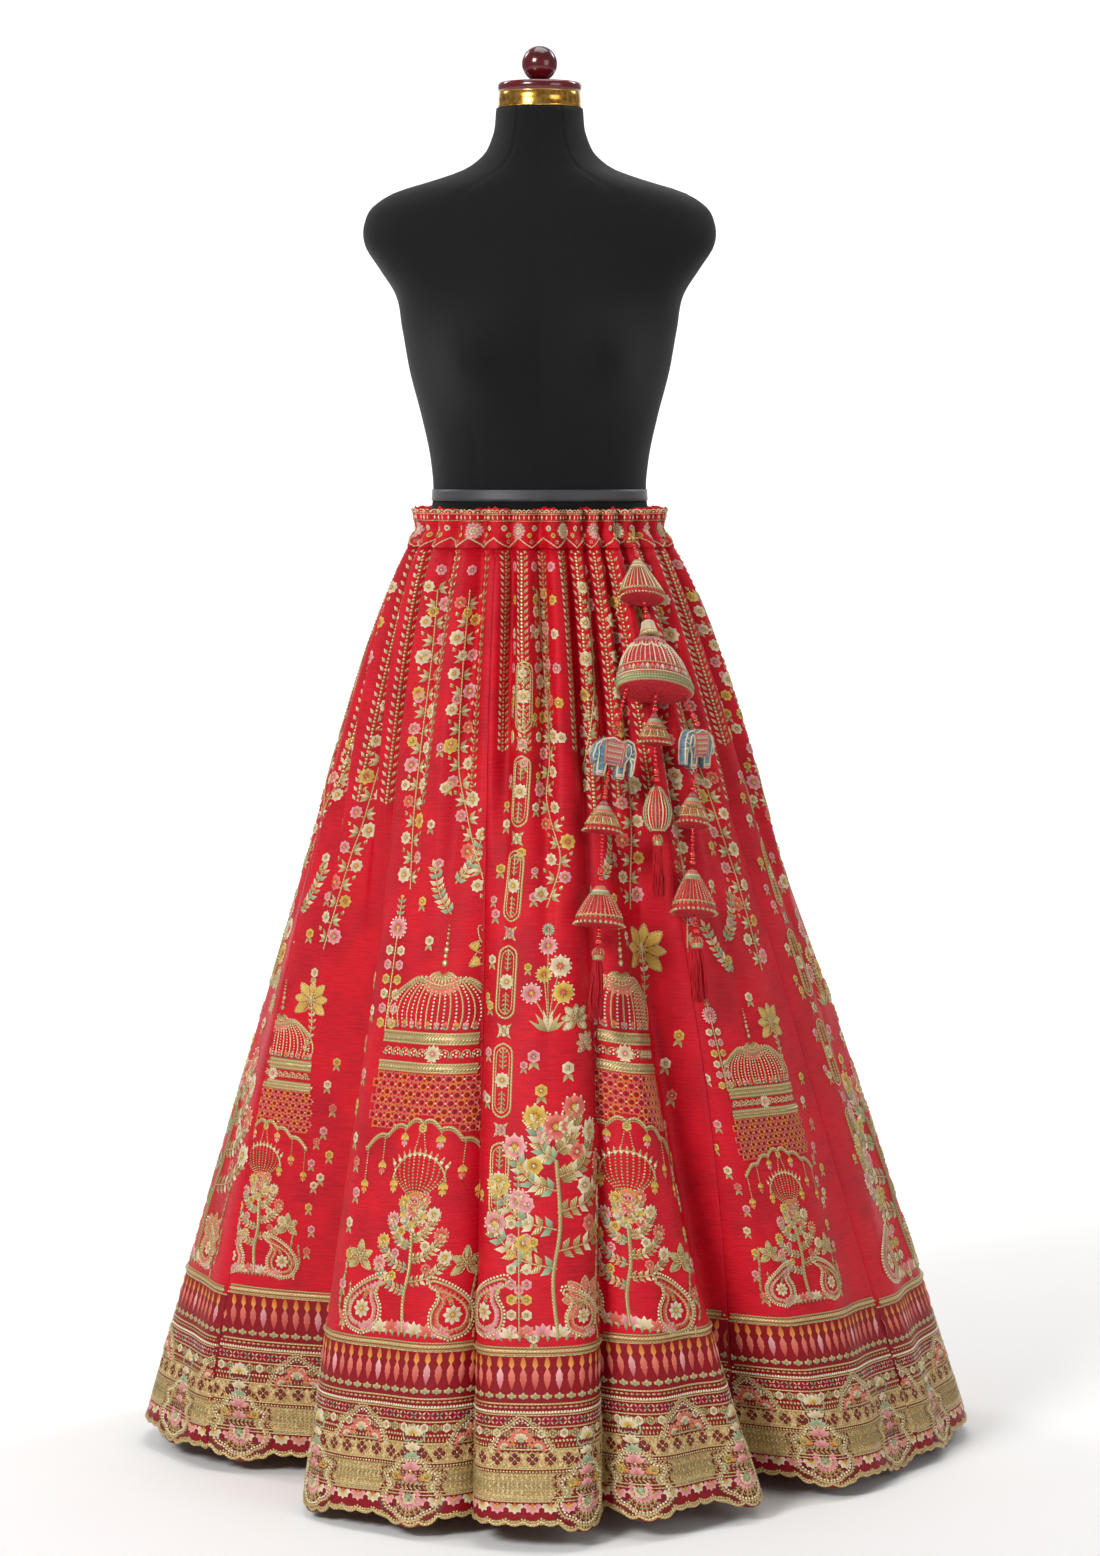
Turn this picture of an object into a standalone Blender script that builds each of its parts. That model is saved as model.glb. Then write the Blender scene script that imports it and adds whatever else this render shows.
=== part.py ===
"""Lehenga skirt on a limbless dress form, in metres, +Z up.

The front faces -Y. The origin is on the floor, under the middle of the stand.
A column is a step round the skirt: each kali (gore) is COLUMNS_PER_KALI columns
wide, and the share down a kali runs from 0 at the waistband to 1 at the hem.
"""
import math
from collections import namedtuple

import bmesh
import bpy
import numpy as np
from mathutils import Matrix, Vector

# Driving sizes of the skirt
KALI_TOP_Z = 1.058
HEM_Z = 0.016
WALL = 0.0020
BORDER_RELIEF = 0.0008
BORDER_SHARE = 0.76
SEAM_GAP = 0.0003
COLUMNS_PER_KALI = 10
COLUMNS_PER_GATHER = 4
KALI_ROWS = (0.0, 0.05, 0.11, 0.19, 0.29, 0.40, 0.51, 0.60, 0.69, 0.78, 0.87, 0.975)
SPREAD_POWER = 0.90
DEEPENING = 1.15
SCALLOPS_PER_COLUMN = 1.5
SCALLOP_DEPTH = 0.0055
GATHER_DEPTH = 0.0075
GATHER_SWELL = 0.0065
GATHER_END = 0.52

# Driving sizes of the waistband
BAND_TOP_Z = 1.104
BAND_TIE_Z = 1.080
FRILL_FLARE = 0.0030
BAND_CLEARANCE = 0.0006

# Driving sizes of the dress form and its stand
FORM_BOTTOM_Z = 0.760
NECK_TOP_Z = 1.562
NECK_CAP_HEIGHT = 0.030
NECK_CAP_RADIUS = 0.0490
BALL_RADIUS = 0.0207
TAPE_Z = (1.112, 1.125)
TAPE_WALL = 0.0012
POLE_RADIUS = 0.016
BASE_RADIUS = 0.175
BASE_HEIGHT = 0.020

# Each kali's left seam, in degrees to the right of the front, at the waist and at the hem,
# and the power by which it turns from one to the other
SEAM_COLUMNS = ("kali", "waist", "hem", "curve")
SEAMS = (
    ("front_centre", -20.0, -11.0, 0.4),
    ("front_right", 13.0, 10.5, 1.0),
    ("right_front", 34.0, 45.0, 1.8),
    ("right_side", 63.0, 75.0, 1.0),
    ("right_back", 92.0, 105.0, 1.0),
    ("back_right", 122.0, 134.0, 1.0),
    ("back_centre", 152.0, 163.0, 1.0),
    ("back_left", 182.0, 193.0, 1.0),
    ("left_back", 213.0, 222.0, 1.0),
    ("left_side", 242.0, 251.0, 1.0),
    ("left_front", 272.0, 284.0, 1.0),
    ("front_left", 302.0, 315.0, 1.0),
)

# The ridge line of the hem seen from above
HEM_COLUMNS = ("angle", "radius")
HEM_OUTLINE = (
    (-90.0, 0.466),
    (-60.0, 0.450),
    (-40.0, 0.418),
    (-28.0, 0.440),
    (-12.0, 0.458),
    (2.0, 0.478),
    (14.0, 0.456),
    (30.0, 0.432),
    (46.0, 0.424),
    (62.0, 0.444),
    (76.0, 0.464),
    (96.0, 0.511),
    (122.0, 0.502),
    (150.0, 0.478),
    (182.0, 0.470),
    (215.0, 0.484),
    (245.0, 0.478),
)

# The folds' valleys: place in degrees, depth, half widths in degrees, the mouth's pinch and the
# lean of the bottom, in degrees too
FOLD_COLUMNS = ("waist", "hem", "curve", "waist_depth", "hem_depth", "left", "right", "pinch", "lean")
FOLDS = (
    (-58.0, -55.0, 1.0, 0.002, 0.170, 35.0, 20.0, 0.10, 0.0),
    (-22.0, -11.0, 0.35, 0.002, 0.042, 8.0, 6.0, 0.30, 1.6),
    (-36.0, -24.0, 1.0, 0.000, 0.008, 9.0, 9.0, 0.00, 0.0),
    (15.0, 10.5, 1.0, 0.002, 0.054, 6.8, 8.0, 0.26, -1.0),
    (18.0, 27.0, 1.0, 0.000, 0.010, 8.0, 8.0, 0.00, 0.0),
    (24.0, 44.5, 1.9, 0.002, 0.104, 11.5, 10.0, 0.06, 0.0),
    (62.0, 69.0, 1.0, 0.000, 0.014, 10.0, 12.0, 0.00, 0.0),
    (88.0, 86.0, 1.0, 0.000, 0.010, 8.0, 8.0, 0.00, 0.0),
    (98.0, 112.0, 1.0, 0.002, 0.085, 13.0, 12.0, 0.24, 0.0),
    (128.0, 141.0, 1.0, 0.002, 0.060, 11.0, 12.0, 0.26, 1.0),
    (158.0, 168.0, 1.0, 0.002, 0.098, 13.0, 12.0, 0.20, 0.0),
    (188.0, 198.0, 1.0, 0.002, 0.055, 10.0, 12.0, 0.26, -1.0),
    (217.0, 227.0, 1.0, 0.002, 0.105, 14.0, 12.0, 0.26, 0.0),
    (248.0, 254.0, 1.0, 0.002, 0.040, 9.0, 10.0, 0.20, 0.0),
    (266.0, 276.0, 1.0, 0.000, 0.018, 8.0, 8.0, 0.00, 0.0),
)

# The dress form's level sections
FORM_COLUMNS = ("z", "half_width", "front", "back")
FORM_SECTIONS = (
    (0.760, 0.140, 0.086, 0.098),
    (0.775, 0.153, 0.095, 0.108),
    (0.830, 0.162, 0.103, 0.115),
    (0.900, 0.162, 0.105, 0.115),
    (0.980, 0.152, 0.101, 0.107),
    (1.040, 0.138, 0.095, 0.095),
    (1.080, 0.130, 0.092, 0.090),
    (1.120, 0.1235, 0.089, 0.087),
    (1.160, 0.1265, 0.092, 0.090),
    (1.210, 0.137, 0.099, 0.097),
    (1.260, 0.150, 0.104, 0.104),
    (1.310, 0.159, 0.104, 0.108),
    (1.350, 0.167, 0.098, 0.108),
    (1.380, 0.186, 0.091, 0.106),
    (1.405, 0.2015, 0.084, 0.102),
    (1.430, 0.2025, 0.078, 0.096),
    (1.452, 0.190, 0.072, 0.088),
    (1.468, 0.162, 0.067, 0.080),
    (1.480, 0.122, 0.063, 0.072),
    (1.492, 0.088, 0.059, 0.064),
    (1.505, 0.069, 0.056, 0.058),
    (1.530, 0.0545, 0.052, 0.052),
    (NECK_TOP_Z, 0.0500, 0.0490, 0.0490),
)
FORM_SIDES = 28
BUST_Z = 1.272
BUST_HEIGHT = 0.060
BUST_SPREAD = 0.37
BUST_ANGLE = 0.56
BUST_DEPTH = 0.042

# The hanging ornaments, top to bottom, in centimetres
Ornament = namedtuple("Ornament", ("name", "kind", "x_top", "x_bottom", "z_top", "z_bottom", "radius"))
MAIN_STRAND = (
    Ornament("latkan_beads_neck", "beads", 10.7, 11.1, 106.5, 104.7, 0.36),
    Ornament("latkan_cap_upper", "cap", 11.1, 11.7, 104.7, 100.2, 3.10),
    Ornament("latkan_beads_upper", "beads", 11.7, 12.2, 100.2, 97.8, 0.46),
    Ornament("latkan_ivory_bell", "bell", 12.2, 12.4, 97.8, 96.0, 1.10),
    Ornament("latkan_cap_main", "dome", 12.4, 13.0, 96.0, 90.0, 4.90),
)
LEFT_STRAND = (
    Ornament("latkan_left_beads_1", "beads", 8.9, 8.3, 89.8, 85.2, 0.40),
    Ornament("latkan_left_elephant", "elephant", 8.3, 7.6, 85.2, 80.6, 2.75),
    Ornament("latkan_left_beads_2", "beads", 7.6, 7.2, 80.6, 78.2, 0.34),
    Ornament("latkan_left_cap_small", "cap", 7.2, 7.0, 78.2, 74.8, 2.15),
    Ornament("latkan_left_beads_3", "beads", 7.0, 6.8, 74.8, 69.4, 0.38),
    Ornament("latkan_left_cap_ribbed", "cap", 6.8, 6.6, 69.4, 64.8, 2.75),
    Ornament("latkan_left_beads_4", "beads", 6.6, 6.5, 64.8, 62.6, 0.46),
    Ornament("latkan_left_tassel", "tassel", 6.5, 6.2, 62.6, 54.6, 1.00),
)
MIDDLE_STRAND = (
    Ornament("latkan_middle_beads_1", "beads", 13.0, 12.9, 89.8, 87.6, 0.40),
    Ornament("latkan_middle_cap_small", "cap", 12.9, 12.9, 87.6, 84.2, 2.00),
    Ornament("latkan_middle_beads_2", "beads", 12.9, 13.1, 84.2, 79.8, 0.42),
    Ornament("latkan_middle_bud", "bud", 13.1, 13.2, 79.8, 74.4, 1.55),
    Ornament("latkan_middle_tassel", "tassel", 13.2, 13.4, 74.4, 67.2, 0.85),
)
RIGHT_STRAND = (
    Ornament("latkan_right_beads_1", "beads", 17.2, 17.9, 89.8, 85.8, 0.40),
    Ornament("latkan_right_elephant", "elephant_mirrored", 17.9, 17.8, 85.8, 81.2, 2.75),
    Ornament("latkan_right_beads_2", "beads", 17.8, 17.2, 81.2, 78.6, 0.34),
    Ornament("latkan_right_cap_small", "cap", 17.2, 17.2, 78.6, 75.0, 2.35),
    Ornament("latkan_right_beads_3", "beads", 17.2, 17.1, 75.0, 70.5, 0.38),
    Ornament("latkan_right_cap_ribbed", "cap", 17.1, 17.3, 70.5, 65.4, 2.90),
    Ornament("latkan_right_beads_4", "beads", 17.3, 17.5, 65.4, 63.0, 0.46),
    Ornament("latkan_right_tassel", "tassel", 17.5, 17.9, 63.0, 55.6, 1.15),
)
CENTIMETRE = 0.01
FLATNESS = 0.62
STRAND_OFFSET = 0.021
DOME_OFFSET = 0.0325
NECK_OFFSET = 0.010
DRAWSTRING_COLUMN = 24
RIM_PLACES = (-0.040, 0.0, 0.042)
JOINT_GAP = 0.0008
THREAD_RADIUS = 0.0006
THREAD_LEAD = 0.0025
ELEPHANT_THICKNESS = 0.013
ELEPHANT_BELLY = 0.30
ELEPHANT_FACING = {"elephant": 1.0, "elephant_mirrored": -1.0}
BEAD_SIDES = 6
CAP_SIDES = {"dome": 20, "cap": 14, "bell": 12, "bud": 12}
CORD_RADIUS = 0.0018
RING_RADIUS = 0.0070
RING_WIRE = 0.0011
RING_PLAY = 0.0008
TASSEL_SECTORS = 8
TASSEL_SPREAD = 0.82

# Outline of a padded elephant with its head at -1 times its facing, in shares of its height
ELEPHANT_OUTLINE = (
    (-0.62, 0.28), (-0.60, 0.10), (-0.50, 0.10), (-0.50, 0.40), (-0.44, 0.52), (-0.38, 0.40),
    (-0.38, 0.00), (-0.16, 0.00), (-0.14, ELEPHANT_BELLY), (0.10, ELEPHANT_BELLY), (0.12, 0.00),
    (0.36, 0.00), (0.38, 0.36), (0.46, 0.30), (0.52, 0.44), (0.46, 0.76), (0.28, 0.92), (0.02, 1.00),
    (-0.20, 0.92), (-0.34, 1.00), (-0.52, 0.94), (-0.62, 0.70),
)

# Colours are linear red, green and blue
FINISHES = {
    "silk": ((0.58, 0.008, 0.022), 0.45, 0.0),
    "band": ((0.55, 0.20, 0.09), 0.55, 0.0),
    "form": ((0.012, 0.012, 0.015), 0.85, 0.0),
    "tape": ((0.05, 0.05, 0.06), 0.50, 0.0),
    "gold": ((0.85, 0.56, 0.20), 0.30, 1.0),
    "lacquer": ((0.16, 0.004, 0.010), 0.15, 0.0),
    "steel": ((0.35, 0.35, 0.36), 0.40, 1.0),
    "bead": ((0.62, 0.010, 0.014), 0.25, 0.0),
    "ivory": ((0.85, 0.78, 0.62), 0.40, 0.0),
    "cap": ((0.50, 0.03, 0.03), 0.50, 0.0),
    "padding": ((0.20, 0.28, 0.32), 0.70, 0.0),
    "thread": ((0.60, 0.006, 0.016), 0.60, 0.0),
}


# Scene and materials
def cleared_collection(name):
    """An empty collection for the object, in a scene with nothing else."""
    for old in list(bpy.data.objects):
        bpy.data.objects.remove(old)
    made = bpy.data.collections.new(name)
    bpy.context.scene.collection.children.link(made)
    return made


def finish_of(name):
    colour, roughness, metallic = FINISHES[name]
    made = bpy.data.materials.new(name)
    made.use_nodes = True
    shader = made.node_tree.nodes["Principled BSDF"]
    shader.inputs["Base Color"].default_value = (*colour, 1.0)
    shader.inputs["Roughness"].default_value = roughness
    shader.inputs["Metallic"].default_value = metallic
    return made


def add_object(name, data, finish):
    made = bpy.data.objects.new(name, data)
    data.materials.append(MATERIALS[finish])
    COLLECTION.objects.link(made)
    return made


def add_mesh(name, shape, finish, smooth_angle=math.radians(50)):
    """A named object from a bmesh, shaded smooth but for its sharp edges."""
    mesh = bpy.data.meshes.new(name)
    shape.to_mesh(mesh)
    shape.free()
    mesh.shade_smooth()
    mesh.set_sharp_from_angle(angle=smooth_angle)
    return add_object(name, mesh, finish)


# Tables
def column(rows, names, name):
    place = names.index(name)
    return np.array([row[place] for row in rows], float)


def smooth_curve(places, knots, values):
    """A smooth curve through the values at the knots."""
    slopes = np.gradient(values, knots)
    span = np.clip(np.searchsorted(knots, places) - 1, 0, len(knots) - 2)
    step = knots[span + 1] - knots[span]
    share = (places - knots[span]) / step
    rise = 3 * share**2 - 2 * share**3
    bend = share * (1 - share) * step
    between = values[span] * (1 - rise) + values[span + 1] * rise
    return between + bend * (slopes[span] * (1 - share) - slopes[span + 1] * share)


def hem_radius(angle):
    """The hem's reach from the axis, smooth all round, at an angle in degrees."""
    knots = column(HEM_OUTLINE, HEM_COLUMNS, "angle")
    radii = column(HEM_OUTLINE, HEM_COLUMNS, "radius")
    angle = (angle - knots[0]) % 360.0 + knots[0]
    return smooth_curve(
        angle, np.concatenate([knots - 360.0, knots, knots + 360.0]), np.tile(radii, 3)
    )


# Dress form sections
def form_half(height, name):
    knots = column(FORM_SECTIONS, FORM_COLUMNS, "z")
    return smooth_curve(np.asarray(height, float), knots, column(FORM_SECTIONS, FORM_COLUMNS, name))


def form_point(turn, height):
    """A point of the form's surface, turn radians to the right of the front."""
    half_width = form_half(height, "half_width")
    facing = np.cos(turn)
    depth = np.where(facing > 0, form_half(height, "front"), form_half(height, "back"))
    rise = np.exp(-(((height - BUST_Z) / BUST_HEIGHT) ** 2))
    lobes = np.exp(-(((np.abs(turn) - BUST_ANGLE) / BUST_SPREAD) ** 2))
    depth = depth + BUST_DEPTH * rise * lobes * (facing > 0)
    return half_width * np.sin(turn), -depth * facing, height


# Skirt surface
def seam_angle(columns, share):
    """Degrees to the right of the front at a column and a share down the kali."""
    kalis = np.asarray(columns) / COLUMNS_PER_KALI
    number = np.floor(kalis).astype(int)
    left, right = seam_line(number, share), seam_line(number + 1, share)
    return left + (right - left) * (kalis - number)


def seam_line(number, share):
    """Degrees to the right of the front of one seam, numbered on and on round the skirt."""
    seam = number % len(SEAMS)
    waist = column(SEAMS, SEAM_COLUMNS, "waist")[seam]
    hem = column(SEAMS, SEAM_COLUMNS, "hem")[seam]
    curve = column(SEAMS, SEAM_COLUMNS, "curve")[seam]
    return waist + (hem - waist) * share**curve + 360.0 * (number // len(SEAMS))


def gather_depth(share):
    """How far the gathers stand out: tight at the band, fullest under it, gone lower down."""
    swell = 4 * np.clip(share / 0.24, 0, 1) * (1 - np.clip(share / 0.48, 0, 1)) * GATHER_SWELL
    fade = np.clip(1 - share / GATHER_END, 0, 1) ** 1.3
    return GATHER_DEPTH * fade + swell * fade


def fold_shift(angle, share):
    """Inward depth in metres and turn in degrees that the folds give a point."""
    depth = np.zeros_like(angle)
    turn = np.zeros_like(angle)
    for waist, hem, curve, waist_depth, hem_depth, left, right, pinch, lean in FOLDS:
        centre = waist + (hem - waist) * share**curve
        off = (angle - centre + 180.0) % 360.0 - 180.0
        side = np.where(off < 0, left, right)
        reach = np.clip(off / side, -1, 1)
        drop = np.cos(reach * math.pi / 2) ** 2
        depth += (waist_depth + (hem_depth - waist_depth) * share**DEEPENING) * drop
        grown = np.clip(share * 1.4, 0, 1)
        turn += grown * (lean * drop - pinch * side * np.sin(math.pi * reach))
    return depth, turn


def skirt_point(columns, share):
    """The skirt's outer surface as x, y and z."""
    columns, share = np.broadcast_arrays(np.asarray(columns, float), np.asarray(share, float))
    angle = seam_angle(columns, share)
    hem = hem_radius(angle)
    spread = share**SPREAD_POWER
    gather = gather_depth(share)
    top = BAND_CLEARANCE + WALL + GATHER_DEPTH + 0.004
    wide = form_half(KALI_TOP_Z, "half_width") + top
    deep = form_half(KALI_TOP_Z, "front") + top
    depth, turn = fold_shift(angle, share)
    uneven = 1 + 0.25 * np.sin(columns * 0.37) + 0.15 * np.sin(columns * 0.91 + 1.0)
    wave = gather * uneven * np.cos(2 * math.pi * columns / COLUMNS_PER_GATHER) - depth
    bearing = np.radians(angle + turn)
    x = (wide + (hem - wide) * spread + wave) * np.sin(bearing)
    y = -(deep + (hem - deep) * spread + wave) * np.cos(bearing)
    lift = 0.006 * (1 + np.sin(np.radians(3 * angle + 40.0)))
    z = KALI_TOP_Z - (KALI_TOP_Z - HEM_Z - lift) * share
    return np.stack([x, y, z], axis=-1)


def outward(columns, share):
    """Unit normals of the skirt's surface, pointing out, and level at the top seam."""
    across = skirt_point(columns + 1.0, share) - skirt_point(columns - 1.0, share)
    low, high = np.clip(share - 0.01, 0, 1), np.clip(share + 0.01, 0, 1)
    down = skirt_point(columns, high) - skirt_point(columns, low)
    normal = np.cross(across, -down)
    normal[..., 2] *= np.asarray(share) > 0
    return normal / np.linalg.norm(normal, axis=-1, keepdims=True)


# Solids built from rows of points
def wall_from_rows(name, outer, inner, finish, closed_round=False):
    """A closed wall between two sets of rows, which may be longer at the last row."""
    shape = bmesh.new()
    skins = [[[shape.verts.new(p) for p in row] for row in rows] for rows in (outer, inner)]
    for level in range(len(outer) - 1):
        falling = falling_diagonals(outer[level], outer[level + 1], closed_round)
        for skin, flip in zip(skins, (False, True)):
            bridge_rows(shape, skin[level], skin[level + 1], falling, flip, closed_round)
    edge_faces(shape, skins[0][0], skins[1][0], True, closed_round)
    edge_faces(shape, skins[0][-1], skins[1][-1], False, closed_round)
    if not closed_round:
        for place, flip in ((0, False), (-1, True)):
            outer_edge = [row[place] for row in skins[0]]
            inner_edge = [row[place] for row in skins[1]]
            edge_faces(shape, outer_edge, inner_edge, flip, False)
    return add_mesh(name, shape, finish)


def pairs_along(row, closed_round):
    row = list(row)
    following = row[1:] + (row[:1] if closed_round else [])
    return list(zip(row, following))


def falling_diagonals(upper, lower, closed_round):
    """For each cell between two rows, whether its shorter diagonal falls to the right."""
    cells = zip(pairs_along(upper, closed_round), pairs_along(lower, closed_round))
    return [math.dist(left, low_right) < math.dist(right, low_left)
            for (left, right), (low_left, low_right) in cells]


def bridge_rows(shape, upper, lower, falling, flip, closed_round):
    """Triangles between two rows, split alike on both skins, with more points below if it's so."""
    ratio = (len(lower) - (not closed_round)) // (len(upper) - (not closed_round))
    for place, (left, right) in enumerate(pairs_along(upper, closed_round)):
        start = place * ratio
        below = [lower[(start + step) % len(lower)] for step in range(ratio + 1)]
        if ratio == 1 and falling[place]:
            corners = [[left, below[0], below[1]], [left, below[1], right]]
        elif ratio == 1:
            corners = [[left, below[0], right], [right, below[0], below[1]]]
        else:
            middle = ratio // 2
            corners = [[left, a, b] for a, b in zip(below[:middle], below[1:])]
            corners.append([left, below[middle], right])
            corners += [[right, a, b] for a, b in zip(below[middle:], below[middle + 1:])]
        for face in corners:
            shape.faces.new(face[::-1] if flip else face)


def edge_faces(shape, outer, inner, flip, closed_round):
    """The wall's edge, split the same way on both sides of a seam so the two match."""
    for (a, b), (c, d) in zip(pairs_along(outer, closed_round), pairs_along(inner, closed_round)):
        for face in ([a, c, d], [a, d, b]):
            shape.faces.new(face[::-1] if flip else face)


def loft_rings(name, rings, finish):
    """A closed solid through rings of points, with flat ends."""
    shape = bmesh.new()
    loops = [[shape.verts.new(p) for p in ring] for ring in rings]
    for low, high in zip(loops, loops[1:]):
        for (a, b), (c, d) in zip(pairs_along(low, True), pairs_along(high, True)):
            shape.faces.new([a, b, d, c])
    shape.faces.new(loops[0][::-1])
    shape.faces.new(loops[-1])
    return add_mesh(name, shape, finish)


def parted(points, gap):
    """Rows of points whose two ends are drawn in by half the gap."""
    points = np.array(points)
    for end, beside in ((0, 1), (-1, -2)):
        toward = points[beside] - points[end]
        points[end] += toward / np.linalg.norm(toward) * gap / 2
    return points


# Kalis and waistband
def kali_rows(first_column):
    """Outer and inner rows of one kali, the last row with the hem's scallops."""
    outer, inner = [], []
    columns = first_column + np.arange(COLUMNS_PER_KALI + 1)
    for share in KALI_ROWS:
        normal = outward(columns, share)
        relief = BORDER_RELIEF if share > BORDER_SHARE else 0.0
        face = skirt_point(columns, share)
        outer.append(parted(face + normal * relief, SEAM_GAP))
        inner.append(parted(face - normal * WALL, SEAM_GAP))
    steps = int(COLUMNS_PER_KALI * SCALLOPS_PER_COLUMN * 2)
    columns = first_column + np.arange(steps + 1) * COLUMNS_PER_KALI / steps
    face = skirt_point(columns, 1.0)
    normal = outward(columns, 1.0)
    face[:, 2] += SCALLOP_DEPTH * (np.arange(steps + 1) % 2 == 0)
    outer.append(parted(face + normal * BORDER_RELIEF, SEAM_GAP))
    inner.append(parted(face - normal * WALL, SEAM_GAP))
    return outer, inner


def build_kalis():
    for number, seam in enumerate(SEAMS):
        outer, inner = kali_rows(number * COLUMNS_PER_KALI)
        wall_from_rows(f"kali_{seam[0]}", outer, inner, "silk")


def band_point(columns, height, depth, flare):
    """Outer surface of the waistband, drawn against the form by its drawstring."""
    bearing = np.radians(seam_angle(columns, 0.0))
    wave = depth * np.cos(2 * math.pi * columns / COLUMNS_PER_GATHER)
    out = BAND_CLEARANCE + WALL + depth + flare
    wide = form_half(height, "half_width") + out + wave
    deep = form_half(height, "front") + out + wave
    return np.stack([wide * np.sin(bearing), -deep * np.cos(bearing), height + 0 * wave], axis=-1)


def build_waistband():
    """The gathered band: a tight line at the drawstring, and a frill that flares above it."""
    columns = np.arange(len(SEAMS) * COLUMNS_PER_KALI, dtype=float)
    top_face = skirt_point(columns, 0.0)
    top_normal = outward(columns, np.zeros_like(columns))
    low = top_face + [0, 0, SEAM_GAP]
    outer = [low]
    inner = [low - top_normal * WALL]
    levels = (
        (BAND_TIE_Z, GATHER_DEPTH * 0.75, 0.0),
        ((BAND_TIE_Z + BAND_TOP_Z) / 2, GATHER_DEPTH, FRILL_FLARE / 2),
        (BAND_TOP_Z, GATHER_DEPTH * 1.15, FRILL_FLARE),
    )
    for height, depth, flare in levels:
        crest = np.where(height == BAND_TOP_Z, 0.0035, 0.0) * np.cos(columns * 0.9)
        face = band_point(columns, height, depth, flare)
        across = np.roll(face, -1, axis=0) - np.roll(face, 1, axis=0)
        normal = np.stack([across[:, 1], -across[:, 0], 0 * height + 0 * columns], axis=-1)
        normal /= np.linalg.norm(normal, axis=-1, keepdims=True)
        face[:, 2] += crest
        outer.append(face)
        inner.append(face - normal * WALL)
    outer, inner = outer[::-1], inner[::-1]
    wall_from_rows("waistband", outer, inner, "band", closed_round=True)


# Dress form and stand
def build_form():
    turns = np.arange(FORM_SIDES) * 2 * math.pi / FORM_SIDES
    turns = (turns + math.pi) % (2 * math.pi) - math.pi
    heights = list(column(FORM_SECTIONS, FORM_COLUMNS, "z"))
    heights += [*TAPE_Z, BUST_Z - BUST_HEIGHT / 2, BUST_Z + BUST_HEIGHT / 2]
    rings = []
    for height in sorted(heights):
        x, y, z = form_point(turns, np.full_like(turns, height))
        rings.append(np.stack([x, y, z], axis=-1))
    loft_rings("form_torso", rings, "form")


def build_waist_tape():
    """The tape that marks the form's waist, just above the frill."""
    turns = np.arange(FORM_SIDES) * 2 * math.pi / FORM_SIDES
    turns = (turns + math.pi) % (2 * math.pi) - math.pi
    outer, inner = [], []
    for height in TAPE_Z[::-1]:
        ring = np.stack(form_point(turns, np.full_like(turns, height)), axis=-1)
        out = ring * [1, 1, 0]
        out /= np.linalg.norm(out, axis=-1, keepdims=True)
        inner.append(ring + out * SEAM_GAP * 2)
        outer.append(ring + out * (SEAM_GAP * 2 + TAPE_WALL))
    wall_from_rows("form_waist_tape", outer, inner, "tape", closed_round=True)


def add_cylinder(name, radius, low, high, finish, sides, bevel=0.0):
    shape = bmesh.new()
    bmesh.ops.create_cone(
        shape, cap_ends=True, segments=sides, radius1=radius, radius2=radius, depth=high - low
    )
    made = add_mesh(name, shape, finish)
    made.location.z = (low + high) / 2
    if bevel:
        rounded = made.modifiers.new("rounded", "BEVEL")
        rounded.width = bevel
        rounded.segments = 2
    return made


def build_stand():
    add_cylinder("stand_base", BASE_RADIUS, 0.0, BASE_HEIGHT, "steel", 32, bevel=0.004)
    add_cylinder(
        "stand_pole", POLE_RADIUS, BASE_HEIGHT + SEAM_GAP, FORM_BOTTOM_Z - SEAM_GAP, "steel", 16
    )
    low = NECK_TOP_Z + SEAM_GAP
    add_cylinder("neck_cap", NECK_CAP_RADIUS, low, low + NECK_CAP_HEIGHT, "gold", 28, bevel=0.003)
    ball = bmesh.new()
    bmesh.ops.create_uvsphere(ball, u_segments=16, v_segments=10, radius=BALL_RADIUS)
    made = add_mesh("finial_ball", ball, "lacquer")
    made.location.z = low + NECK_CAP_HEIGHT + SEAM_GAP + BALL_RADIUS


# Ornaments
def turned(name, profile, sides, finish):
    """A turned solid: profile runs from the top of the axis, down the outer side, to its foot."""
    mesh = bpy.data.meshes.new(name)
    points = [(radius, 0.0, height) for radius, height in profile]
    mesh.from_pydata(points, [(n, n + 1) for n in range(len(points) - 1)], [])
    made = add_object(name, mesh, finish)
    screw = made.modifiers.new("turned", "SCREW")
    screw.steps = screw.render_steps = sides
    screw.use_merge_vertices = True
    screw.merge_threshold = 1e-5
    screw.use_smooth_shade = True
    return made


def bead_profile(length, radius):
    """A run of beads on a thread that shows at both ends, as one turned outline."""
    run = length - 2 * THREAD_LEAD
    count = max(2, round(run / (radius * 1.9)))
    pitch = run / count
    profile = [(0.0, 0.0), (THREAD_RADIUS, 0.0), (THREAD_RADIUS, -THREAD_LEAD)]
    for bead in range(count):
        size = radius * (1.0 if bead % 3 == 1 else 0.78)
        start = THREAD_LEAD + bead * pitch
        profile.append((size, -start - pitch / 2))
        if bead < count - 1:
            profile.append((radius * 0.42, -start - pitch))
    foot = [(THREAD_RADIUS, THREAD_LEAD - length), (THREAD_RADIUS, -length), (0.0, -length)]
    return profile + foot


CAP_SHAPES = {
    "cap": ((0.10, 0.05), (0.30, 0.20), (0.62, 0.48), (0.90, 0.78), (1.00, 0.92), (0.94, 1.00)),
    "dome": ((0.24, 0.04), (0.50, 0.16), (0.78, 0.42), (0.94, 0.72), (1.00, 0.90), (0.96, 1.00)),
    "bell": ((0.52, 0.03), (0.62, 0.40), (0.80, 0.72), (1.00, 0.80), (1.00, 0.94), (0.70, 1.00)),
    "bud": ((0.20, 0.04), (0.62, 0.22), (1.00, 0.55), (0.86, 0.80), (0.42, 0.97), (0.14, 1.00)),
}


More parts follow.
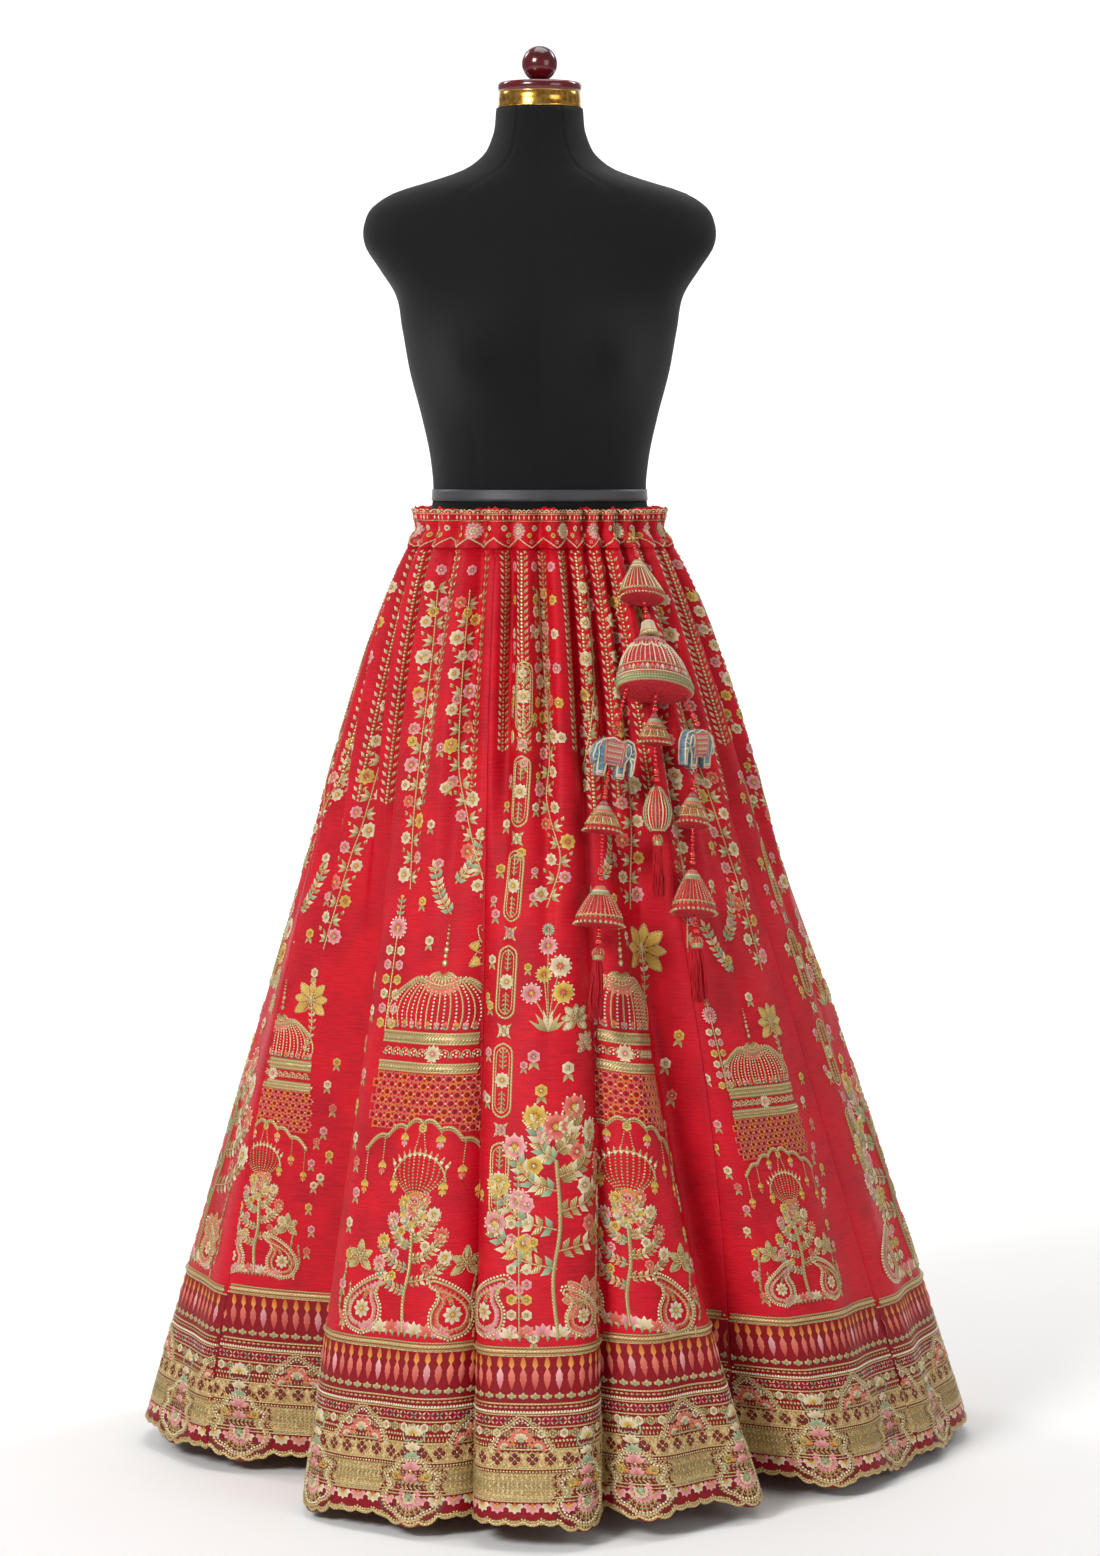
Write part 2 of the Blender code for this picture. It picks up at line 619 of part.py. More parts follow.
def cap_profile(kind, length, radius):
    shape = [(0.0, 0.0), (THREAD_RADIUS, 0.0)]
    shape += [(radius * wide, -length * down) for wide, down in CAP_SHAPES[kind]]
    return shape + [(0.0, -length)]


def tassel_shape(length, radius):
    """A tassel in its own axes: a bound head, whose underside runs out into parted strands."""
    shape = bmesh.new()
    collar, drop = radius * 0.55, length * 0.10
    levels = ((0.0, THREAD_RADIUS), (-drop * 0.6, collar), (-drop * 1.6, collar * 0.8), (-drop * 2, collar))
    loops = []
    for height, size in levels + ((-drop * 2, collar * 0.62), (-drop * 2, collar * 0.26)):
        turns = [2 * math.pi * n / TASSEL_SECTORS for n in range(TASSEL_SECTORS)]
        loops.append([shape.verts.new((size * math.cos(a), size * math.sin(a), height)) for a in turns])
    roots = []
    for number, (high, low) in enumerate(zip(loops, loops[1:])):
        for (a, b), (c, d) in zip(pairs_along(high, True), pairs_along(low, True)):
            face = shape.faces.new([a, c, d, b])
            if number >= len(levels) - 1:
                roots.append(face)
    shape.faces.new(loops[0])
    shape.faces.new(loops[-1][::-1])
    for number, face in enumerate(roots):
        grow_strand(shape, face, number, length, radius, drop)
    shape.normal_update()
    return shape


def grow_strand(shape, root, number, length, radius, drop):
    """One strand: a smaller copy of the root face, carried down and out to the tassel's end."""
    centre = root.calc_center_median()
    bmesh.ops.inset_individual(shape, faces=[root], thickness=radius * 0.035)
    face = root
    reach = length * (0.93 + 0.07 * math.sin(number * 2.4))
    for share in (0.45, 1.0):
        made = bmesh.ops.extrude_discrete_faces(shape, faces=[face])["faces"]
        tip = made[0]
        target = Vector((centre.x, centre.y, 0)) * (1 + TASSEL_SPREAD * share)
        target.z = -drop * 2 - (reach - drop * 2) * share
        bmesh.ops.translate(shape, verts=tip.verts[:], vec=target - tip.calc_center_median())
        face = tip


def elephant_curve(name, height, facing):
    """A flat elephant outline, given its padded thickness by the curve's extrusion."""
    data = bpy.data.curves.new(name, "CURVE")
    data.dimensions = "2D"
    data.fill_mode = "BOTH"
    data.extrude = ELEPHANT_THICKNESS / 2
    line = data.splines.new("POLY")
    line.points.add(len(ELEPHANT_OUTLINE) - 1)
    for point, (across, up) in zip(line.points, ELEPHANT_OUTLINE):
        point.co = (across * height * facing, (up - 1.0) * height, 0.0, 1.0)
    line.use_cyclic_u = True
    return add_object(name, data, "padding")


def surface_samples():
    columns, share = np.meshgrid(
        np.arange(0, len(SEAMS) * COLUMNS_PER_KALI, 0.25), np.arange(0, 1.0, 0.02)
    )
    return skirt_point(columns, share).reshape(-1, 3)


def envelope_radius(bearing, height, spread):
    """The skirt's greatest reach from its axis near a bearing and a height."""
    bearings = np.arctan2(SAMPLES[:, 0], -SAMPLES[:, 1])
    near = (np.abs(bearings - bearing) < spread) & (np.abs(SAMPLES[:, 2] - height) < 0.016)
    return float(np.hypot(SAMPLES[near, 0], SAMPLES[near, 1]).max())


def hang_point(across, height, offset, above=None):
    """A point off the cloth, straight under the one above unless the cloth pushes it out."""
    bearing = 0.6
    for _ in range(12):
        reach = envelope_radius(bearing, height, 0.14) + offset
        bearing = math.asin(min(0.99, across / reach))
    depth = reach * math.cos(bearing)
    return Vector((across, -depth if above is None else min(above.y, -depth), height))


def place_along(made, top, bottom, thickness_scale=1.0):
    """Stands a piece between two points, its own Y facing away from the cloth."""
    axis = (top - bottom).normalized()
    middle = (top + bottom) / 2
    out = Vector((middle.x, middle.y, 0.0))
    out = (out - axis * out.dot(axis)).normalized()
    side = out.cross(axis).normalized()
    turn = Matrix((side, out, axis)).transposed().to_4x4()
    made.matrix_world = Matrix.Translation(top) @ turn @ Matrix.Diagonal((1, thickness_scale, 1, 1))


def build_ornament(row, top, bottom):
    name, radius = row.name, row.radius * CENTIMETRE
    axis = (bottom - top).normalized()
    top, bottom = top + axis * JOINT_GAP / 2, bottom - axis * JOINT_GAP / 2
    length = (bottom - top).length
    if row.kind == "beads":
        place_along(turned(name, bead_profile(length, radius), BEAD_SIDES, "bead"), top, bottom)
    elif row.kind == "tassel":
        made = add_mesh(name, tassel_shape(length, radius), "thread")
        place_along(made, top, bottom)
    elif row.kind in ELEPHANT_FACING:
        made = elephant_curve(name, length, ELEPHANT_FACING[row.kind])
        place_along(made, top, bottom)
        made.matrix_world = made.matrix_world @ Matrix.Rotation(math.radians(90), 4, "X")
    else:
        finish = "ivory" if row.kind == "bell" else "cap"
        made = turned(name, cap_profile(row.kind, length, radius), CAP_SIDES[row.kind], finish)
        place_along(made, top, bottom, flatness(row.kind))


def flatness(kind):
    """The caps that lie against the cloth are flattened, the rest are round."""
    return FLATNESS if kind in ("cap", "dome") else 1.0


def build_strand(rows, top, first_offset):
    """Each piece hangs from the one above, and leans out from the cloth by its own depth."""
    for row in rows:
        reach = row.radius * CENTIMETRE * flatness(row.kind)
        offset = STRAND_OFFSET if row.kind in ELEPHANT_FACING else max(STRAND_OFFSET, reach + 0.001)
        if first_offset is not None:
            share = (rows[0].z_top - row.z_bottom) / (rows[0].z_top - rows[-1].z_bottom)
            offset = first_offset + (DOME_OFFSET - first_offset) * share
        bottom = hang_point(row.x_bottom * CENTIMETRE, row.z_bottom * CENTIMETRE, offset, top)
        build_ornament(row, top, bottom)
        last_top, top = top, bottom
        if row.kind in ELEPHANT_FACING:
            top = last_top.lerp(bottom, 1 - ELEPHANT_BELLY)
    return last_top, bottom


def build_ornaments():
    """The strand from the drawstring to the dome, and three more from the dome's flat underside."""
    first = MAIN_STRAND[0]
    knot = hang_point(first.x_top * CENTIMETRE, first.z_top * CENTIMETRE, NECK_OFFSET)
    build_drawstring(knot)
    dome_top, dome_foot = build_strand(MAIN_STRAND, knot, NECK_OFFSET)
    axis = (dome_foot - dome_top).normalized()
    side = axis.cross(Vector((-dome_foot.x, -dome_foot.y, 0.0))).normalized()
    for rows, across in zip((LEFT_STRAND, MIDDLE_STRAND, RIGHT_STRAND), RIM_PLACES):
        build_strand(rows, dome_foot + side * across, None)


def build_drawstring(knot):
    """The drawstring's end, out of the band and down to the first beads, and the ring on it."""
    crests = DRAWSTRING_COLUMN + np.array([-1, 0, 1]) * COLUMNS_PER_GATHER
    before, mouth, after = map(Vector, band_point(crests, BAND_TIE_Z, GATHER_DEPTH * 0.75, 0.0))
    out = (after - before).cross(Vector((0, 0, 1))).normalized()
    foot = knot + Vector((0, 0, JOINT_GAP))
    path = (
        mouth + out * SEAM_GAP * 3,
        mouth + out * 0.0065,
        foot + Vector((0, 0, 0.008)),
        foot + Vector((0, 0, 0.004)),
        foot,
    )
    points = smooth_route(path, 10)
    data = bpy.data.curves.new("drawstring_end", "CURVE")
    data.dimensions = "3D"
    data.bevel_depth = CORD_RADIUS
    data.bevel_resolution = 2
    data.use_fill_caps = True
    line = data.splines.new("POLY")
    line.points.add(len(points) - 1)
    for point, place in zip(line.points, points):
        point.co = (*place, 1.0)
    add_object("drawstring_end", data, "gold")
    bpy.ops.mesh.primitive_torus_add(
        major_radius=RING_RADIUS, minor_radius=RING_WIRE, major_segments=20, minor_segments=8
    )
    ring = bpy.context.object
    ring.name = ring.data.name = "drawstring_ring"
    for holder in list(ring.users_collection):
        holder.objects.unlink(ring)
    COLLECTION.objects.link(ring)
    ring.data.materials.append(MATERIALS["gold"])
    seat = Vector(points[len(points) * 3 // 4])
    side = out.cross(Vector((0, 0, 1)))
    middle = seat + side * (RING_RADIUS - RING_WIRE - CORD_RADIUS - RING_PLAY)
    tilt = Matrix.Rotation(math.radians(20), 4, side)
    ring.matrix_world = Matrix.Translation(middle) @ tilt


def smooth_route(path, steps):
    """Points of one smooth curve through the route's own points."""
    knots = [path[0], *path, path[-1]]
    points = []
    for before, start, end, after in zip(knots, knots[1:], knots[2:], knots[3:]):
        for step in range(steps):
            share = step / steps
            points.append(
                0.5
                * (
                    2 * start
                    + (end - before) * share
                    + (2 * before - 5 * start + 4 * end - after) * share**2
                    + (3 * start - before - 3 * end + after) * share**3
                )
            )
    return points[:: steps // 3] + [path[-1]]


COLLECTION = cleared_collection("lehenga_skirt_on_dress_form")
MATERIALS = {name: finish_of(name) for name in FINISHES}
SAMPLES = surface_samples()
build_kalis()
build_waistband()
build_form()
build_waist_tape()
build_stand()
build_ornaments()
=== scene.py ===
# %% [markdown]
# # A red silk lehenga on a dress form
# The frame holds the plain CAD solids of a twelve-panel lehenga skirt, the dress form that it
# hangs on and the ornaments on its drawstring. This lesson gives each of them the cloth, the
# embroidery and the finish of the real thing, one piece at a time.
# The size of the CAD model is kept.

import math

import bpy
import numpy as np
from mathutils import Matrix, Vector
from mathutils.bvhtree import BVHTree


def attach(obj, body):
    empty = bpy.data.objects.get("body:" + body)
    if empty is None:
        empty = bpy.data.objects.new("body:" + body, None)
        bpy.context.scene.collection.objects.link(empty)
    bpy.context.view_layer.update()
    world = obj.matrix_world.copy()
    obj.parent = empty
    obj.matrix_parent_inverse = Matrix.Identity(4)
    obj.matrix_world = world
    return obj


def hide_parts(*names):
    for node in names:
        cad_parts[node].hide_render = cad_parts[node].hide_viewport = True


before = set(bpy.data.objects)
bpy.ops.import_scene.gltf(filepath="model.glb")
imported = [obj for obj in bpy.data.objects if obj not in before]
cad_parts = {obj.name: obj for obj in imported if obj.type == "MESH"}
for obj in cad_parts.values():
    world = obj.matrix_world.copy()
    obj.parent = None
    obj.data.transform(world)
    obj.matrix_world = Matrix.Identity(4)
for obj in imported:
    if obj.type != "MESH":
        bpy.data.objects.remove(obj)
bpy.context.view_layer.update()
print("CAD nodes:", len(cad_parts))

# %% [markdown]
# ## Camera
# The photograph is taken from nearly five metres away with a long lens, a little above the
# waist and looking slightly down. A pitch of the camera gives that, with no lens shift.

# %% Camera
CAMERA_PLACE = (0.012, -4.80, 1.17)
CAMERA_PITCH = 4.54
camera_data = bpy.data.cameras.new("camera")
camera_data.lens = 95.5
camera_data.sensor_width = 36.0
camera = bpy.data.objects.new("camera", camera_data)
camera.location = CAMERA_PLACE
camera.rotation_euler.x = math.radians(90.0 - CAMERA_PITCH)
bpy.context.scene.collection.objects.link(camera)
bpy.context.scene.camera = camera
print("camera at", CAMERA_PLACE)

# %% [markdown]
# ## Colours and nodes
# Colours are written as sRGB hex values, as a dyer's card would give them, and one function
# turns them linear. A second one adds a shader node with its settings and links, so that each
# material below reads as a short list of nodes.


# %% Colours and nodes
def linear(hex_colour):
    """Linear red, green, blue and alpha of an sRGB hex value."""
    parts = [int(hex_colour[place:place + 2], 16) / 255 for place in (1, 3, 5)]
    return tuple(p / 12.92 if p <= 0.04045 else ((p + 0.055) / 1.055) ** 2.4 for p in parts) + (1.0,)


def add(tree, kind, inputs=None, **settings):
    """A new node; an input's value may be a number, a colour or another node's output."""
    made = tree.nodes.new("ShaderNode" + kind)
    for name, value in settings.items():
        setattr(made, name, value)
    for name, value in (inputs or {}).items():
        if isinstance(value, bpy.types.NodeSocket):
            tree.links.new(value, made.inputs[name])
        else:
            made.inputs[name].default_value = value
    return made


def ramp(tree, factor, stops, interpolation="LINEAR"):
    """A colour ramp through (place, hex colour) stops."""
    made = add(tree, "ValToRGB", {0: factor})
    made.color_ramp.interpolation = interpolation
    while len(made.color_ramp.elements) < len(stops):
        made.color_ramp.elements.new(1.0)
    for element, (place, colour) in zip(made.color_ramp.elements, stops):
        element.position = place
        element.color = linear(colour) if isinstance(colour, str) else (colour, colour, colour, 1)
    return made.outputs["Color"]


def new_material(name, shader_values):
    """A material with an empty tree but for its output and one Principled shader."""
    made = bpy.data.materials.new(name)
    made.use_nodes = True
    tree = made.node_tree
    shader = tree.nodes["Principled BSDF"]
    for socket, value in shader_values.items():
        shader.inputs[socket].default_value = value
    return made, tree, shader


def mix_colours(tree, factor, first, second, blend="MIX"):
    """The output of a colour mix."""
    made = add(tree, "Mix", {0: factor, 6: first, 7: second}, data_type="RGBA", blend_type=blend)
    return made.outputs[2]


def bumped(tree, shader, height, distance, strength=1.0):
    """Gives the shader a bump from a height between 0 and 1 over a distance in metres."""
    made = add(tree, "Bump", {"Height": height, "Distance": distance, "Strength": strength})
    tree.links.new(made.outputs["Normal"], shader.inputs["Normal"])


print("pure red in linear light:", linear("#FF0000"))

# %% [markdown]
# ## Floor and light
# A studio sweeps white paper under the dress form and up behind it. The lamps are large soft
# boxes: one high on the left and in front, a weaker one on the right, one overhead, and two
# that only light the paper behind. The world looks white to the camera, but it lights little.

# %% Floor and light
SWEEP_BACK = 6.4
SWEEP_CURVE = 2.6
SWEEP_HALF = 5.0
SWEEP_FRONT = -5.6
SWEEP_TOP = 12.0
WORLD_LIGHT = 0.24
WORLD_SEEN = 0.96
sweep_turns = np.radians(np.linspace(0, 90, 17))
sweep_line = [(SWEEP_FRONT, 0.0)] + [
    (SWEEP_BACK + SWEEP_CURVE * math.sin(turn), SWEEP_CURVE * (1 - math.cos(turn))) for turn in sweep_turns
] + [(SWEEP_BACK + SWEEP_CURVE, SWEEP_TOP)]
bpy.ops.object.select_all(action="DESELECT")
bpy.ops.mesh.primitive_grid_add(x_subdivisions=1, y_subdivisions=len(sweep_line) - 1, size=2.0)
floor = bpy.context.object
floor.name = floor.data.name = "studio_sweep"
for vertex in floor.data.vertices:
    row = round((vertex.co.y + 1) / 2 * (len(sweep_line) - 1))
    vertex.co = (vertex.co.x * SWEEP_HALF, sweep_line[row][0], sweep_line[row][1] - 0.0005)
floor.data.shade_smooth()
floor_material, tree, shader = new_material("studio_paper", {"Roughness": 0.95, "Specular IOR Level": 0.1})
paper_place = add(tree, "TexCoord").outputs["Object"]
paper_grain = add(tree, "TexNoise", {"Vector": paper_place, "Scale": 3.0, "Detail": 2.0}).outputs[0]
tree.links.new(ramp(tree, paper_grain, ((0.0, "#F4F4F3"), (1.0, "#F8F8F8"))), shader.inputs["Base Color"])
floor.data.materials.append(floor_material)

LAMPS = (
    ("key_box", (-2.7, -3.9, 3.3), (0.0, 0.0, 0.75), 1.5, 185.0),
    ("fill_box", (3.6, -3.6, 1.9), (0.0, 0.0, 0.75), 2.4, 42.0),
    ("top_box", (0.2, 0.5, 4.6), (0.0, 0.0, 0.75), 2.6, 60.0),
    ("paper_left", (-4.6, 3.4, 5.2), (-1.2, 8.6, 1.2), 2.4, 330.0),
    ("paper_right", (4.6, 3.4, 5.2), (1.2, 8.6, 1.2), 2.4, 330.0),
)
for name, place, aim, size, power in LAMPS:
    lamp_data = bpy.data.lights.new(name, "AREA")
    lamp_data.size = size
    lamp_data.energy = power
    lamp = bpy.data.objects.new(name, lamp_data)
    lamp.location = place
    lamp.rotation_euler = (Vector(aim) - Vector(place)).to_track_quat("-Z", "Y").to_euler()
    bpy.context.scene.collection.objects.link(lamp)
world = bpy.data.worlds.new("studio")
world.use_nodes = True
world_light = world.node_tree.nodes["Background"]
world_light.inputs["Color"].default_value = (1.0, 1.0, 1.0, 1.0)
seen = add(world.node_tree, "LightPath").outputs["Is Camera Ray"]
world_range = {"Value": seen, "To Min": WORLD_LIGHT, "To Max": WORLD_SEEN}
strength = add(world.node_tree, "MapRange", world_range).outputs["Result"]
world.node_tree.links.new(strength, world_light.inputs["Strength"])
bpy.context.scene.world = world
bpy.context.scene.view_settings.view_transform = "Standard"
print("lamps:", [lamp[0] for lamp in LAMPS])

# %% [markdown]
# ## The shape of the cloth
# The skirt is twelve kalis, the tapered panels of a lehenga, sewn side by side and gathered
# into a band. Its form is one function of two numbers: a column, ten to a kali, and a share,
# 0 at the band and 1 at the hem. The tables are the same as those of the CAD model, so the
# cloth lies where its solid is.

# %% Tables of the cloth
KALI_TOP_Z = 1.058
HEM_Z = 0.016
WALL = 0.0020
SEAM_GAP = 0.0003
COLUMNS_PER_KALI = 10
COLUMNS_PER_GATHER = 4
SPREAD_POWER = 0.90
DEEPENING = 1.15
GATHER_DEPTH = 0.0075
GATHER_SWELL = 0.0065
GATHER_END = 0.52
BAND_TOP_Z = 1.104
BAND_TIE_Z = 1.080
FRILL_FLARE = 0.0030
BAND_CLEARANCE = 0.0006
NECK_TOP_Z = 1.562
FORM_BOTTOM_Z = 0.760
TAPE_Z = (1.112, 1.125)
NECK_CAP_HEIGHT = 0.030
BALL_RADIUS = 0.0207
POLE_RADIUS = 0.016
BASE_RADIUS = 0.175
BASE_HEIGHT = 0.020

# Each kali's left seam, in degrees to the right of the front, at the waist and at the hem,
# and the power by which it turns from one to the other
SEAM_COLUMNS = ("kali", "waist", "hem", "curve")
SEAMS = (
    ("front_centre", -20.0, -11.0, 0.4),
    ("front_right", 13.0, 10.5, 1.0),
    ("right_front", 34.0, 45.0, 1.8),
    ("right_side", 63.0, 75.0, 1.0),
    ("right_back", 92.0, 105.0, 1.0),
    ("back_right", 122.0, 134.0, 1.0),
    ("back_centre", 152.0, 163.0, 1.0),
    ("back_left", 182.0, 193.0, 1.0),
    ("left_back", 213.0, 222.0, 1.0),
    ("left_side", 242.0, 251.0, 1.0),
    ("left_front", 272.0, 284.0, 1.0),
    ("front_left", 302.0, 315.0, 1.0),
)

# The ridge line of the hem seen from above
HEM_COLUMNS = ("angle", "radius")
HEM_OUTLINE = (
    (-90.0, 0.466), (-60.0, 0.450), (-40.0, 0.418), (-28.0, 0.440), (-12.0, 0.458), (2.0, 0.478),
    (14.0, 0.456), (30.0, 0.432), (46.0, 0.424), (62.0, 0.444), (76.0, 0.464), (96.0, 0.511),
    (122.0, 0.502), (150.0, 0.478), (182.0, 0.470), (215.0, 0.484), (245.0, 0.478),
)

# The folds' valleys: place in degrees, depth, half widths in degrees, the mouth's pinch and the
# lean of the bottom, in degrees too
# Columns: waist, hem, curve, waist depth, hem depth, left, right, pinch, lean
FOLDS = (
    (-58.0, -55.0, 1.0, 0.002, 0.170, 35.0, 20.0, 0.10, 0.0),
    (-22.0, -11.0, 0.35, 0.002, 0.042, 8.0, 6.0, 0.30, 1.6),
    (-36.0, -24.0, 1.0, 0.000, 0.008, 9.0, 9.0, 0.00, 0.0),
    (15.0, 10.5, 1.0, 0.002, 0.054, 6.8, 8.0, 0.26, -1.0),
    (18.0, 27.0, 1.0, 0.000, 0.010, 8.0, 8.0, 0.00, 0.0),
    (24.0, 44.5, 1.9, 0.002, 0.104, 11.5, 10.0, 0.06, 0.0),
    (62.0, 69.0, 1.0, 0.000, 0.014, 10.0, 12.0, 0.00, 0.0),
    (88.0, 86.0, 1.0, 0.000, 0.010, 8.0, 8.0, 0.00, 0.0),
    (98.0, 112.0, 1.0, 0.002, 0.085, 13.0, 12.0, 0.24, 0.0),
    (128.0, 141.0, 1.0, 0.002, 0.060, 11.0, 12.0, 0.26, 1.0),
    (158.0, 168.0, 1.0, 0.002, 0.098, 13.0, 12.0, 0.20, 0.0),
    (188.0, 198.0, 1.0, 0.002, 0.055, 10.0, 12.0, 0.26, -1.0),
    (217.0, 227.0, 1.0, 0.002, 0.105, 14.0, 12.0, 0.26, 0.0),
    (248.0, 254.0, 1.0, 0.002, 0.040, 9.0, 10.0, 0.20, 0.0),
    (266.0, 276.0, 1.0, 0.000, 0.018, 8.0, 8.0, 0.00, 0.0),
)

# Soft creases that the cloth has besides its folds: column and share at the two ends of the
# line, depth in metres and half width in columns
# Columns: start column, start share, end column, end share, depth, half width
CREASES = (
    (2.2, 0.02, 2.6, 0.55, 0.0030, 0.50),
    (6.4, 0.02, 5.8, 0.62, 0.0036, 0.55),
    (8.2, 0.00, 8.4, 0.30, 0.0025, 0.40),
    (13.0, 0.02, 14.6, 0.70, 0.0034, 0.60),
    (17.4, 0.02, 17.0, 0.58, 0.0040, 0.60),
    (24.0, 0.02, 24.4, 0.66, 0.0040, 0.70),
    (34.5, 0.05, 35.2, 0.70, 0.0040, 0.70),
    (46.0, 0.05, 45.0, 0.72, 0.0040, 0.70),
    (58.5, 0.05, 58.0, 0.70, 0.0040, 0.80),
    (68.0, 0.05, 68.6, 0.68, 0.0040, 0.80),
    (81.0, 0.05, 80.4, 0.72, 0.0040, 0.80),
    (92.5, 0.05, 93.0, 0.66, 0.0040, 0.80),
    (103.0, 0.04, 102.0, 0.66, 0.0040, 0.70),
    (112.5, 0.02, 112.0, 0.60, 0.0036, 0.60),
    (115.4, 0.02, 114.6, 0.50, 0.0034, 0.50),
    (118.0, 0.02, 117.8, 0.64, 0.0036, 0.55),
)

# The dress form's level sections
FORM_COLUMNS = ("z", "half_width", "front", "back")
FORM_SECTIONS = (
    (0.760, 0.140, 0.086, 0.098), (0.775, 0.153, 0.095, 0.108), (0.830, 0.162, 0.103, 0.115),
    (0.900, 0.162, 0.105, 0.115), (0.980, 0.152, 0.101, 0.107), (1.040, 0.138, 0.095, 0.095),
    (1.080, 0.130, 0.092, 0.090), (1.120, 0.1235, 0.089, 0.087), (1.160, 0.1265, 0.092, 0.090),
    (1.210, 0.137, 0.099, 0.097), (1.260, 0.150, 0.104, 0.104), (1.310, 0.159, 0.104, 0.108),
    (1.350, 0.167, 0.098, 0.108), (1.380, 0.186, 0.091, 0.106), (1.405, 0.2015, 0.084, 0.102),
    (1.430, 0.2025, 0.078, 0.096), (1.452, 0.190, 0.072, 0.088), (1.468, 0.162, 0.067, 0.080),
    (1.480, 0.122, 0.063, 0.072), (1.492, 0.088, 0.059, 0.064), (1.505, 0.069, 0.056, 0.058),
    (1.530, 0.0545, 0.052, 0.052), (NECK_TOP_Z, 0.0500, 0.0490, 0.0490),
)
BUST_Z = 1.272
BUST_HEIGHT = 0.060
BUST_SPREAD = 0.37
BUST_ANGLE = 0.56
BUST_DEPTH = 0.042
print("kalis:", len(SEAMS), "folds:", len(FOLDS), "creases:", len(CREASES))


# %% Surface of the cloth
def column(rows, names, name):
    place = names.index(name)
    return np.array([row[place] for row in rows], float)


def smooth_curve(places, knots, values):
    """A smooth curve through the values at the knots."""
    slopes = np.gradient(values, knots)
    span = np.clip(np.searchsorted(knots, places) - 1, 0, len(knots) - 2)
    step = knots[span + 1] - knots[span]
    share = (places - knots[span]) / step
    rise = 3 * share**2 - 2 * share**3
    bend = share * (1 - share) * step
    between = values[span] * (1 - rise) + values[span + 1] * rise
    return between + bend * (slopes[span] * (1 - share) - slopes[span + 1] * share)


def hem_radius(angle):
    """The hem's reach from the axis, smooth all round, at an angle in degrees."""
    knots = column(HEM_OUTLINE, HEM_COLUMNS, "angle")
    radii = column(HEM_OUTLINE, HEM_COLUMNS, "radius")
    angle = (angle - knots[0]) % 360.0 + knots[0]
    return smooth_curve(angle, np.concatenate([knots - 360.0, knots, knots + 360.0]), np.tile(radii, 3))


def form_half(height, name):
    knots = column(FORM_SECTIONS, FORM_COLUMNS, "z")
    return smooth_curve(np.asarray(height, float), knots, column(FORM_SECTIONS, FORM_COLUMNS, name))


def seam_line(number, share):
    """Degrees to the right of the front of one seam, numbered on and on round the skirt."""
    seam = number % len(SEAMS)
    waist = column(SEAMS, SEAM_COLUMNS, "waist")[seam]
    hem = column(SEAMS, SEAM_COLUMNS, "hem")[seam]
    curve = column(SEAMS, SEAM_COLUMNS, "curve")[seam]
    return waist + (hem - waist) * share**curve + 360.0 * (number // len(SEAMS))


def seam_angle(columns, share):
    """Degrees to the right of the front at a column and a share down the kali."""
    kalis = np.asarray(columns) / COLUMNS_PER_KALI
    number = np.floor(kalis).astype(int)
    left, right = seam_line(number, share), seam_line(number + 1, share)
    return left + (right - left) * (kalis - number)


def gather_depth(share):
    """How far the gathers stand out: tight at the band, fullest under it, gone lower down."""
    swell = 4 * np.clip(share / 0.24, 0, 1) * (1 - np.clip(share / 0.48, 0, 1)) * GATHER_SWELL
    fade = np.clip(1 - share / GATHER_END, 0, 1) ** 1.3
    return GATHER_DEPTH * fade + swell * fade


def gather_wave(columns):
    """Broad round crests with narrow valleys between them, from 1 to -1."""
    fallen = (1 - np.cos(2 * math.pi * columns / COLUMNS_PER_GATHER)) / 2
    return 1 - 2 * fallen**1.6


def crease_depth(columns, share):
    """How far the creases pull the cloth in."""
    depth = np.zeros(np.broadcast(columns, share).shape)
    for start, top, end, foot, deep, half_width in CREASES:
        along = np.clip((share - top) / (foot - top), 0, 1)
        off = (columns - (start + (end - start) * along) + 60.0) % 120.0 - 60.0
        held = np.sin(math.pi * along) ** 0.8
        share_off = off / half_width
        depth += deep * held * (np.exp(-(share_off**2)) - 0.45 * np.exp(-((share_off / 1.9) ** 2)))
    return depth


def fold_shift(angle, share):
    """Inward depth in metres and turn in degrees that the folds give a point."""
    depth = np.zeros_like(angle)
    turn = np.zeros_like(angle)
    for waist, hem, curve, waist_depth, hem_depth, left, right, pinch, lean in FOLDS:
        centre = waist + (hem - waist) * share**curve
        off = (angle - centre + 180.0) % 360.0 - 180.0
        side = np.where(off < 0, left, right)
        reach = np.clip(off / side, -1, 1)
        drop = np.cos(reach * math.pi / 2) ** 2
        depth += (waist_depth + (hem_depth - waist_depth) * share**DEEPENING) * drop
        grown = np.clip(share * 1.4, 0, 1)
        turn += grown * (lean * drop - pinch * side * np.sin(math.pi * reach))
    return depth, turn


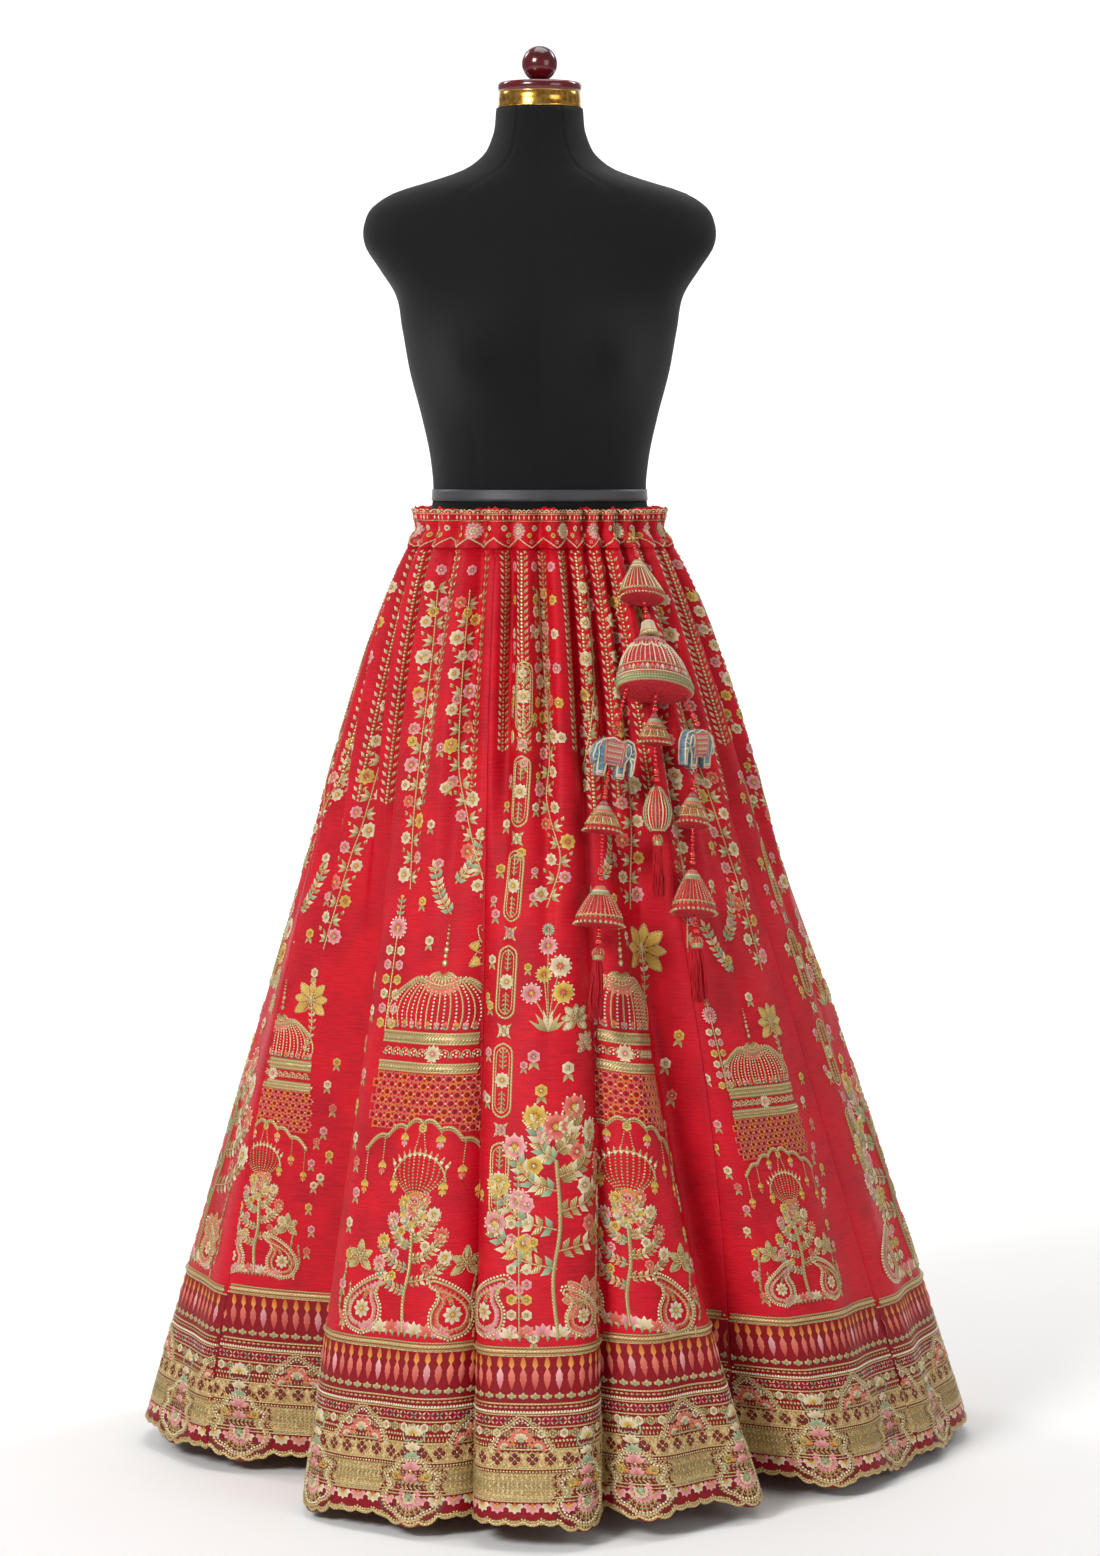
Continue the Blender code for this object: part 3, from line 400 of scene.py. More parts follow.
def skirt_point(columns, share):
    """The skirt's outer surface as x, y and z."""
    columns, share = np.broadcast_arrays(np.asarray(columns, float), np.asarray(share, float))
    angle = seam_angle(columns, share)
    hem = hem_radius(angle)
    spread = share**SPREAD_POWER
    gather = gather_depth(share)
    top = BAND_CLEARANCE + WALL + GATHER_DEPTH + 0.004
    wide = form_half(KALI_TOP_Z, "half_width") + top
    deep = form_half(KALI_TOP_Z, "front") + top
    depth, turn = fold_shift(angle, share)
    uneven = 1 + 0.25 * np.sin(columns * 0.37) + 0.15 * np.sin(columns * 0.91 + 1.0)
    wave = gather * uneven * gather_wave(columns) - depth - crease_depth(columns, share)
    bearing = np.radians(angle + turn)
    x = (wide + (hem - wide) * spread + wave) * np.sin(bearing)
    y = -(deep + (hem - deep) * spread + wave) * np.cos(bearing)
    lift = 0.006 * (1 + np.sin(np.radians(3 * angle + 40.0)))
    z = KALI_TOP_Z - (KALI_TOP_Z - HEM_Z - lift) * share
    return np.stack([x, y, z], axis=-1)


def outward(columns, share):
    """Unit normals of the skirt's surface, pointing out, and level at the top seam."""
    across = skirt_point(columns + 0.12, share) - skirt_point(columns - 0.12, share)
    low, high = np.clip(share - 0.004, 0, None), np.clip(share + 0.004, 0, None)
    down = skirt_point(columns, high) - skirt_point(columns, low)
    normal = np.cross(across, -down)
    normal[..., 2] *= np.asarray(share) > 0
    return normal / np.linalg.norm(normal, axis=-1, keepdims=True)


print("hem at the front:", skirt_point(5.0, 1.0).round(3))

# %% [markdown]
# ## Measuring along the cloth
# An embroiderer works on flat cloth, in centimetres from the middle of the kali and up from its
# hem. So each kali gets tables that turn those two lengths into a column and a share. Motifs
# drawn flat then keep their real size on the folded cloth.

# %% Kali tables
LEVELS = 160
PLACES = 120


def kali_tables(number):
    """The tables of one kali, numbered from the front centre to the viewer's right."""
    shares = np.linspace(0.0, 1.0, LEVELS)
    columns = number * COLUMNS_PER_KALI + np.linspace(0.0, COLUMNS_PER_KALI, PLACES + 1)
    points = skirt_point(columns[None, :], shares[:, None])
    steps = np.linalg.norm(np.diff(points, axis=1), axis=2)
    along = np.concatenate([np.zeros((LEVELS, 1)), np.cumsum(steps, axis=1)], axis=1)
    parts = np.linspace(0.0, 1.0, PLACES + 1)
    table = np.array([np.interp(parts * row[-1], row, columns) for row in along])
    middle = skirt_point(table[:, PLACES // 2], shares)
    drops = np.linalg.norm(np.diff(middle, axis=0), axis=1)
    down = np.concatenate([[0.0], np.cumsum(drops)])
    return {"number": number, "table": table, "widths": along[:, -1], "down": down, "length": down[-1]}


def on_kali(kali, across, up):
    """Column and share of points given in metres from the kali's middle and above its hem."""
    down = kali["length"] - np.asarray(up, float)
    level = np.interp(down, kali["down"], np.arange(LEVELS))
    step = kali["down"][-1] - kali["down"][-2]
    level = level + np.clip(down - kali["length"], 0, None) / step
    width = np.interp(level, np.arange(LEVELS), kali["widths"])
    place = np.clip(across / width + 0.5, 0, 1) * PLACES
    row = np.clip(np.floor(level), 0, LEVELS - 2).astype(int)
    cell = np.clip(np.floor(place), 0, PLACES - 1).astype(int)
    lower, beside = np.clip(level - row, 0, 1), place - cell
    table = kali["table"]
    upper_row = table[row, cell] * (1 - beside) + table[row, cell + 1] * beside
    lower_row = table[row + 1, cell] * (1 - beside) + table[row + 1, cell + 1] * beside
    return upper_row * (1 - lower) + lower_row * lower, level / (LEVELS - 1)


def width_at(kali, up):
    return float(np.interp(kali["length"] - up, kali["down"], kali["widths"]))


KALIS = [kali_tables(number) for number in range(len(SEAMS))]
print("kali lengths:", [round(kali["length"], 3) for kali in KALIS])
print("kali hems:", [round(float(kali["widths"][-1]), 3) for kali in KALIS])

# %% [markdown]
# ## Raw silk
# The kalis are cut from a red art silk with slubs, thick places in the weft that run across the
# cloth as short darker and lighter streaks. The yarn is 0.3 mm, too fine for the picture, so
# the weave is drawn at 1.4 mm. Low on the kali, bands of khaki-gold bead filling cover the
# silk: they are dyed and bumped by the height above the hem, which the cloth's UV map holds.

# %% Silk with its worked bands
SILK_RED = "#CE0720"
SILK_DARK = "#9E0418"
SILK_LIGHT = "#E40F2C"
GROUND_RED = "#8A0515"
KHAKI_GOLD = "#BE9C60"
BAND_REACH = 0.20
# Bands from the hem up: where each starts in metres, its ground colour, 1 if it is bead filling
HEM_BANDS = (
    (0.000, KHAKI_GOLD, 1), (0.0055, GROUND_RED, 0), (0.0270, "#93A283", 1), (0.0300, KHAKI_GOLD, 1),
    (0.0560, GROUND_RED, 0), (0.0600, "#B4935A", 1), (0.0820, GROUND_RED, 0), (0.1190, KHAKI_GOLD, 1),
    (0.1210, GROUND_RED, 0), (0.1800, KHAKI_GOLD, 1), (0.1820, SILK_RED, 0),
)


def thread_weave(tree, place, pitch):
    """Two crossed sets of threads as one height, with the pitch in metres."""
    turned = add(tree, "Mapping", {"Vector": place, "Scale": (1 / pitch, 1 / pitch, 1 / pitch)}).outputs[0]
    warp = add(tree, "TexWave", {"Vector": turned, "Scale": 0.314, "Distortion": 0.4}, bands_direction="X")
    weft = add(tree, "TexWave", {"Vector": turned, "Scale": 0.314, "Distortion": 0.4}, bands_direction="Y")
    return add(tree, "Math", {0: warp.outputs["Fac"], 1: weft.outputs["Fac"]},
               operation="MULTIPLY").outputs[0]


def silk_slubs(tree, place):
    """Streaks across the cloth, 25 mm long and about 1.5 mm high."""
    stretched = add(tree, "Mapping", {"Vector": place, "Scale": (40.0, 650.0, 1.0)}).outputs[0]
    return add(tree, "TexNoise", {"Vector": stretched, "Scale": 1.0, "Detail": 3.0}).outputs[0]


def silk_material():
    made, tree, shader = new_material(
        "red_slub_silk",
        {"Roughness": 0.42, "Sheen Weight": 0.04, "Sheen Roughness": 0.4, "Specular IOR Level": 0.22},
    )
    shader.inputs["Sheen Tint"].default_value = linear("#FF6A6A")
    place = add(tree, "UVMap", uv_map="cloth").outputs["UV"]
    up = add(tree, "SeparateXYZ", {0: place}).outputs["Y"]
    slubs = silk_slubs(tree, place)
    cloudy = add(tree, "TexNoise", {"Vector": place, "Scale": 14.0, "Detail": 2.0}).outputs[0]
    slub_red = ramp(tree, slubs, ((0.30, SILK_DARK), (0.50, SILK_RED), (0.72, SILK_LIGHT)))
    red = mix_colours(tree, 0.5, slub_red, ramp(tree, cloudy, ((0.35, SILK_DARK), (0.6, SILK_RED))))
    reach = add(tree, "Math", {0: up, 1: BAND_REACH}, operation="DIVIDE").outputs[0]
    grounds = ramp(tree, reach, [(low / BAND_REACH, dye) for low, dye, _ in HEM_BANDS], "CONSTANT")
    beaded = ramp(tree, reach, [(low / BAND_REACH, bead) for low, _, bead in HEM_BANDS], "CONSTANT")
    cells = add(tree, "TexVoronoi", {"Vector": place, "Scale": 480.0})
    glint = ramp(tree, cells.outputs["Color"], ((0.1, "#8E6E3C"), (0.5, "#C8A86E"), (0.9, "#F2DEAE")))
    worked = mix_colours(tree, beaded, grounds, mix_colours(tree, 0.7, grounds, glint))
    in_bands = add(tree, "Math", {0: reach, 1: 0.91}, operation="LESS_THAN").outputs[0]
    tree.links.new(mix_colours(tree, in_bands, red, worked), shader.inputs["Base Color"])
    weave = thread_weave(tree, place, 0.0014)
    rounded = add(tree, "Math", {0: 1.0, 1: cells.outputs["Distance"]}, operation="SUBTRACT").outputs[0]
    cloth_height = add(tree, "Math", {0: weave, 1: slubs}, operation="ADD").outputs[0]
    low_bands = add(tree, "Math", {0: in_bands, 1: beaded}, operation="MULTIPLY").outputs[0]
    height = mix_colours(tree, low_bands, cloth_height, rounded)
    bumped(tree, shader, height, 0.0006, 0.55)
    return made


SILK = silk_material()
print("silk nodes:", len(SILK.node_tree.nodes))

# %% [markdown]
# ## Kalis
# A kali hangs as a thin sheet in broad folds. The folds come from the tables, so each sheet is
# a grid of points on that surface, closer together than the solid's, and Solidify gives it the
# cloth's thickness. Its hem is cut in small scallops, with a longer lobe under each cartouche.
# The UV map keeps the flat pattern in metres.

# %% Cloth of the kalis
CLOTH = 0.0011
SCALLOP_PITCH = 0.0200
SCALLOP_RISE = 0.0040
LOBE_HALF = 0.0330
LOBE_DROP = 0.0085
# Places of the cartouches along each kali's hem, in metres from its middle
CARTOUCHES = (
    (0.052,), (-0.113, 0.027), (-0.043, 0.097), (-0.074, 0.074), (-0.074, 0.074), (-0.074, 0.074),
    (-0.074, 0.074), (-0.074, 0.074), (-0.074, 0.074), (-0.074, 0.074), (-0.081, 0.059), (-0.053, 0.087),
)


def hem_edge(number, across):
    """Height of the cut edge above the hem line: scallops, and lobes under the cartouches."""
    part = (across / SCALLOP_PITCH) % 1.0 * 2 - 1
    edge = SCALLOP_RISE * np.abs(part) ** 2.2
    for middle in CARTOUCHES[number]:
        reach = np.clip(np.abs(across - middle) / LOBE_HALF, 0, 1)
        edge = edge - LOBE_DROP * np.sqrt(1 - reach**2)
    return edge


def sheet_mesh(name, points, flat, closed_round=False):
    """A grid of points as a mesh, with its flat places in metres as the UV map named cloth."""
    rows, places = points.shape[:2]
    index = np.arange(rows * places).reshape(rows, places)
    if closed_round:
        index = np.concatenate([index, index[:, :1]], axis=1)
        flat = np.concatenate([flat, flat[:, :1] + [[[flat[0, -1, 0] - flat[0, 0, 0] + flat[0, 1, 0], 0]]]],
                              axis=1)
    quads = np.stack([index[:-1, :-1], index[1:, :-1], index[1:, 1:], index[:-1, 1:]], axis=-1)
    cells = np.arange(index.size).reshape(index.shape)
    corners = np.stack([cells[:-1, :-1], cells[1:, :-1], cells[1:, 1:], cells[:-1, 1:]], axis=-1)
    mesh = bpy.data.meshes.new(name)
    mesh.from_pydata(points.reshape(-1, 3), [], quads.reshape(-1, 4))
    uv = mesh.uv_layers.new(name="cloth")
    uv.data.foreach_set("uv", flat.reshape(-1, 2)[corners.reshape(-1)].reshape(-1))
    mesh.shade_smooth()
    return mesh


def placed_object(name, mesh, *materials):
    made = bpy.data.objects.new(name, mesh)
    bpy.context.scene.collection.objects.link(made)
    for material in materials:
        mesh.materials.append(material)
    return made


def finish_modifiers(made):
    """Applies every modifier of an object with the operator."""
    bpy.ops.object.select_all(action="DESELECT")
    made.select_set(True)
    bpy.context.view_layer.objects.active = made
    for modifier in list(made.modifiers):
        bpy.ops.object.modifier_apply(modifier=modifier.name)


def thicken(made, thickness):
    """Gives a sheet its thickness on the side that faces the form."""
    wall = made.modifiers.new("cloth", "SOLIDIFY")
    wall.thickness = thickness
    wall.offset = -1.0
    finish_modifiers(made)


def kali_cloth(kali):
    """The sheet of one kali, drawn in a little at its two seams."""
    number, length = kali["number"], kali["length"]
    parts = np.concatenate([[0, 0.004, 0.012], np.linspace(0.03, 0.97, 44), [0.988, 0.996, 1]]) - 0.5
    ups = np.concatenate([np.linspace(length, 0.16, 60), np.linspace(0.148, 0.012, 22), [0.008, 0.004, 0.0]])
    widths = np.interp(length - ups, kali["down"], kali["widths"])
    across = parts[None, :] * widths[:, None]
    up = ups[:, None] + hem_edge(number, across) * np.exp(-np.maximum(ups, 0) / 0.006)[:, None]
    columns, share = on_kali(kali, across, up)
    points = skirt_point(columns, share)
    seam = np.exp(-(((0.5 - np.abs(parts)) * widths[:, None] / 0.0025) ** 2)) * 0.0007
    points -= outward(columns, share) * seam[..., None]
    for end, beside in ((0, 1), (-1, -2)):
        toward = points[:, beside] - points[:, end]
        points[:, end] += toward / np.linalg.norm(toward, axis=-1, keepdims=True) * SEAM_GAP / 2
    name = SEAMS[number][0]
    made = placed_object(f"cloth_{name}", sheet_mesh(f"cloth_{name}", points, np.stack([across, up], -1)),
                         SILK)
    thicken(made, CLOTH)
    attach(made, "root")
    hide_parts(f"kali_{name}")
    return made


for kali in KALIS:
    made = kali_cloth(kali)
print("cloth of a kali:", len(made.data.polygons), "faces")

# %% [markdown]
# ## Threads, cord, pearls and beads
# The work on a lehenga is zardozi: satin stitches of floss, twisted gold cord, pearls and cut
# beads. Each material reads the dye of its piece from an attribute, so one floss serves every
# shade, and each draws its own structure: strands in the floss, a twist in the cord, cells of
# beads. The low places of that structure, between strands, twists and beads, are painted darker
# as shade. Strands of 0.4 mm are drawn at 0.9 mm, which is the finest that the picture can show.


# %% Embroidery materials
def dyed_material(name, shader_values, pattern, distance, darkest_groove_shade):
    """A material whose colour is the piece's dye, bumped by a pattern's height and painted darker as shade in
    its low places.
    """
    made, tree, shader = new_material(name, shader_values)
    dye = add(tree, "Attribute", attribute_name="dye").outputs["Color"]
    stitch = add(tree, "UVMap", uv_map="cloth").outputs["UV"]
    height = pattern(tree, stitch)
    # The pattern's low places, between strands, twists and beads, are painted darker as shade.
    shade = ramp(tree, height, ((0.1, darkest_groove_shade), (0.7, 1.0)))
    tree.links.new(mix_colours(tree, 1.0, dye, shade, "MULTIPLY"), shader.inputs["Base Color"])
    bumped(tree, shader, height, distance, 0.7)
    return made


def strands(tree, place):
    scaled = add(tree, "Mapping", {"Vector": place, "Scale": (1100.0, 60.0, 1.0)}).outputs[0]
    return add(tree, "TexWave", {"Vector": scaled, "Scale": 0.314, "Distortion": 1.5}).outputs["Fac"]


def twist(tree, place):
    scaled = add(tree, "Mapping", {"Vector": place, "Scale": (420.0, 420.0, 1.0)}).outputs[0]
    return add(tree, "TexWave", {"Vector": scaled, "Scale": 0.4}, bands_direction="DIAGONAL").outputs["Fac"]


def cells(tree, place):
    spots = add(tree, "TexVoronoi", {"Vector": place, "Scale": 620.0}).outputs["Distance"]
    return add(tree, "Math", {0: 1.0, 1: spots}, operation="SUBTRACT").outputs[0]


# The last number of each finish is how dark the painted shade in its grooves goes.
FINISHES = (
    dyed_material("silk_floss", {"Roughness": 0.42, "Specular IOR Level": 0.35}, strands, 0.0003, 0.74),
    dyed_material("twisted_zari_cord", {"Roughness": 0.34, "Metallic": 0.30}, twist, 0.0004, 0.58),
    dyed_material("glass_pearl", {"Roughness": 0.16, "Coat Weight": 0.4}, cells, 0.0001, 0.85),
    dyed_material("cut_gold_bead", {"Roughness": 0.22, "Metallic": 0.35}, cells, 0.0003, 0.66),
)
FLOSS, ZARI, PEARL, CUT_BEAD = range(4)
# Each dye: root colour, tip colour and finish. Beads and cords take the tip colour on their
# raised top and middle ridge, as a painted highlight.
DYES = {
    "gold": ("#9A7638", "#EBCF90", ZARI),
    "khaki": ("#8A7240", "#CDB47A", ZARI),
    "bead": ("#A8854A", "#F3DFAC", CUT_BEAD),
    "pearl": ("#D8C79F", "#FCF4DE", PEARL),
    "pink": ("#D05A6A", "#F8BFBA", FLOSS),
    "coral": ("#C93F36", "#F28B74", FLOSS),
    "orange": ("#CF5A1E", "#F6A84E", FLOSS),
    "yellow": ("#B98A26", "#F4D064", FLOSS),
    "cream": ("#C9AB74", "#F8EBCB", FLOSS),
    "mint": ("#6E8C6A", "#BCCDAA", FLOSS),
    "sage": ("#8C7A42", "#DCCB92", FLOSS),
    "blue": ("#4C6676", "#94AAB6", FLOSS),
    "maroon": ("#5E050C", "#900C16", FLOSS),
    "crimson": ("#C0061A", "#F0182E", FLOSS),
}
DYE_NAMES = list(DYES)
print("dyes:", ", ".join(DYE_NAMES))

# %% [markdown]
# ## One petal, one leaf, one bead
# Thousands of petals and beads share three shapes, so each is modelled once: a cone without a
# base, whose rim is drawn out into the outline seen from above. Its apex becomes the raised
# middle of the stitch. Six or four faces are enough at this size.

# %% Base shapes
OUTLINES = {
    "petal": ((0.0, 0.0), (0.34, 0.28), (0.50, 0.66), (0.0, 1.0), (-0.50, 0.66), (-0.34, 0.28)),
    "leaf": ((0.0, 0.0), (0.50, 0.42), (0.0, 1.0), (-0.50, 0.42)),
    "bead": ((0.5, 0.0), (0.25, 0.433), (-0.25, 0.433), (-0.5, 0.0), (-0.25, -0.433), (0.25, -0.433)),
}
RIDGES = {"petal": 0.58, "leaf": 0.42, "bead": 0.0}


def base_shape(kind):
    """Corners and triangles of one stitch, modelled from a cone."""
    outline = OUTLINES[kind]
    bpy.ops.object.select_all(action="DESELECT")
    bpy.ops.mesh.primitive_cone_add(
        vertices=len(outline), radius1=0.5, radius2=0.0, depth=1.0, end_fill_type="NOTHING"
    )
    cone = bpy.context.object
    rim = sorted((v for v in cone.data.vertices if v.co.z < 0), key=lambda v: math.atan2(v.co.y, v.co.x))
    start = sorted(outline, key=lambda p: math.atan2(p[1] - RIDGES[kind] + 1e-6, p[0]))
    for vertex, (x, y) in zip(rim, start):
        vertex.co = (x, y, 0.0)
    for vertex in cone.data.vertices:
        if vertex.co.z > 0:
            vertex.co = (0.0, RIDGES[kind], 1.0)
    corners = np.array([vertex.co[:] for vertex in cone.data.vertices])
    faces = np.array([face.vertices[:] for face in cone.data.polygons])
    bpy.data.objects.remove(cone)
    sides = np.cross(corners[faces[:, 1]] - corners[faces[:, 0]], corners[faces[:, 2]] - corners[faces[:, 0]])
    faces[sides[:, 2] < 0] = faces[sides[:, 2] < 0][:, ::-1]
    return corners, faces


SHAPES = {kind: base_shape(kind) for kind in OUTLINES}
print({kind: len(shape[1]) for kind, shape in SHAPES.items()}, "faces")

# %% [markdown]
# ## Drawing on flat cloth
# A pattern is a list of stitches and cords drawn flat, in metres, with y up the cloth. Patterns
# are put into larger ones, moved, turned, mirrored and scaled, as an embroiderer's tracing
# would be. Only the finished pattern is laid on the folded cloth.


# %% Patterns
class Pattern:
    """Stitches and cords drawn flat, in metres, with y up the cloth."""

    def __init__(self):
        self.stitches = {kind: [] for kind in SHAPES}
        self.cords = []

    def stitch(self, kind, x, y, length, width, dye, turn=0.0, rise=0.0012):
        """Stitches at one or more places; a turn is in degrees, to the right of up."""
        parts = np.broadcast_arrays(x, y, turn, length, width, rise, float(DYE_NAMES.index(dye)))
        self.stitches[kind].append(np.stack([np.ravel(part).astype(float) for part in parts], axis=1))

    def cord(self, points, width, dye, rise=0.0011):
        self.cords.append((np.array(points, float), width, rise, DYE_NAMES.index(dye)))

    def beads(self, points, pitch, size, dye, rise=0.0014):
        """Beads threaded along a line, a pitch apart."""
        points = np.array(points, float)
        along = np.concatenate([[0], np.cumsum(np.linalg.norm(np.diff(points, axis=0), axis=1))])
        places = np.linspace(0, along[-1], max(2, round(along[-1] / pitch) + 1))
        x, y = (np.interp(places, along, points[:, axis]) for axis in (0, 1))
        self.stitch("bead", x, y, size, size, dye, 0.0, rise)

    def ring(self, kind, x, y, reach, count, length, width, dye, start=0.0, sweep=360.0, rise=0.0013):
        """Stitches pointing outwards from a centre, over a sweep that starts at a turn."""
        closed = sweep >= 360.0
        turns = start + np.arange(count) * sweep / (count if closed else max(1, count - 1))
        angles = np.radians(turns)
        self.stitch(kind, x + reach * np.sin(angles), y + reach * np.cos(angles), length, width, dye, turns,
                    rise)

    def put(self, other, x=0.0, y=0.0, scale=1.0, turn=0.0, flip=False):
        """Another pattern at a place in this one."""
        side = -1.0 if flip else 1.0
        angle = math.radians(turn)
        cos, sin = math.cos(angle) * scale, math.sin(angle) * scale
        for kind, groups in other.stitches.items():
            for rows in groups:
                rows = rows.copy()
                across, up = rows[:, 0] * side, rows[:, 1].copy()
                rows[:, 0] = x + across * cos + up * sin
                rows[:, 1] = y - across * sin + up * cos
                rows[:, 2] = rows[:, 2] * side + turn
                rows[:, 3:5] *= scale
                self.stitches[kind].append(rows)
        for points, width, rise, dye in other.cords:
            across, up = points[:, 0] * side, points[:, 1]
            moved = np.stack([x + across * cos + up * sin, y - across * sin + up * cos], axis=1)
            self.cords.append((moved, width, rise, dye))


def curve(points, steps=6):
    """A smooth line through points."""
    points = np.array(points, float)
    padded = np.concatenate([2 * points[:1] - points[1:2], points, 2 * points[-1:] - points[-2:-1]])
    share = np.linspace(0, 1, steps, endpoint=False)[:, None]
    made = []
    for before, start, end, after in zip(padded, padded[1:], padded[2:], padded[3:]):
        made.append(0.5 * (2 * start + (end - before) * share
                           + (2 * before - 5 * start + 4 * end - after) * share**2
                           + (3 * start - before - 3 * end + after) * share**3))
    return np.concatenate(made + [points[-1:]])


def arc(x, y, wide, high, start, end, steps=10):
    """Part of an ellipse round a centre, between two turns in degrees from straight up."""
    turns = np.radians(np.linspace(start, end, steps))
    return np.stack([x + wide * np.sin(turns), y + high * np.cos(turns)], axis=1)


print("a smooth line has", len(curve([(0, 0), (1, 1), (2, 0)])), "points")

# %% [markdown]
# ## Laying a pattern on a surface
# The stitches and cords become one mesh. Each corner has a place across, a place up and a height
# above the cloth, and a function of the surface turns the three into a point. The corner's dye
# goes from the root's colour to the tip's, with a small seeded change from piece to piece. On a
# bead the tip's colour sits on its raised top, and on a cord on its middle ridge, as a painted highlight.

# %% Laying
DYE_TABLE = np.array([[linear(root), linear(tip)] for root, tip, _ in DYES.values()])
DYE_FINISH = np.array([finish for _, _, finish in DYES.values()])
rng = np.random.default_rng(7)


def stitch_arrays(kind, rows):
    """Flat corners, faces, dyes, UVs and finishes of all stitches of one kind."""
    corners, faces = SHAPES[kind]
    x, y, turn, length, width, rise, dye = rows.T
    angle = np.radians(turn)[:, None]
    across = corners[None, :, 0] * width[:, None]
    up = corners[None, :, 1] * length[:, None]
    flat_x = x[:, None] + across * np.cos(angle) + up * np.sin(angle)
    flat_y = y[:, None] - across * np.sin(angle) + up * np.cos(angle)
    height = 0.0003 + corners[None, :, 2] * rise[:, None]
    flat = np.stack([flat_x, flat_y, height], axis=-1).reshape(-1, 3)
    # Petals and leaves go from root to tip; a bead goes by its height, so its raised top gets a painted
    # highlight.
    tip = np.clip(corners[:, 1] if kind != "bead" else corners[:, 2], 0, 1)[None, :, None]
    pair = DYE_TABLE[dye.astype(int)][:, None]
    shade = 1 + rng.uniform(-0.12, 0.12, (len(rows), 1, 1))
    dyes = (pair[:, :, 0] * (1 - tip) + pair[:, :, 1] * tip) * shade
    numbered = faces[None] + (np.arange(len(rows)) * len(corners))[:, None, None]
    uv = np.stack([across, up], axis=-1).reshape(-1, 2)
    finishes = np.repeat(DYE_FINISH[dye.astype(int)], len(faces))
    return flat, numbered.reshape(-1, 3), dyes.reshape(-1, 4), uv, finishes


def cord_arrays(points, width, rise, dye, longest=0.007):
    """A cord as a ribbon with a raised middle, cut short enough to follow the folds."""
    steps = np.linalg.norm(np.diff(points, axis=0), axis=1)
    along = np.concatenate([[0], np.cumsum(steps)])
    wanted = [np.linspace(low, high, max(1, math.ceil((high - low) / longest)), endpoint=False)
              for low, high in zip(along, along[1:])]
    places = np.concatenate(wanted + [along[-1:]])
    line = np.stack([np.interp(places, along, points[:, axis]) for axis in (0, 1)], axis=1)
    ahead = np.gradient(line, axis=0)
    ahead /= np.maximum(np.linalg.norm(ahead, axis=1, keepdims=True), 1e-9)
    side = np.stack([ahead[:, 1], -ahead[:, 0]], axis=1) * width / 2
    flat = np.stack([
        np.column_stack([line - side, np.full(len(line), 0.0002)]),
        np.column_stack([line, np.full(len(line), 0.0002 + rise)]),
        np.column_stack([line + side, np.full(len(line), 0.0002)]),
    ], axis=1).reshape(-1, 3)
    first = np.arange(len(line) - 1)[:, None] * 3
    quads = [first + np.array([[0, 1, 4]]), first + np.array([[0, 4, 3]]),
             first + np.array([[1, 2, 5]]), first + np.array([[1, 5, 4]])]
    uv = np.stack([np.tile([-width / 2, 0, width / 2], len(line)), np.repeat(places, 3)], axis=1)
    pair = DYE_TABLE[dye]
    # The cord's middle ridge is painted lighter than its edges, as a highlight.
    tip = np.tile([0.25, 0.9, 0.25], len(line))[:, None]
    faces = np.concatenate(quads)
    return flat, faces, pair[0] * (1 - tip) + pair[1] * tip, uv, np.full(len(faces), DYE_FINISH[dye])


def pattern_arrays(pattern):
    parts = [
        stitch_arrays(kind, np.concatenate(groups)) for kind, groups in pattern.stitches.items() if groups
    ]
    parts += [cord_arrays(*cord) for cord in pattern.cords]
    starts = np.cumsum([0] + [len(part[0]) for part in parts[:-1]])
    faces = np.concatenate([part[1] + start for part, start in zip(parts, starts)])
    flat, dyes, uv, finish = (np.concatenate([part[place] for part in parts]) for place in (0, 2, 3, 4))
    return flat, faces, dyes, uv, finish


def lay(name, pattern, surface, keep=None):
    """The pattern as one object on a surface, less the faces that keep leaves out."""
    flat, faces, dyes, uv, finish = pattern_arrays(pattern)
    if keep is not None:
        kept = keep(flat)[faces].all(axis=1)
        faces, finish = faces[kept], finish[kept]
        used, faces = np.unique(faces, return_inverse=True)
        faces = faces.reshape(-1, 3)
        flat, dyes, uv = flat[used], dyes[used], uv[used]
    mesh = bpy.data.meshes.new(name)
    mesh.from_pydata(surface(flat), [], faces)
    mesh.uv_layers.new(name="cloth").data.foreach_set("uv", uv[faces.reshape(-1)].reshape(-1))
    mesh.attributes.new("dye", "FLOAT_COLOR", "POINT").data.foreach_set("color", dyes.reshape(-1))
    made = placed_object(name, mesh, *FINISHES)
    mesh.polygons.foreach_set("material_index", finish.astype(np.int32))
    mesh.shade_smooth()
    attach(made, "root")
    return made


def kali_surface(kali):
    """The function that lays flat corners on a kali."""
    def surface(flat):
        columns, share = on_kali(kali, flat[:, 0], flat[:, 1])
        return skirt_point(columns, share) + outward(columns, share) * flat[:, 2:]
    return surface


def inside_kali(kali, margin=0.001):
    """The test that keeps a face clear of the kali's seams."""
    def keep(flat):
        widths = np.interp(kali["length"] - flat[:, 1], kali["down"], kali["widths"])
        return (np.abs(flat[:, 0]) < widths / 2 - margin) & (flat[:, 1] < kali["length"] - 0.002)
    return keep


print("dyes in the table:", DYE_TABLE.shape[0])

# %% [markdown]
# ## Flowers and leaves
# The vines are made of a few flowers. Each has a ring of satin petals round a cut bead, and the
# larger ones have a ring of pearls. Sprigs and sprays set leaves in pairs along a stem of cord.


# %% Flowers and leaves
def flower(radius, petals=8, dye="pink", heart="yellow", pearls=0):
    made = Pattern()
    made.ring("petal", 0, 0, radius * 0.22, petals, radius * 0.78, radius * 5.4 / petals, dye)
    made.stitch("bead", 0, 0, radius * 0.56, radius * 0.56, heart, rise=0.0018)
    if pearls:
        made.ring("bead", 0, 0, radius * 0.98, pearls, radius * 0.2, radius * 0.2, "pearl")
    return made


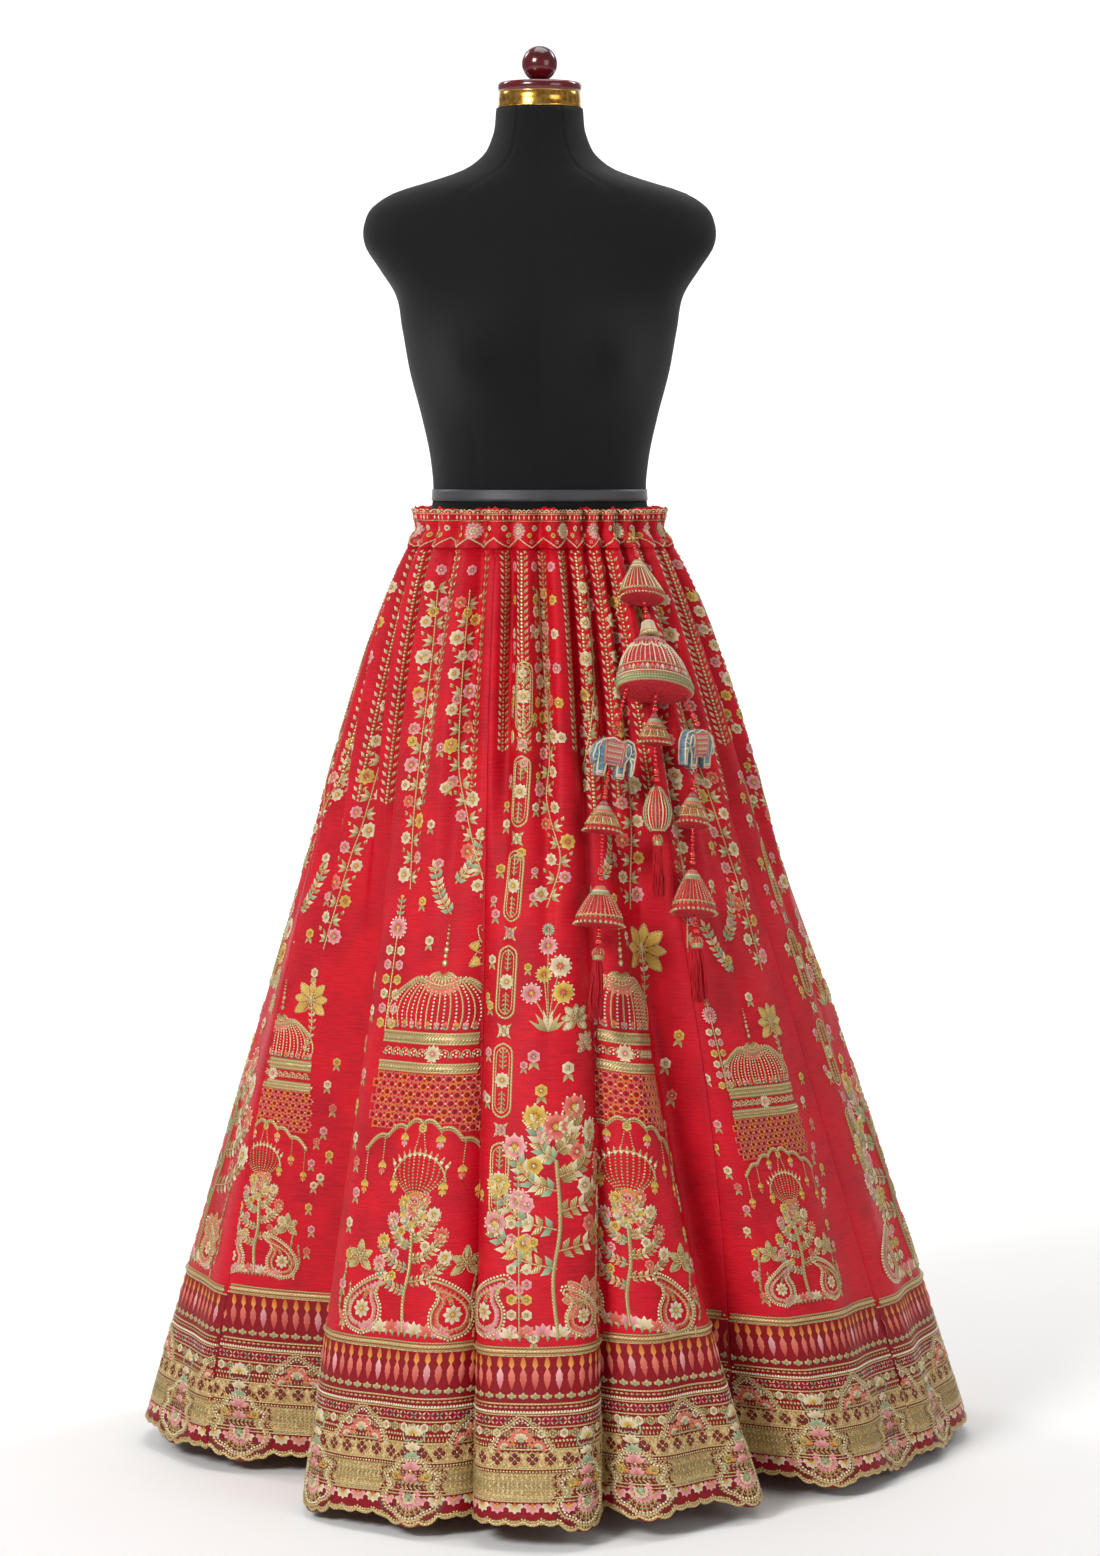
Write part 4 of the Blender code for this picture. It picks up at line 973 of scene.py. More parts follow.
def sprig(height, pairs, dye="sage", bud="pink"):
    """A stem with pairs of leaves and a bud on top."""
    made = Pattern()
    made.cord([(0, 0), (0, height * 0.9)], 0.0016, "gold")
    size = height / pairs * 0.95
    for pair in range(pairs):
        at = height * (pair + 0.35) / pairs * 0.86
        for side in (-1, 1):
            made.stitch("leaf", 0, at, size, size * 0.45, dye, side * 52)
    for turn in (-24, 0, 24):
        made.stitch("petal", 0, height * 0.86, height * 0.2, height * 0.1, bud, turn)
    return made


def spray(points, leaf, dye="sage"):
    """A curved stem with close leaves on both sides, like a fern's."""
    made = Pattern()
    line = curve(points, 8)
    made.cord(line, 0.0016, "gold")
    ahead = np.gradient(line, axis=0)
    turns = np.degrees(np.arctan2(ahead[:, 0], ahead[:, 1]))
    dyes = (dye, "gold", "cream")
    for step in range(1, len(line) - 1, 2):
        for side in (-1, 1):
            made.stitch("leaf", *line[step], leaf, leaf * 0.50, dyes[step // 2 % 3], turns[step] + side * 46)
    made.stitch("leaf", *line[-1], leaf, leaf * 0.50, "cream", turns[-1])
    return made


def leaf_star(size, leaves=7, dye="yellow"):
    """Broad beaded leaves fanned from one point, each with a cord round it."""
    made = Pattern()
    for leaf in range(leaves):
        turn = -126 + 252 * leaf / (leaves - 1)
        long = size * (1.0 - 0.10 * (leaf % 2))
        blade = Pattern()
        blade.stitch("petal", 0, long * 0.12, long * 0.86, long * 0.40, dye, rise=0.0016)
        blade.cord(curve([(0, 0), (long * 0.25, long * 0.45), (0, long), (-long * 0.25, long * 0.45),
                          (0, 0)], 4),
                   0.0016, "gold")
        blade.beads([(0, long * 0.25), (0, long * 0.8)], 0.0036, 0.0026, "bead", 0.0026)
        made.put(blade, 0, 0, turn=turn)
    return made


def tulip(height, dye="coral", cup="mint"):
    made = Pattern()
    for turn, share in ((-30, 0.8), (30, 0.8), (0, 0.95)):
        made.stitch("petal", 0, height * 0.28, height * 0.72 * share, height * 0.34, dye, turn)
    for turn in (-42, 42):
        made.stitch("leaf", 0, 0, height * 0.52, height * 0.26, cup, turn)
    return made


def bouquet(scale=1.0):
    """Five round flowers over a tuft of grass."""
    made = Pattern()
    heads = ((0.0, 0.084, 0.009, "pink"), (0.012, 0.064, 0.011, "cream"), (-0.004, 0.056, 0.008, "yellow"),
             (-0.016, 0.038, 0.010, "pink"), (0.015, 0.038, 0.011, "yellow"), (0.0, 0.100, 0.006, "mint"))
    for x, y, radius, dye in heads:
        made.cord(curve([(0, 0.004), (x * 0.35, y * 0.5), (x, y)], 4), 0.0015, "gold")
    for x, y, radius, dye in heads:
        made.put(flower(radius, 7, dye, "coral" if dye != "pink" else "yellow", pearls=14), x, y)
    for turn in (-58, -34, -12, 12, 34, 58):
        made.stitch("leaf", 0, 0, 0.022, 0.0055, "cream" if abs(turn) < 20 else "sage", turn)
    return made if scale == 1.0 else scaled(made, scale)


def scaled(pattern, scale):
    made = Pattern()
    made.put(pattern, scale=scale)
    return made


def daisy_stalk(height, dye="pink"):
    """One big beaded daisy on a stalk with small pairs of flowers below."""
    made = Pattern()
    made.cord([(0, 0), (0, height)], 0.0018, "gold")
    made.put(flower(0.0125, 12, dye, "yellow", pearls=16), 0, height)
    made.put(sprig(0.024, 3, "mint", "yellow"), 0, height + 0.012)
    at = height - 0.026
    turn = 0
    while at > 0.008:
        for side in (-1, 1):
            made.put(flower(0.0062, 6, ("cream", "pink", "yellow")[turn % 3], "bead"), side * 0.0085, at)
            made.stitch("leaf", side * 0.001, at - 0.004, 0.010, 0.004, "sage", side * 60)
        at -= 0.0165
        turn += 1
    return made


def vine(points, spacing=0.021, reach=0.011, first=0):
    """A climbing stem with flowers and leaves to its left and right in turn."""
    made = Pattern()
    line = curve(points, 10)
    made.cord(line, 0.0018, "gold")
    along = np.concatenate([[0], np.cumsum(np.linalg.norm(np.diff(line, axis=0), axis=1))])
    dyes = ("cream", "pink", "cream", "yellow", "coral", "cream", "pink")
    for number, place in enumerate(np.arange(spacing * 0.5, along[-1], spacing)):
        x, y = (float(np.interp(place, along, line[:, axis])) for axis in (0, 1))
        side = 1 if (number + first) % 2 else -1
        dye = dyes[(number + first) % len(dyes)]
        radius = 0.0078 if number % 3 else 0.0098
        made.cord(curve([(x, y), (x + side * reach * 0.6, y + 0.002), (x + side * reach, y + 0.006)], 3),
                  0.0013, "gold")
        made.put(flower(radius, 8, dye, "yellow" if dye != "yellow" else "coral"), x + side * reach,
                 y + 0.006)
        for turn in (38, 78, 118):
            made.stitch("leaf", x - side * 0.001, y + 0.003, 0.0125, 0.0050,
                        "sage" if turn != 78 else "cream", -side * turn)
        made.stitch("leaf", x - side * 0.012, y + 0.010, 0.007, 0.0045, "gold", -side * 30)
    return made


def small_buti(dye="cream"):
    """A single small flower on two leaves, scattered between the vines."""
    made = flower(0.0058, 6, dye, "bead")
    for turn in (150, 210):
        made.stitch("leaf", 0, -0.004, 0.009, 0.004, "sage", turn)
    return made


print("petals of a bouquet:", sum(len(rows) for rows in bouquet().stitches["petal"]))

# %% [markdown]
# ## Chain of cartouches
# A straight chain of long links runs down the middle kali. Each link is two gold cords in a
# stretched hexagon round a ten-petal flower, with a sprig above and below, and a small flower
# with leaves joins it to the next.


# %% Chain
def chain(low, high, pitch=0.110, link=0.082):
    made = Pattern()
    half = 0.0105
    at = high - pitch / 2
    number = 0
    while at - link / 2 > low:
        for inset, width in ((0.0, 0.0024), (0.0030, 0.0014)):
            wide, tall = half - inset, link / 2 - inset * 1.5
            made.cord(curve([(0, at + tall), (wide * 0.8, at + tall * 0.88), (wide, at + tall * 0.66),
                             (wide, at), (wide, at - tall * 0.66), (wide * 0.8, at - tall * 0.88),
                             (0, at - tall),
                             (-wide * 0.8, at - tall * 0.88), (-wide, at - tall * 0.66), (-wide, at),
                             (-wide, at + tall * 0.66), (-wide * 0.8, at + tall * 0.88), (0, at + tall)], 3),
                      width, "gold")
        made.put(flower(0.0092, 10, "cream", "yellow"), 0, at)
        for side, turn in ((1, 0), (-1, 180)):
            made.put(sprig(0.024, 4, "khaki", "gold"), 0, at + side * 0.012, turn=turn)
        join = at - pitch / 2
        made.put(flower(0.0066, 6, "cream" if number % 2 else "pink", "bead"), 0, join)
        for turn in (45, 135, 225, 315):
            made.stitch("leaf", 0, join, 0.012, 0.005, "khaki", turn)
        for side in (-1, 1):
            made.put(small_buti("yellow" if number % 2 else "pink"), side * 0.024, at + side * 0.018,
                     scale=0.8)
        at -= pitch
        number += 1
    return made


print("cords of a chain:", len(chain(0.2, 0.8).cords))

# %% [markdown]
# ## Dome, lattice and lamp
# Each front kali has a pavilion in beadwork: a ribbed dome with a lotus cap and a bead finial,
# two braids with a flower band between them, a fine ogee net that ends in a scalloped arch, and
# a hanging lamp under it. Ribs alternate between gold cord and rows of pearls.


# %% Pavilion
def dome(half=0.064, tall=0.066):
    """A ribbed dome on y = 0, as seen from the front."""
    made = Pattern()
    shoulder = 0.62
    for rib in np.linspace(-1, 1, 21):
        side = rib * half
        line = curve([(side, 0.004), (side * 1.06, tall * 0.30), (side * 0.94, tall * 0.58),
                      (side * shoulder, tall * 0.84), (side * 0.44, tall * 0.93)], 4)
        if round((rib + 1) * 10) % 2:
            made.beads(line, 0.0042, 0.0026, "pearl")
        else:
            made.cord(line, 0.0021, "gold")
    for share, dye, width in ((0.0, "gold", 0.0030), (0.0032, "khaki", 0.0026)):
        swag = curve([(-half * 0.98, tall * 0.58 - share), (-half * 0.66, tall * 0.80 - share),
                      (-half * 0.40, tall * 0.90 - share),
                      (0, tall * 0.78 - share), (half * 0.40, tall * 0.90 - share),
                      (half * 0.66, tall * 0.80 - share),
                      (half * 0.98, tall * 0.58 - share)], 5)
        made.cord(swag, width, dye, 0.0018)
    made.ring("petal", 0, tall * 0.98, half * 0.10, 13, half * 0.30, half * 0.09, "coral", 108, 144)
    made.ring("bead", 0, tall * 0.98, half * 0.42, 13, 0.0028, 0.0028, "bead", 106, 148)
    made.ring("leaf", 0, tall * 1.06, 0.004, 9, half * 0.26, 0.0044, "gold", 118, 124)
    finial = ((0.010, 0.0085), (0.018, 0.0060), (0.025, 0.0080), (0.032, 0.0050), (0.038, 0.0036),
              (0.043, 0.0042), (0.048, 0.0028), (0.052, 0.0022))
    for up, size in finial:
        made.stitch("bead", 0, tall * 1.02 + up, size, size * 0.85, "bead", rise=0.0024)
    for number, x in enumerate(np.linspace(-half, half, 13)):
        made.put(tulip(0.0105, ("pink", "coral", "orange")[number % 3]), x, 0.002)
    return made


def braid(width, height, dye="khaki"):
    """A thick gold braid: two cords with a row of slanting stitches between them."""
    made = Pattern()
    made.cord([(-width / 2, height / 2), (width / 2, height / 2)], height * 0.92, dye, 0.0006)
    for y in (0.0014, height - 0.0014):
        made.cord([(-width / 2, y), (width / 2, y)], 0.0026, "gold", 0.0016)
    x = np.arange(-width / 2, width / 2, 0.0040)
    made.stitch("leaf", x, height * 0.16, height * 0.66, 0.0030, "bead", 24, 0.0020)
    return made


def scroll_band(width, height=0.018):
    """Pearl scrolls with a cream flower in the middle."""
    made = Pattern()
    middle = height / 2
    for side in (-1, 1):
        x = side * 0.014
        while abs(x) < width / 2:
            made.cord(arc(x, middle, 0.0052, 0.0052, -150, 120, 7), 0.0014, "gold")
            made.ring("bead", x, middle, 0.0024, 3, 0.0027, 0.0027, "pearl", 30)
            made.stitch("leaf", x + side * 0.004, middle - 0.004, 0.006, 0.0026, "mint", side * 60)
            x += side * 0.0122
    made.put(flower(0.0098, 9, "cream", "pink", pearls=12), 0, middle)
    return made


def net(width, low_edge, high, pitch=0.0115):
    """An ogee net of coral floss with a ring in each cell, cut at a lower edge."""
    made = Pattern()
    columns = int(width / pitch)
    for row in range(int(0.075 / pitch) + 1):
        for number in range(-columns // 2, columns // 2 + 1):
            x = (number + 0.5 * (row % 2)) * pitch
            y = high - (row + 0.5) * pitch * 0.78
            if abs(x) > width / 2 or y < low_edge(x) + 0.004:
                continue
            dye = "coral" if (row + number) % 3 else "orange"
            made.cord(arc(x, y, pitch * 0.40, pitch * 0.36, 0, 360, 8), 0.0015, dye)
            made.ring("leaf", x, y, pitch * 0.36, 4, pitch * 0.26, 0.0026, dye, 45)
            made.stitch("bead", x, y, 0.0036, 0.0036, "maroon")
            made.stitch("bead", x + pitch / 2, y, 0.0022, 0.0022, "pearl")
    return made


def drop(length, dye="pink"):
    """A bead chain that ends in a small bell of petals, hanging from y = 0."""
    made = Pattern()
    made.beads([(0, 0), (0, -length + 0.012)], 0.0030, 0.0022, "bead")
    made.ring("petal", 0, -length + 0.015, 0.0, 3, 0.010, 0.0048, "yellow", 150, 60)
    made.ring("petal", 0, -length + 0.008, 0.0, 3, 0.008, 0.0040, dye, 155, 50)
    made.stitch("bead", 0, -length, 0.0030, 0.0030, "bead")
    return made


def arch_height(x, half):
    """The cusped edge of the arch: highest in the middle, falling in scallops to its sides."""
    reach = np.abs(x) / half
    cusp = 0.006 * np.abs(np.sin(math.pi * (reach * 3.5) ** 0.9))
    return -0.034 * reach**1.5 + cusp - 0.004


def arch(half=0.076):
    made = Pattern()
    x = np.linspace(-half, half, 57)
    edge = np.stack([x, arch_height(x, half)], axis=1)
    made.cord(edge, 0.0034, "gold", 0.0020)
    made.cord(edge - [0, 0.0030], 0.0018, "khaki", 0.0014)
    for place, length, dye in ((0.30, 0.020, "pink"), (0.66, 0.042, "coral"), (0.95, 0.050, "orange")):
        for side in (-1, 1):
            at = side * half * place
            made.put(drop(length, dye), at, float(arch_height(at, half)) - 0.002)
    return made


def lamp(half=0.034):
    """A fan-shaped hanging lamp: pearl scallops on top, bead ribs that meet in a gold bowl."""
    made = Pattern()
    tall = half * 1.7
    for side in (-1, 1):
        made.beads([(0, tall * 1.65), (side * half * 0.22, tall * 1.02)], 0.0030, 0.0022, "bead")
    made.put(flower(0.0056, 6, "yellow", "bead"), 0, tall * 1.5)
    for place in np.linspace(-1, 1, 11):
        top = (place * half, tall * (1.0 - 0.22 * place**2))
        foot = (place * half * 0.22, tall * 0.16)
        bend = (place * half * 0.86, tall * 0.5)
        made.beads(curve([foot, bend, top], 5), 0.0036, 0.0026, "bead" if round(place * 5) % 2 else "gold")
        made.stitch("bead", *top, 0.0048, 0.0048, "pearl")
        made.stitch("leaf", *top, 0.0070, 0.0034, "gold", place * 32)
    made.cord(arc(0, tall * 0.40, half * 1.02, tall * 0.62, -82, 82, 18), 0.0022, "gold")
    made.ring("petal", 0, tall * 0.12, 0.002, 7, 0.0095, 0.0040, "orange", -66, 132)
    made.ring("petal", 0, tall * 0.12, 0.0, 6, 0.0060, 0.0036, "pink", -60, 120)
    made.cord(arc(0, tall * 0.10, half * 0.26, tall * 0.12, 95, 265, 8), 0.0028, "gold", 0.0022)
    made.beads(arc(0, tall * 0.13, half * 0.2, tall * 0.09, 100, 260, 6), 0.0030, 0.0028, "bead")
    for x, length in ((-half * 0.40, 0.022), (0.0, 0.032), (half * 0.40, 0.022)):
        made.put(drop(length, "cream"), x, tall * 0.04)
    for side in (-1, 1):
        made.put(drop(0.026, "yellow"), side * half * 0.95, tall * 0.68)
    return made


def pavilion(half=0.078):
    """The whole pavilion with its arch's lowest point near y = 0.11 and its dome above."""
    made = Pattern()
    made.put(lamp(), 0, 0.022)
    made.put(arch(half), 0, 0.118)
    made.put(net(half * 2 - 0.006, lambda x: 0.118 + arch_height(x, half), 0.168), 0, 0)
    made.put(braid(half * 1.90, 0.012), 0, 0.169)
    made.put(scroll_band(half * 1.86), 0, 0.182)
    made.put(braid(half * 1.84, 0.014), 0, 0.201)
    made.put(dome(half * 0.86), 0, 0.216)
    return made


print("cords of a pavilion:", len(pavilion().cords))

# %% [markdown]
# ## Hem border
# The border is worked in rows from the hem up: scallops of flowers, a mint strip, chevron
# braids, a gold band with quatrefoils, bead lines, flower rows, crossed stitches, and a row of
# balusters under a thick gold cord. Cartouches and lotus arches lie over the rows.


# %% Hem border
def baluster(height=0.050, dye="coral"):
    made = Pattern()
    made.stitch("petal", 0, height, height * 0.30, 0.0064, "orange", 180)
    made.stitch("petal", 0, height * 0.26, height * 0.50, 0.0078, dye, 0, rise=0.0016)
    made.stitch("petal", 0, height * 0.70, height * 0.34, 0.0076, dye, 180)
    for turn in (-60, 0, 60):
        made.stitch("petal", 0, height * 0.10, 0.0062, 0.0042, "sage", turn)
    made.stitch("bead", 0, height * 0.10, 0.0036, 0.0036, "mint")
    made.stitch("bead", 0, height * 0.80, 0.0040, 0.0022, "bead")
    return made


def along(width, pitch):
    """Places a pitch apart, centred on a width."""
    count = max(1, int(round(width / pitch)))
    return (np.arange(count) + 0.5) * (width / count) - width / 2


def line_across(made, width, up, thick, dye, rise=0.0012):
    made.cord([(-width / 2, up), (width / 2, up)], thick, dye, rise)


def border_rows(width, number):
    """The rows of the border over the width of one kali."""
    made = Pattern()
    edge_x = np.linspace(-width / 2, width / 2, 121)
    edge = np.stack([edge_x, hem_edge(number, edge_x)], axis=1)
    made.cord(edge + [0, 0.0020], 0.0036, "gold", 0.0018)
    made.beads(edge + [0, 0.0048], 0.0038, 0.0030, "bead")
    for count, x in enumerate(along(width, SCALLOP_PITCH)):
        fan = Pattern()
        dye = "pink" if count % 2 else "cream"
        fan.ring("petal", 0, 0, 0.002, 5, 0.0085, 0.0056, dye, -76, 152)
        fan.ring("petal", 0, 0, 0.0008, 3, 0.0044, 0.0036, "yellow", -50, 100)
        fan.stitch("bead", 0, 0, 0.0034, 0.0034, "coral")
        made.put(fan, x, 0.0235, turn=180)
    line_across(made, width, 0.0265, 0.0018, "gold")
    line_across(made, width, 0.0302, 0.0020, "gold")
    for low, dye in ((0.0325, "gold"), (0.0405, "khaki"), (0.0485, "gold")):
        x = along(width, 0.0052)
        for side in (-1, 1):
            made.stitch("leaf", x, low + 0.0034, 0.0062, 0.0027, dye, 90 + side * 38)
        line_across(made, width, low + 0.0072, 0.0014, "khaki")
    made.beads([(-width / 2, 0.0578), (width / 2, 0.0578)], 0.0036, 0.0030, "bead")
    line_across(made, width, 0.0610, 0.0020, "gold")
    for x in along(width, 0.0200):
        made.ring("petal", x, 0.0712, 0.0006, 4, 0.0064, 0.0060, "maroon", 0)
        made.ring("bead", x, 0.0712, 0.0036, 4, 0.0022, 0.0022, "bead", 0)
        made.stitch("bead", x, 0.0712, 0.0030, 0.0030, "bead", rise=0.002)
        made.cord(arc(x, 0.0712, 0.0074, 0.0074, 0, 360, 9), 0.0013, "gold")
    line_across(made, width, 0.0815, 0.0022, "gold")
    x = along(width, 0.0040)
    made.stitch("leaf", x, 0.0826, 0.0052, 0.0022, "gold")
    made.beads([(-width / 2, 0.0905), (width / 2, 0.0905)], 0.0040, 0.0034, "bead")
    for count, x in enumerate(along(width, 0.0125)):
        made.put(flower(0.0052, 6, ("khaki", "cream")[count % 2], "bead"), x, 0.0985)
    made.stitch("leaf", along(width, 0.0125) + 0.0062, 0.0945, 0.0080, 0.0030, "sage")
    line_across(made, width, 0.1050, 0.0018, "gold")
    for count, x in enumerate(along(width, 0.0095)):
        dye = ("cream", "pink", "mint")[count % 3]
        made.ring("leaf", x, 0.1118, 0.0006, 4, 0.0050, 0.0022, dye, 45)
    line_across(made, width, 0.1180, 0.0016, "gold")
    made.beads([(-width / 2, 0.1212), (width / 2, 0.1212)], 0.0034, 0.0030, "pearl")
    x = along(width, 0.0060)
    made.stitch("leaf", x, 0.1262, 0.0052, 0.0028, "gold", 90)
    line_across(made, width, 0.1298, 0.0020, "gold")
    for count, x in enumerate(along(width, 0.0130)):
        made.put(baluster(0.050, "coral" if count % 5 else "pink"), x, 0.1312)
    line_across(made, width, 0.1825, 0.0020, "khaki")
    line_across(made, width, 0.1862, 0.0044, "gold", 0.0024)
    made.stitch("bead", along(width, 0.0050), 0.1862, 0.0034, 0.0034, "bead", 0.0, 0.0034)
    line_across(made, width, 0.1900, 0.0020, "khaki")
    return made


# Half of the lobed outline, in shares of its half width and of its height
LOBES = (
    (0.0, 1.0), (0.42, 0.96), (0.62, 0.80), (0.98, 0.72), (0.80, 0.52), (1.0, 0.34), (0.84, 0.14),
    (0.52, 0.06), (0.34, -0.02), (0.0, -0.06),
)


def lobed(half, low, high):
    """A closed outline with lobes at its sides, from low to high."""
    right = [(half * wide, low + (high - low) * up) for wide, up in LOBES]
    left = [(-x, y) for x, y in right[-2:0:-1]]
    return curve(right + left + right[:1], 4)


def cartouche():
    """A lobed frame that hangs over the border's rows and below the hem line."""
    made = Pattern()
    outline = lobed(0.0345, 0.0020, 0.066)
    made.cord(outline, 0.0150, "maroon", 0.0004)
    made.ring("petal", 0, 0.034, 0.0, 12, 0.028, 0.017, "maroon", rise=0.0006)
    made.stitch("petal", 0, 0.058, 0.052, 0.030, "maroon", 0, rise=0.0006)
    made.cord(outline, 0.0022, "gold", 0.0020)
    made.beads(outline * [0.90, 0.94] + [0, 0.0022], 0.0037, 0.0032, "pearl", 0.0022)
    made.beads(outline * [1.07, 1.03] - [0, 0.0006], 0.0040, 0.0030, "bead", 0.0022)
    rose = Pattern()
    rose.ring("petal", 0, 0, 0.0060, 14, 0.0088, 0.0046, "pink", -125, 250, 0.0018)
    rose.ring("petal", 0, 0, 0.0030, 9, 0.0062, 0.0042, "cream", -110, 220, 0.0024)
    rose.stitch("bead", 0, 0, 0.0088, 0.0088, "mint", rise=0.0030)
    rose.ring("bead", 0, 0, 0.0046, 9, 0.0020, 0.0020, "bead", rise=0.0030)
    made.put(rose, 0, 0.024, turn=180)
    for turn in (-150, -172, 172, 150, 128, -128):
        made.put(sprig(0.014, 3, "khaki", "yellow"), 0.010 * math.sin(math.radians(turn)),
                 0.024 + 0.012 * math.cos(math.radians(turn)), turn=turn)
    for side in (-1, 1):
        made.put(tulip(0.012, "orange", "mint"), side * 0.0105, 0.037, turn=side * 18)
        made.put(flower(0.0062, 7, "sage", "cream"), side * 0.0240, 0.036)
        made.put(flower(0.0056, 7, "yellow", "mint"), side * 0.0190, 0.046)
        made.put(sprig(0.016, 3, "sage", "orange"), side * 0.0130, 0.052, turn=side * 24)
    made.ring("petal", 0, 0.040, 0.0, 5, 0.011, 0.0055, "pink", -60, 120, 0.0022)
    for up, wide, dye in ((0.052, 0.016, "pink"), (0.063, 0.0145, "mint"), (0.074, 0.013, "cream")):
        made.ring("petal", 0, up, 0.0, 5, wide * 0.85, 0.0058, dye, -62, 124, 0.0024)
        made.stitch("bead", 0, up, 0.0044, 0.0044, "bead", rise=0.003)
    made.ring("petal", 0, 0.091, 0.0, 7, 0.0125, 0.0060, "cream", -75, 150, 0.0022)
    made.ring("petal", 0, 0.091, 0.0, 5, 0.0072, 0.0048, "yellow", -60, 120, 0.0026)
    for side in (-1, 1):
        made.cord(curve([(0, 0.086), (side * 0.010, 0.084), (side * 0.013, 0.092), (side * 0.009, 0.097)],
                        4), 0.0018, "mint")
    return made


def lotus_arch():
    """A pearl arch over three lotus flowers, between two cartouches."""
    made = Pattern()
    frame_line = curve([(-0.036, 0.0), (-0.029, 0.010), (-0.025, 0.020), (-0.013, 0.027), (0, 0.036),
                        (0.013, 0.027),
                        (0.025, 0.020), (0.029, 0.010), (0.036, 0.0)], 4)
    for step in np.linspace(0.15, 0.85, 5):
        made.cord(frame_line * step, 0.010, "maroon", 0.0004)
    made.cord(frame_line, 0.0020, "gold", 0.0018)
    made.beads(frame_line * [1.06, 1.08], 0.0037, 0.0033, "bead", 0.0022)
    made.beads(frame_line * [0.92, 0.90], 0.0036, 0.0026, "pearl", 0.0020)
    lotus = Pattern()
    lotus.ring("petal", 0, 0, 0.002, 7, 0.0135, 0.0058, "coral", -84, 168, 0.0020)
    lotus.ring("petal", 0, 0, 0.001, 5, 0.0090, 0.0050, "cream", -62, 124, 0.0026)
    lotus.stitch("bead", 0, 0, 0.0060, 0.0050, "mint", rise=0.0028)
    made.put(lotus, 0, 0.011)
    for side in (-1, 1):
        made.put(lotus, side * 0.0185, 0.003, scale=0.68, turn=side * 22)
        made.put(tulip(0.009, "orange"), side * 0.0090, 0.0015)
    return made


def border(width, number):
    """A kali's border: its rows, with cartouches and lotus arches laid over them."""
    made = border_rows(width, number)
    places = CARTOUCHES[number]
    for x in places:
        made.put(cartouche(), x, 0.0)
    for x in sorted({round((a + b) / 2, 4) for a, b in zip(places, places[1:])}
                    | {places[0] - 0.074, places[-1] + 0.074}):
        made.put(lotus_arch(), x, 0.080)
    return made


print("stitches in a border:", sum(len(rows) for rows in sum(border(0.3, 2).stitches.values(), [])))

# %% [markdown]
# ## Garden panels
# Above the border each kali has a garden scene of its own layout: two large paisleys lean to a
# flowering tree that stands on a lotus, with cypresses at the sides. Each paisley is filled in
# rows, from the outline inwards, as satin work is.


# %% Garden
def paisley(size, dye="coral", inner="cream"):
    """A paisley that stands on its round end and curls to the right."""
    made = Pattern()
    outline = curve([(0, 0), (-0.30, 0.10), (-0.42, 0.36), (-0.30, 0.64), (0.02, 0.88), (0.36, 1.00),
                     (0.42, 0.90),
                     (0.26, 0.80), (0.24, 0.64), (0.34, 0.42), (0.28, 0.14), (0, 0)], 4)
    middle = np.array([-0.04, 0.40])
    for inset, thick, line_dye in ((1.0, 0.0030, "gold"), (0.70, 0.0020, "gold")):
        made.cord(((outline - middle) * inset + middle) * size, thick, line_dye, 0.0020)
    ahead = np.gradient(outline, axis=0)
    turns = np.degrees(np.arctan2(ahead[:, 0], ahead[:, 1])) + 90
    rim = ((outline - middle) * 0.92 + middle) * size
    made.stitch("petal", rim[:, 0], rim[:, 1], size * 0.12, size * 0.075, dye, turns, 0.0018)
    made.beads(((outline - middle) * 1.12 + middle) * size, 0.0040, 0.0030, "pearl", 0.0018)
    made.ring("petal", *(middle * size), size * 0.03, 8, size * 0.15, size * 0.09, inner)
    made.stitch("bead", *(middle * size), size * 0.09, size * 0.09, "yellow", rise=0.0026)
    for up in (0.62, 0.72):
        made.put(tulip(size * 0.13, "orange"), -0.04 * size + (up - 0.55) * size * 0.5, up * size * 0.92,
                 turn=18)
    return made


def flowering_tree(height=0.140, dyes=("pink", "cream", "yellow", "coral")):
    """A tree with a bead trunk, curved boughs with close leaves, and round blossoms."""
    made = Pattern()
    trunk = curve([(0, 0), (-height * 0.02, height * 0.25), (height * 0.015, height * 0.5),
                   (0, height * 0.8)], 5)
    made.cord(trunk, 0.0046, "khaki", 0.0022)
    made.beads(trunk, 0.0040, 0.0032, "bead", 0.0030)
    leaf = height * 0.068
    boughs = ((0.30, -1, 0.30), (0.38, 1, 0.32), (0.48, -1, 0.28), (0.56, 1, 0.27), (0.66, -1, 0.20),
              (0.72, 1, 0.19),
              (0.80, -1, 0.10), (0.84, 1, 0.09))
    for number, (at, side, reach) in enumerate(boughs):
        line = [(0, height * at), (side * height * reach * 0.6, height * (at + 0.05)),
                (side * height * reach, height * (at + 0.17))]
        made.put(spray(line, leaf, "khaki" if number % 2 else "mint"))
        made.put(flower(height * 0.060, 8, dyes[number % 4], "yellow", pearls=10),
                 side * height * reach * 0.98, height * (at + 0.21))
        made.put(flower(height * 0.044, 7, dyes[(number + 2) % 4], "bead"), side * height * reach * 0.52,
                 height * (at + 0.12))
    made.put(flower(height * 0.068, 10, "coral", "yellow", pearls=14), 0, height * 0.96)
    return made


def cypress(height):
    made = Pattern()
    rows = int(height / 0.0062)
    for row in range(rows):
        share = row / rows
        half = 0.0095 * (1 - share) * min(1.0, 0.35 + share * 4)
        x = np.linspace(-half, half, max(1, int(half / 0.0024)))
        made.stitch("leaf", x, height * share, 0.0095, 0.0040, "sage" if row % 2 else "khaki", x * 1800,
                    0.0018)
    made.cord([(0, -0.008), (0, 0.002)], 0.0028, "gold")
    return made


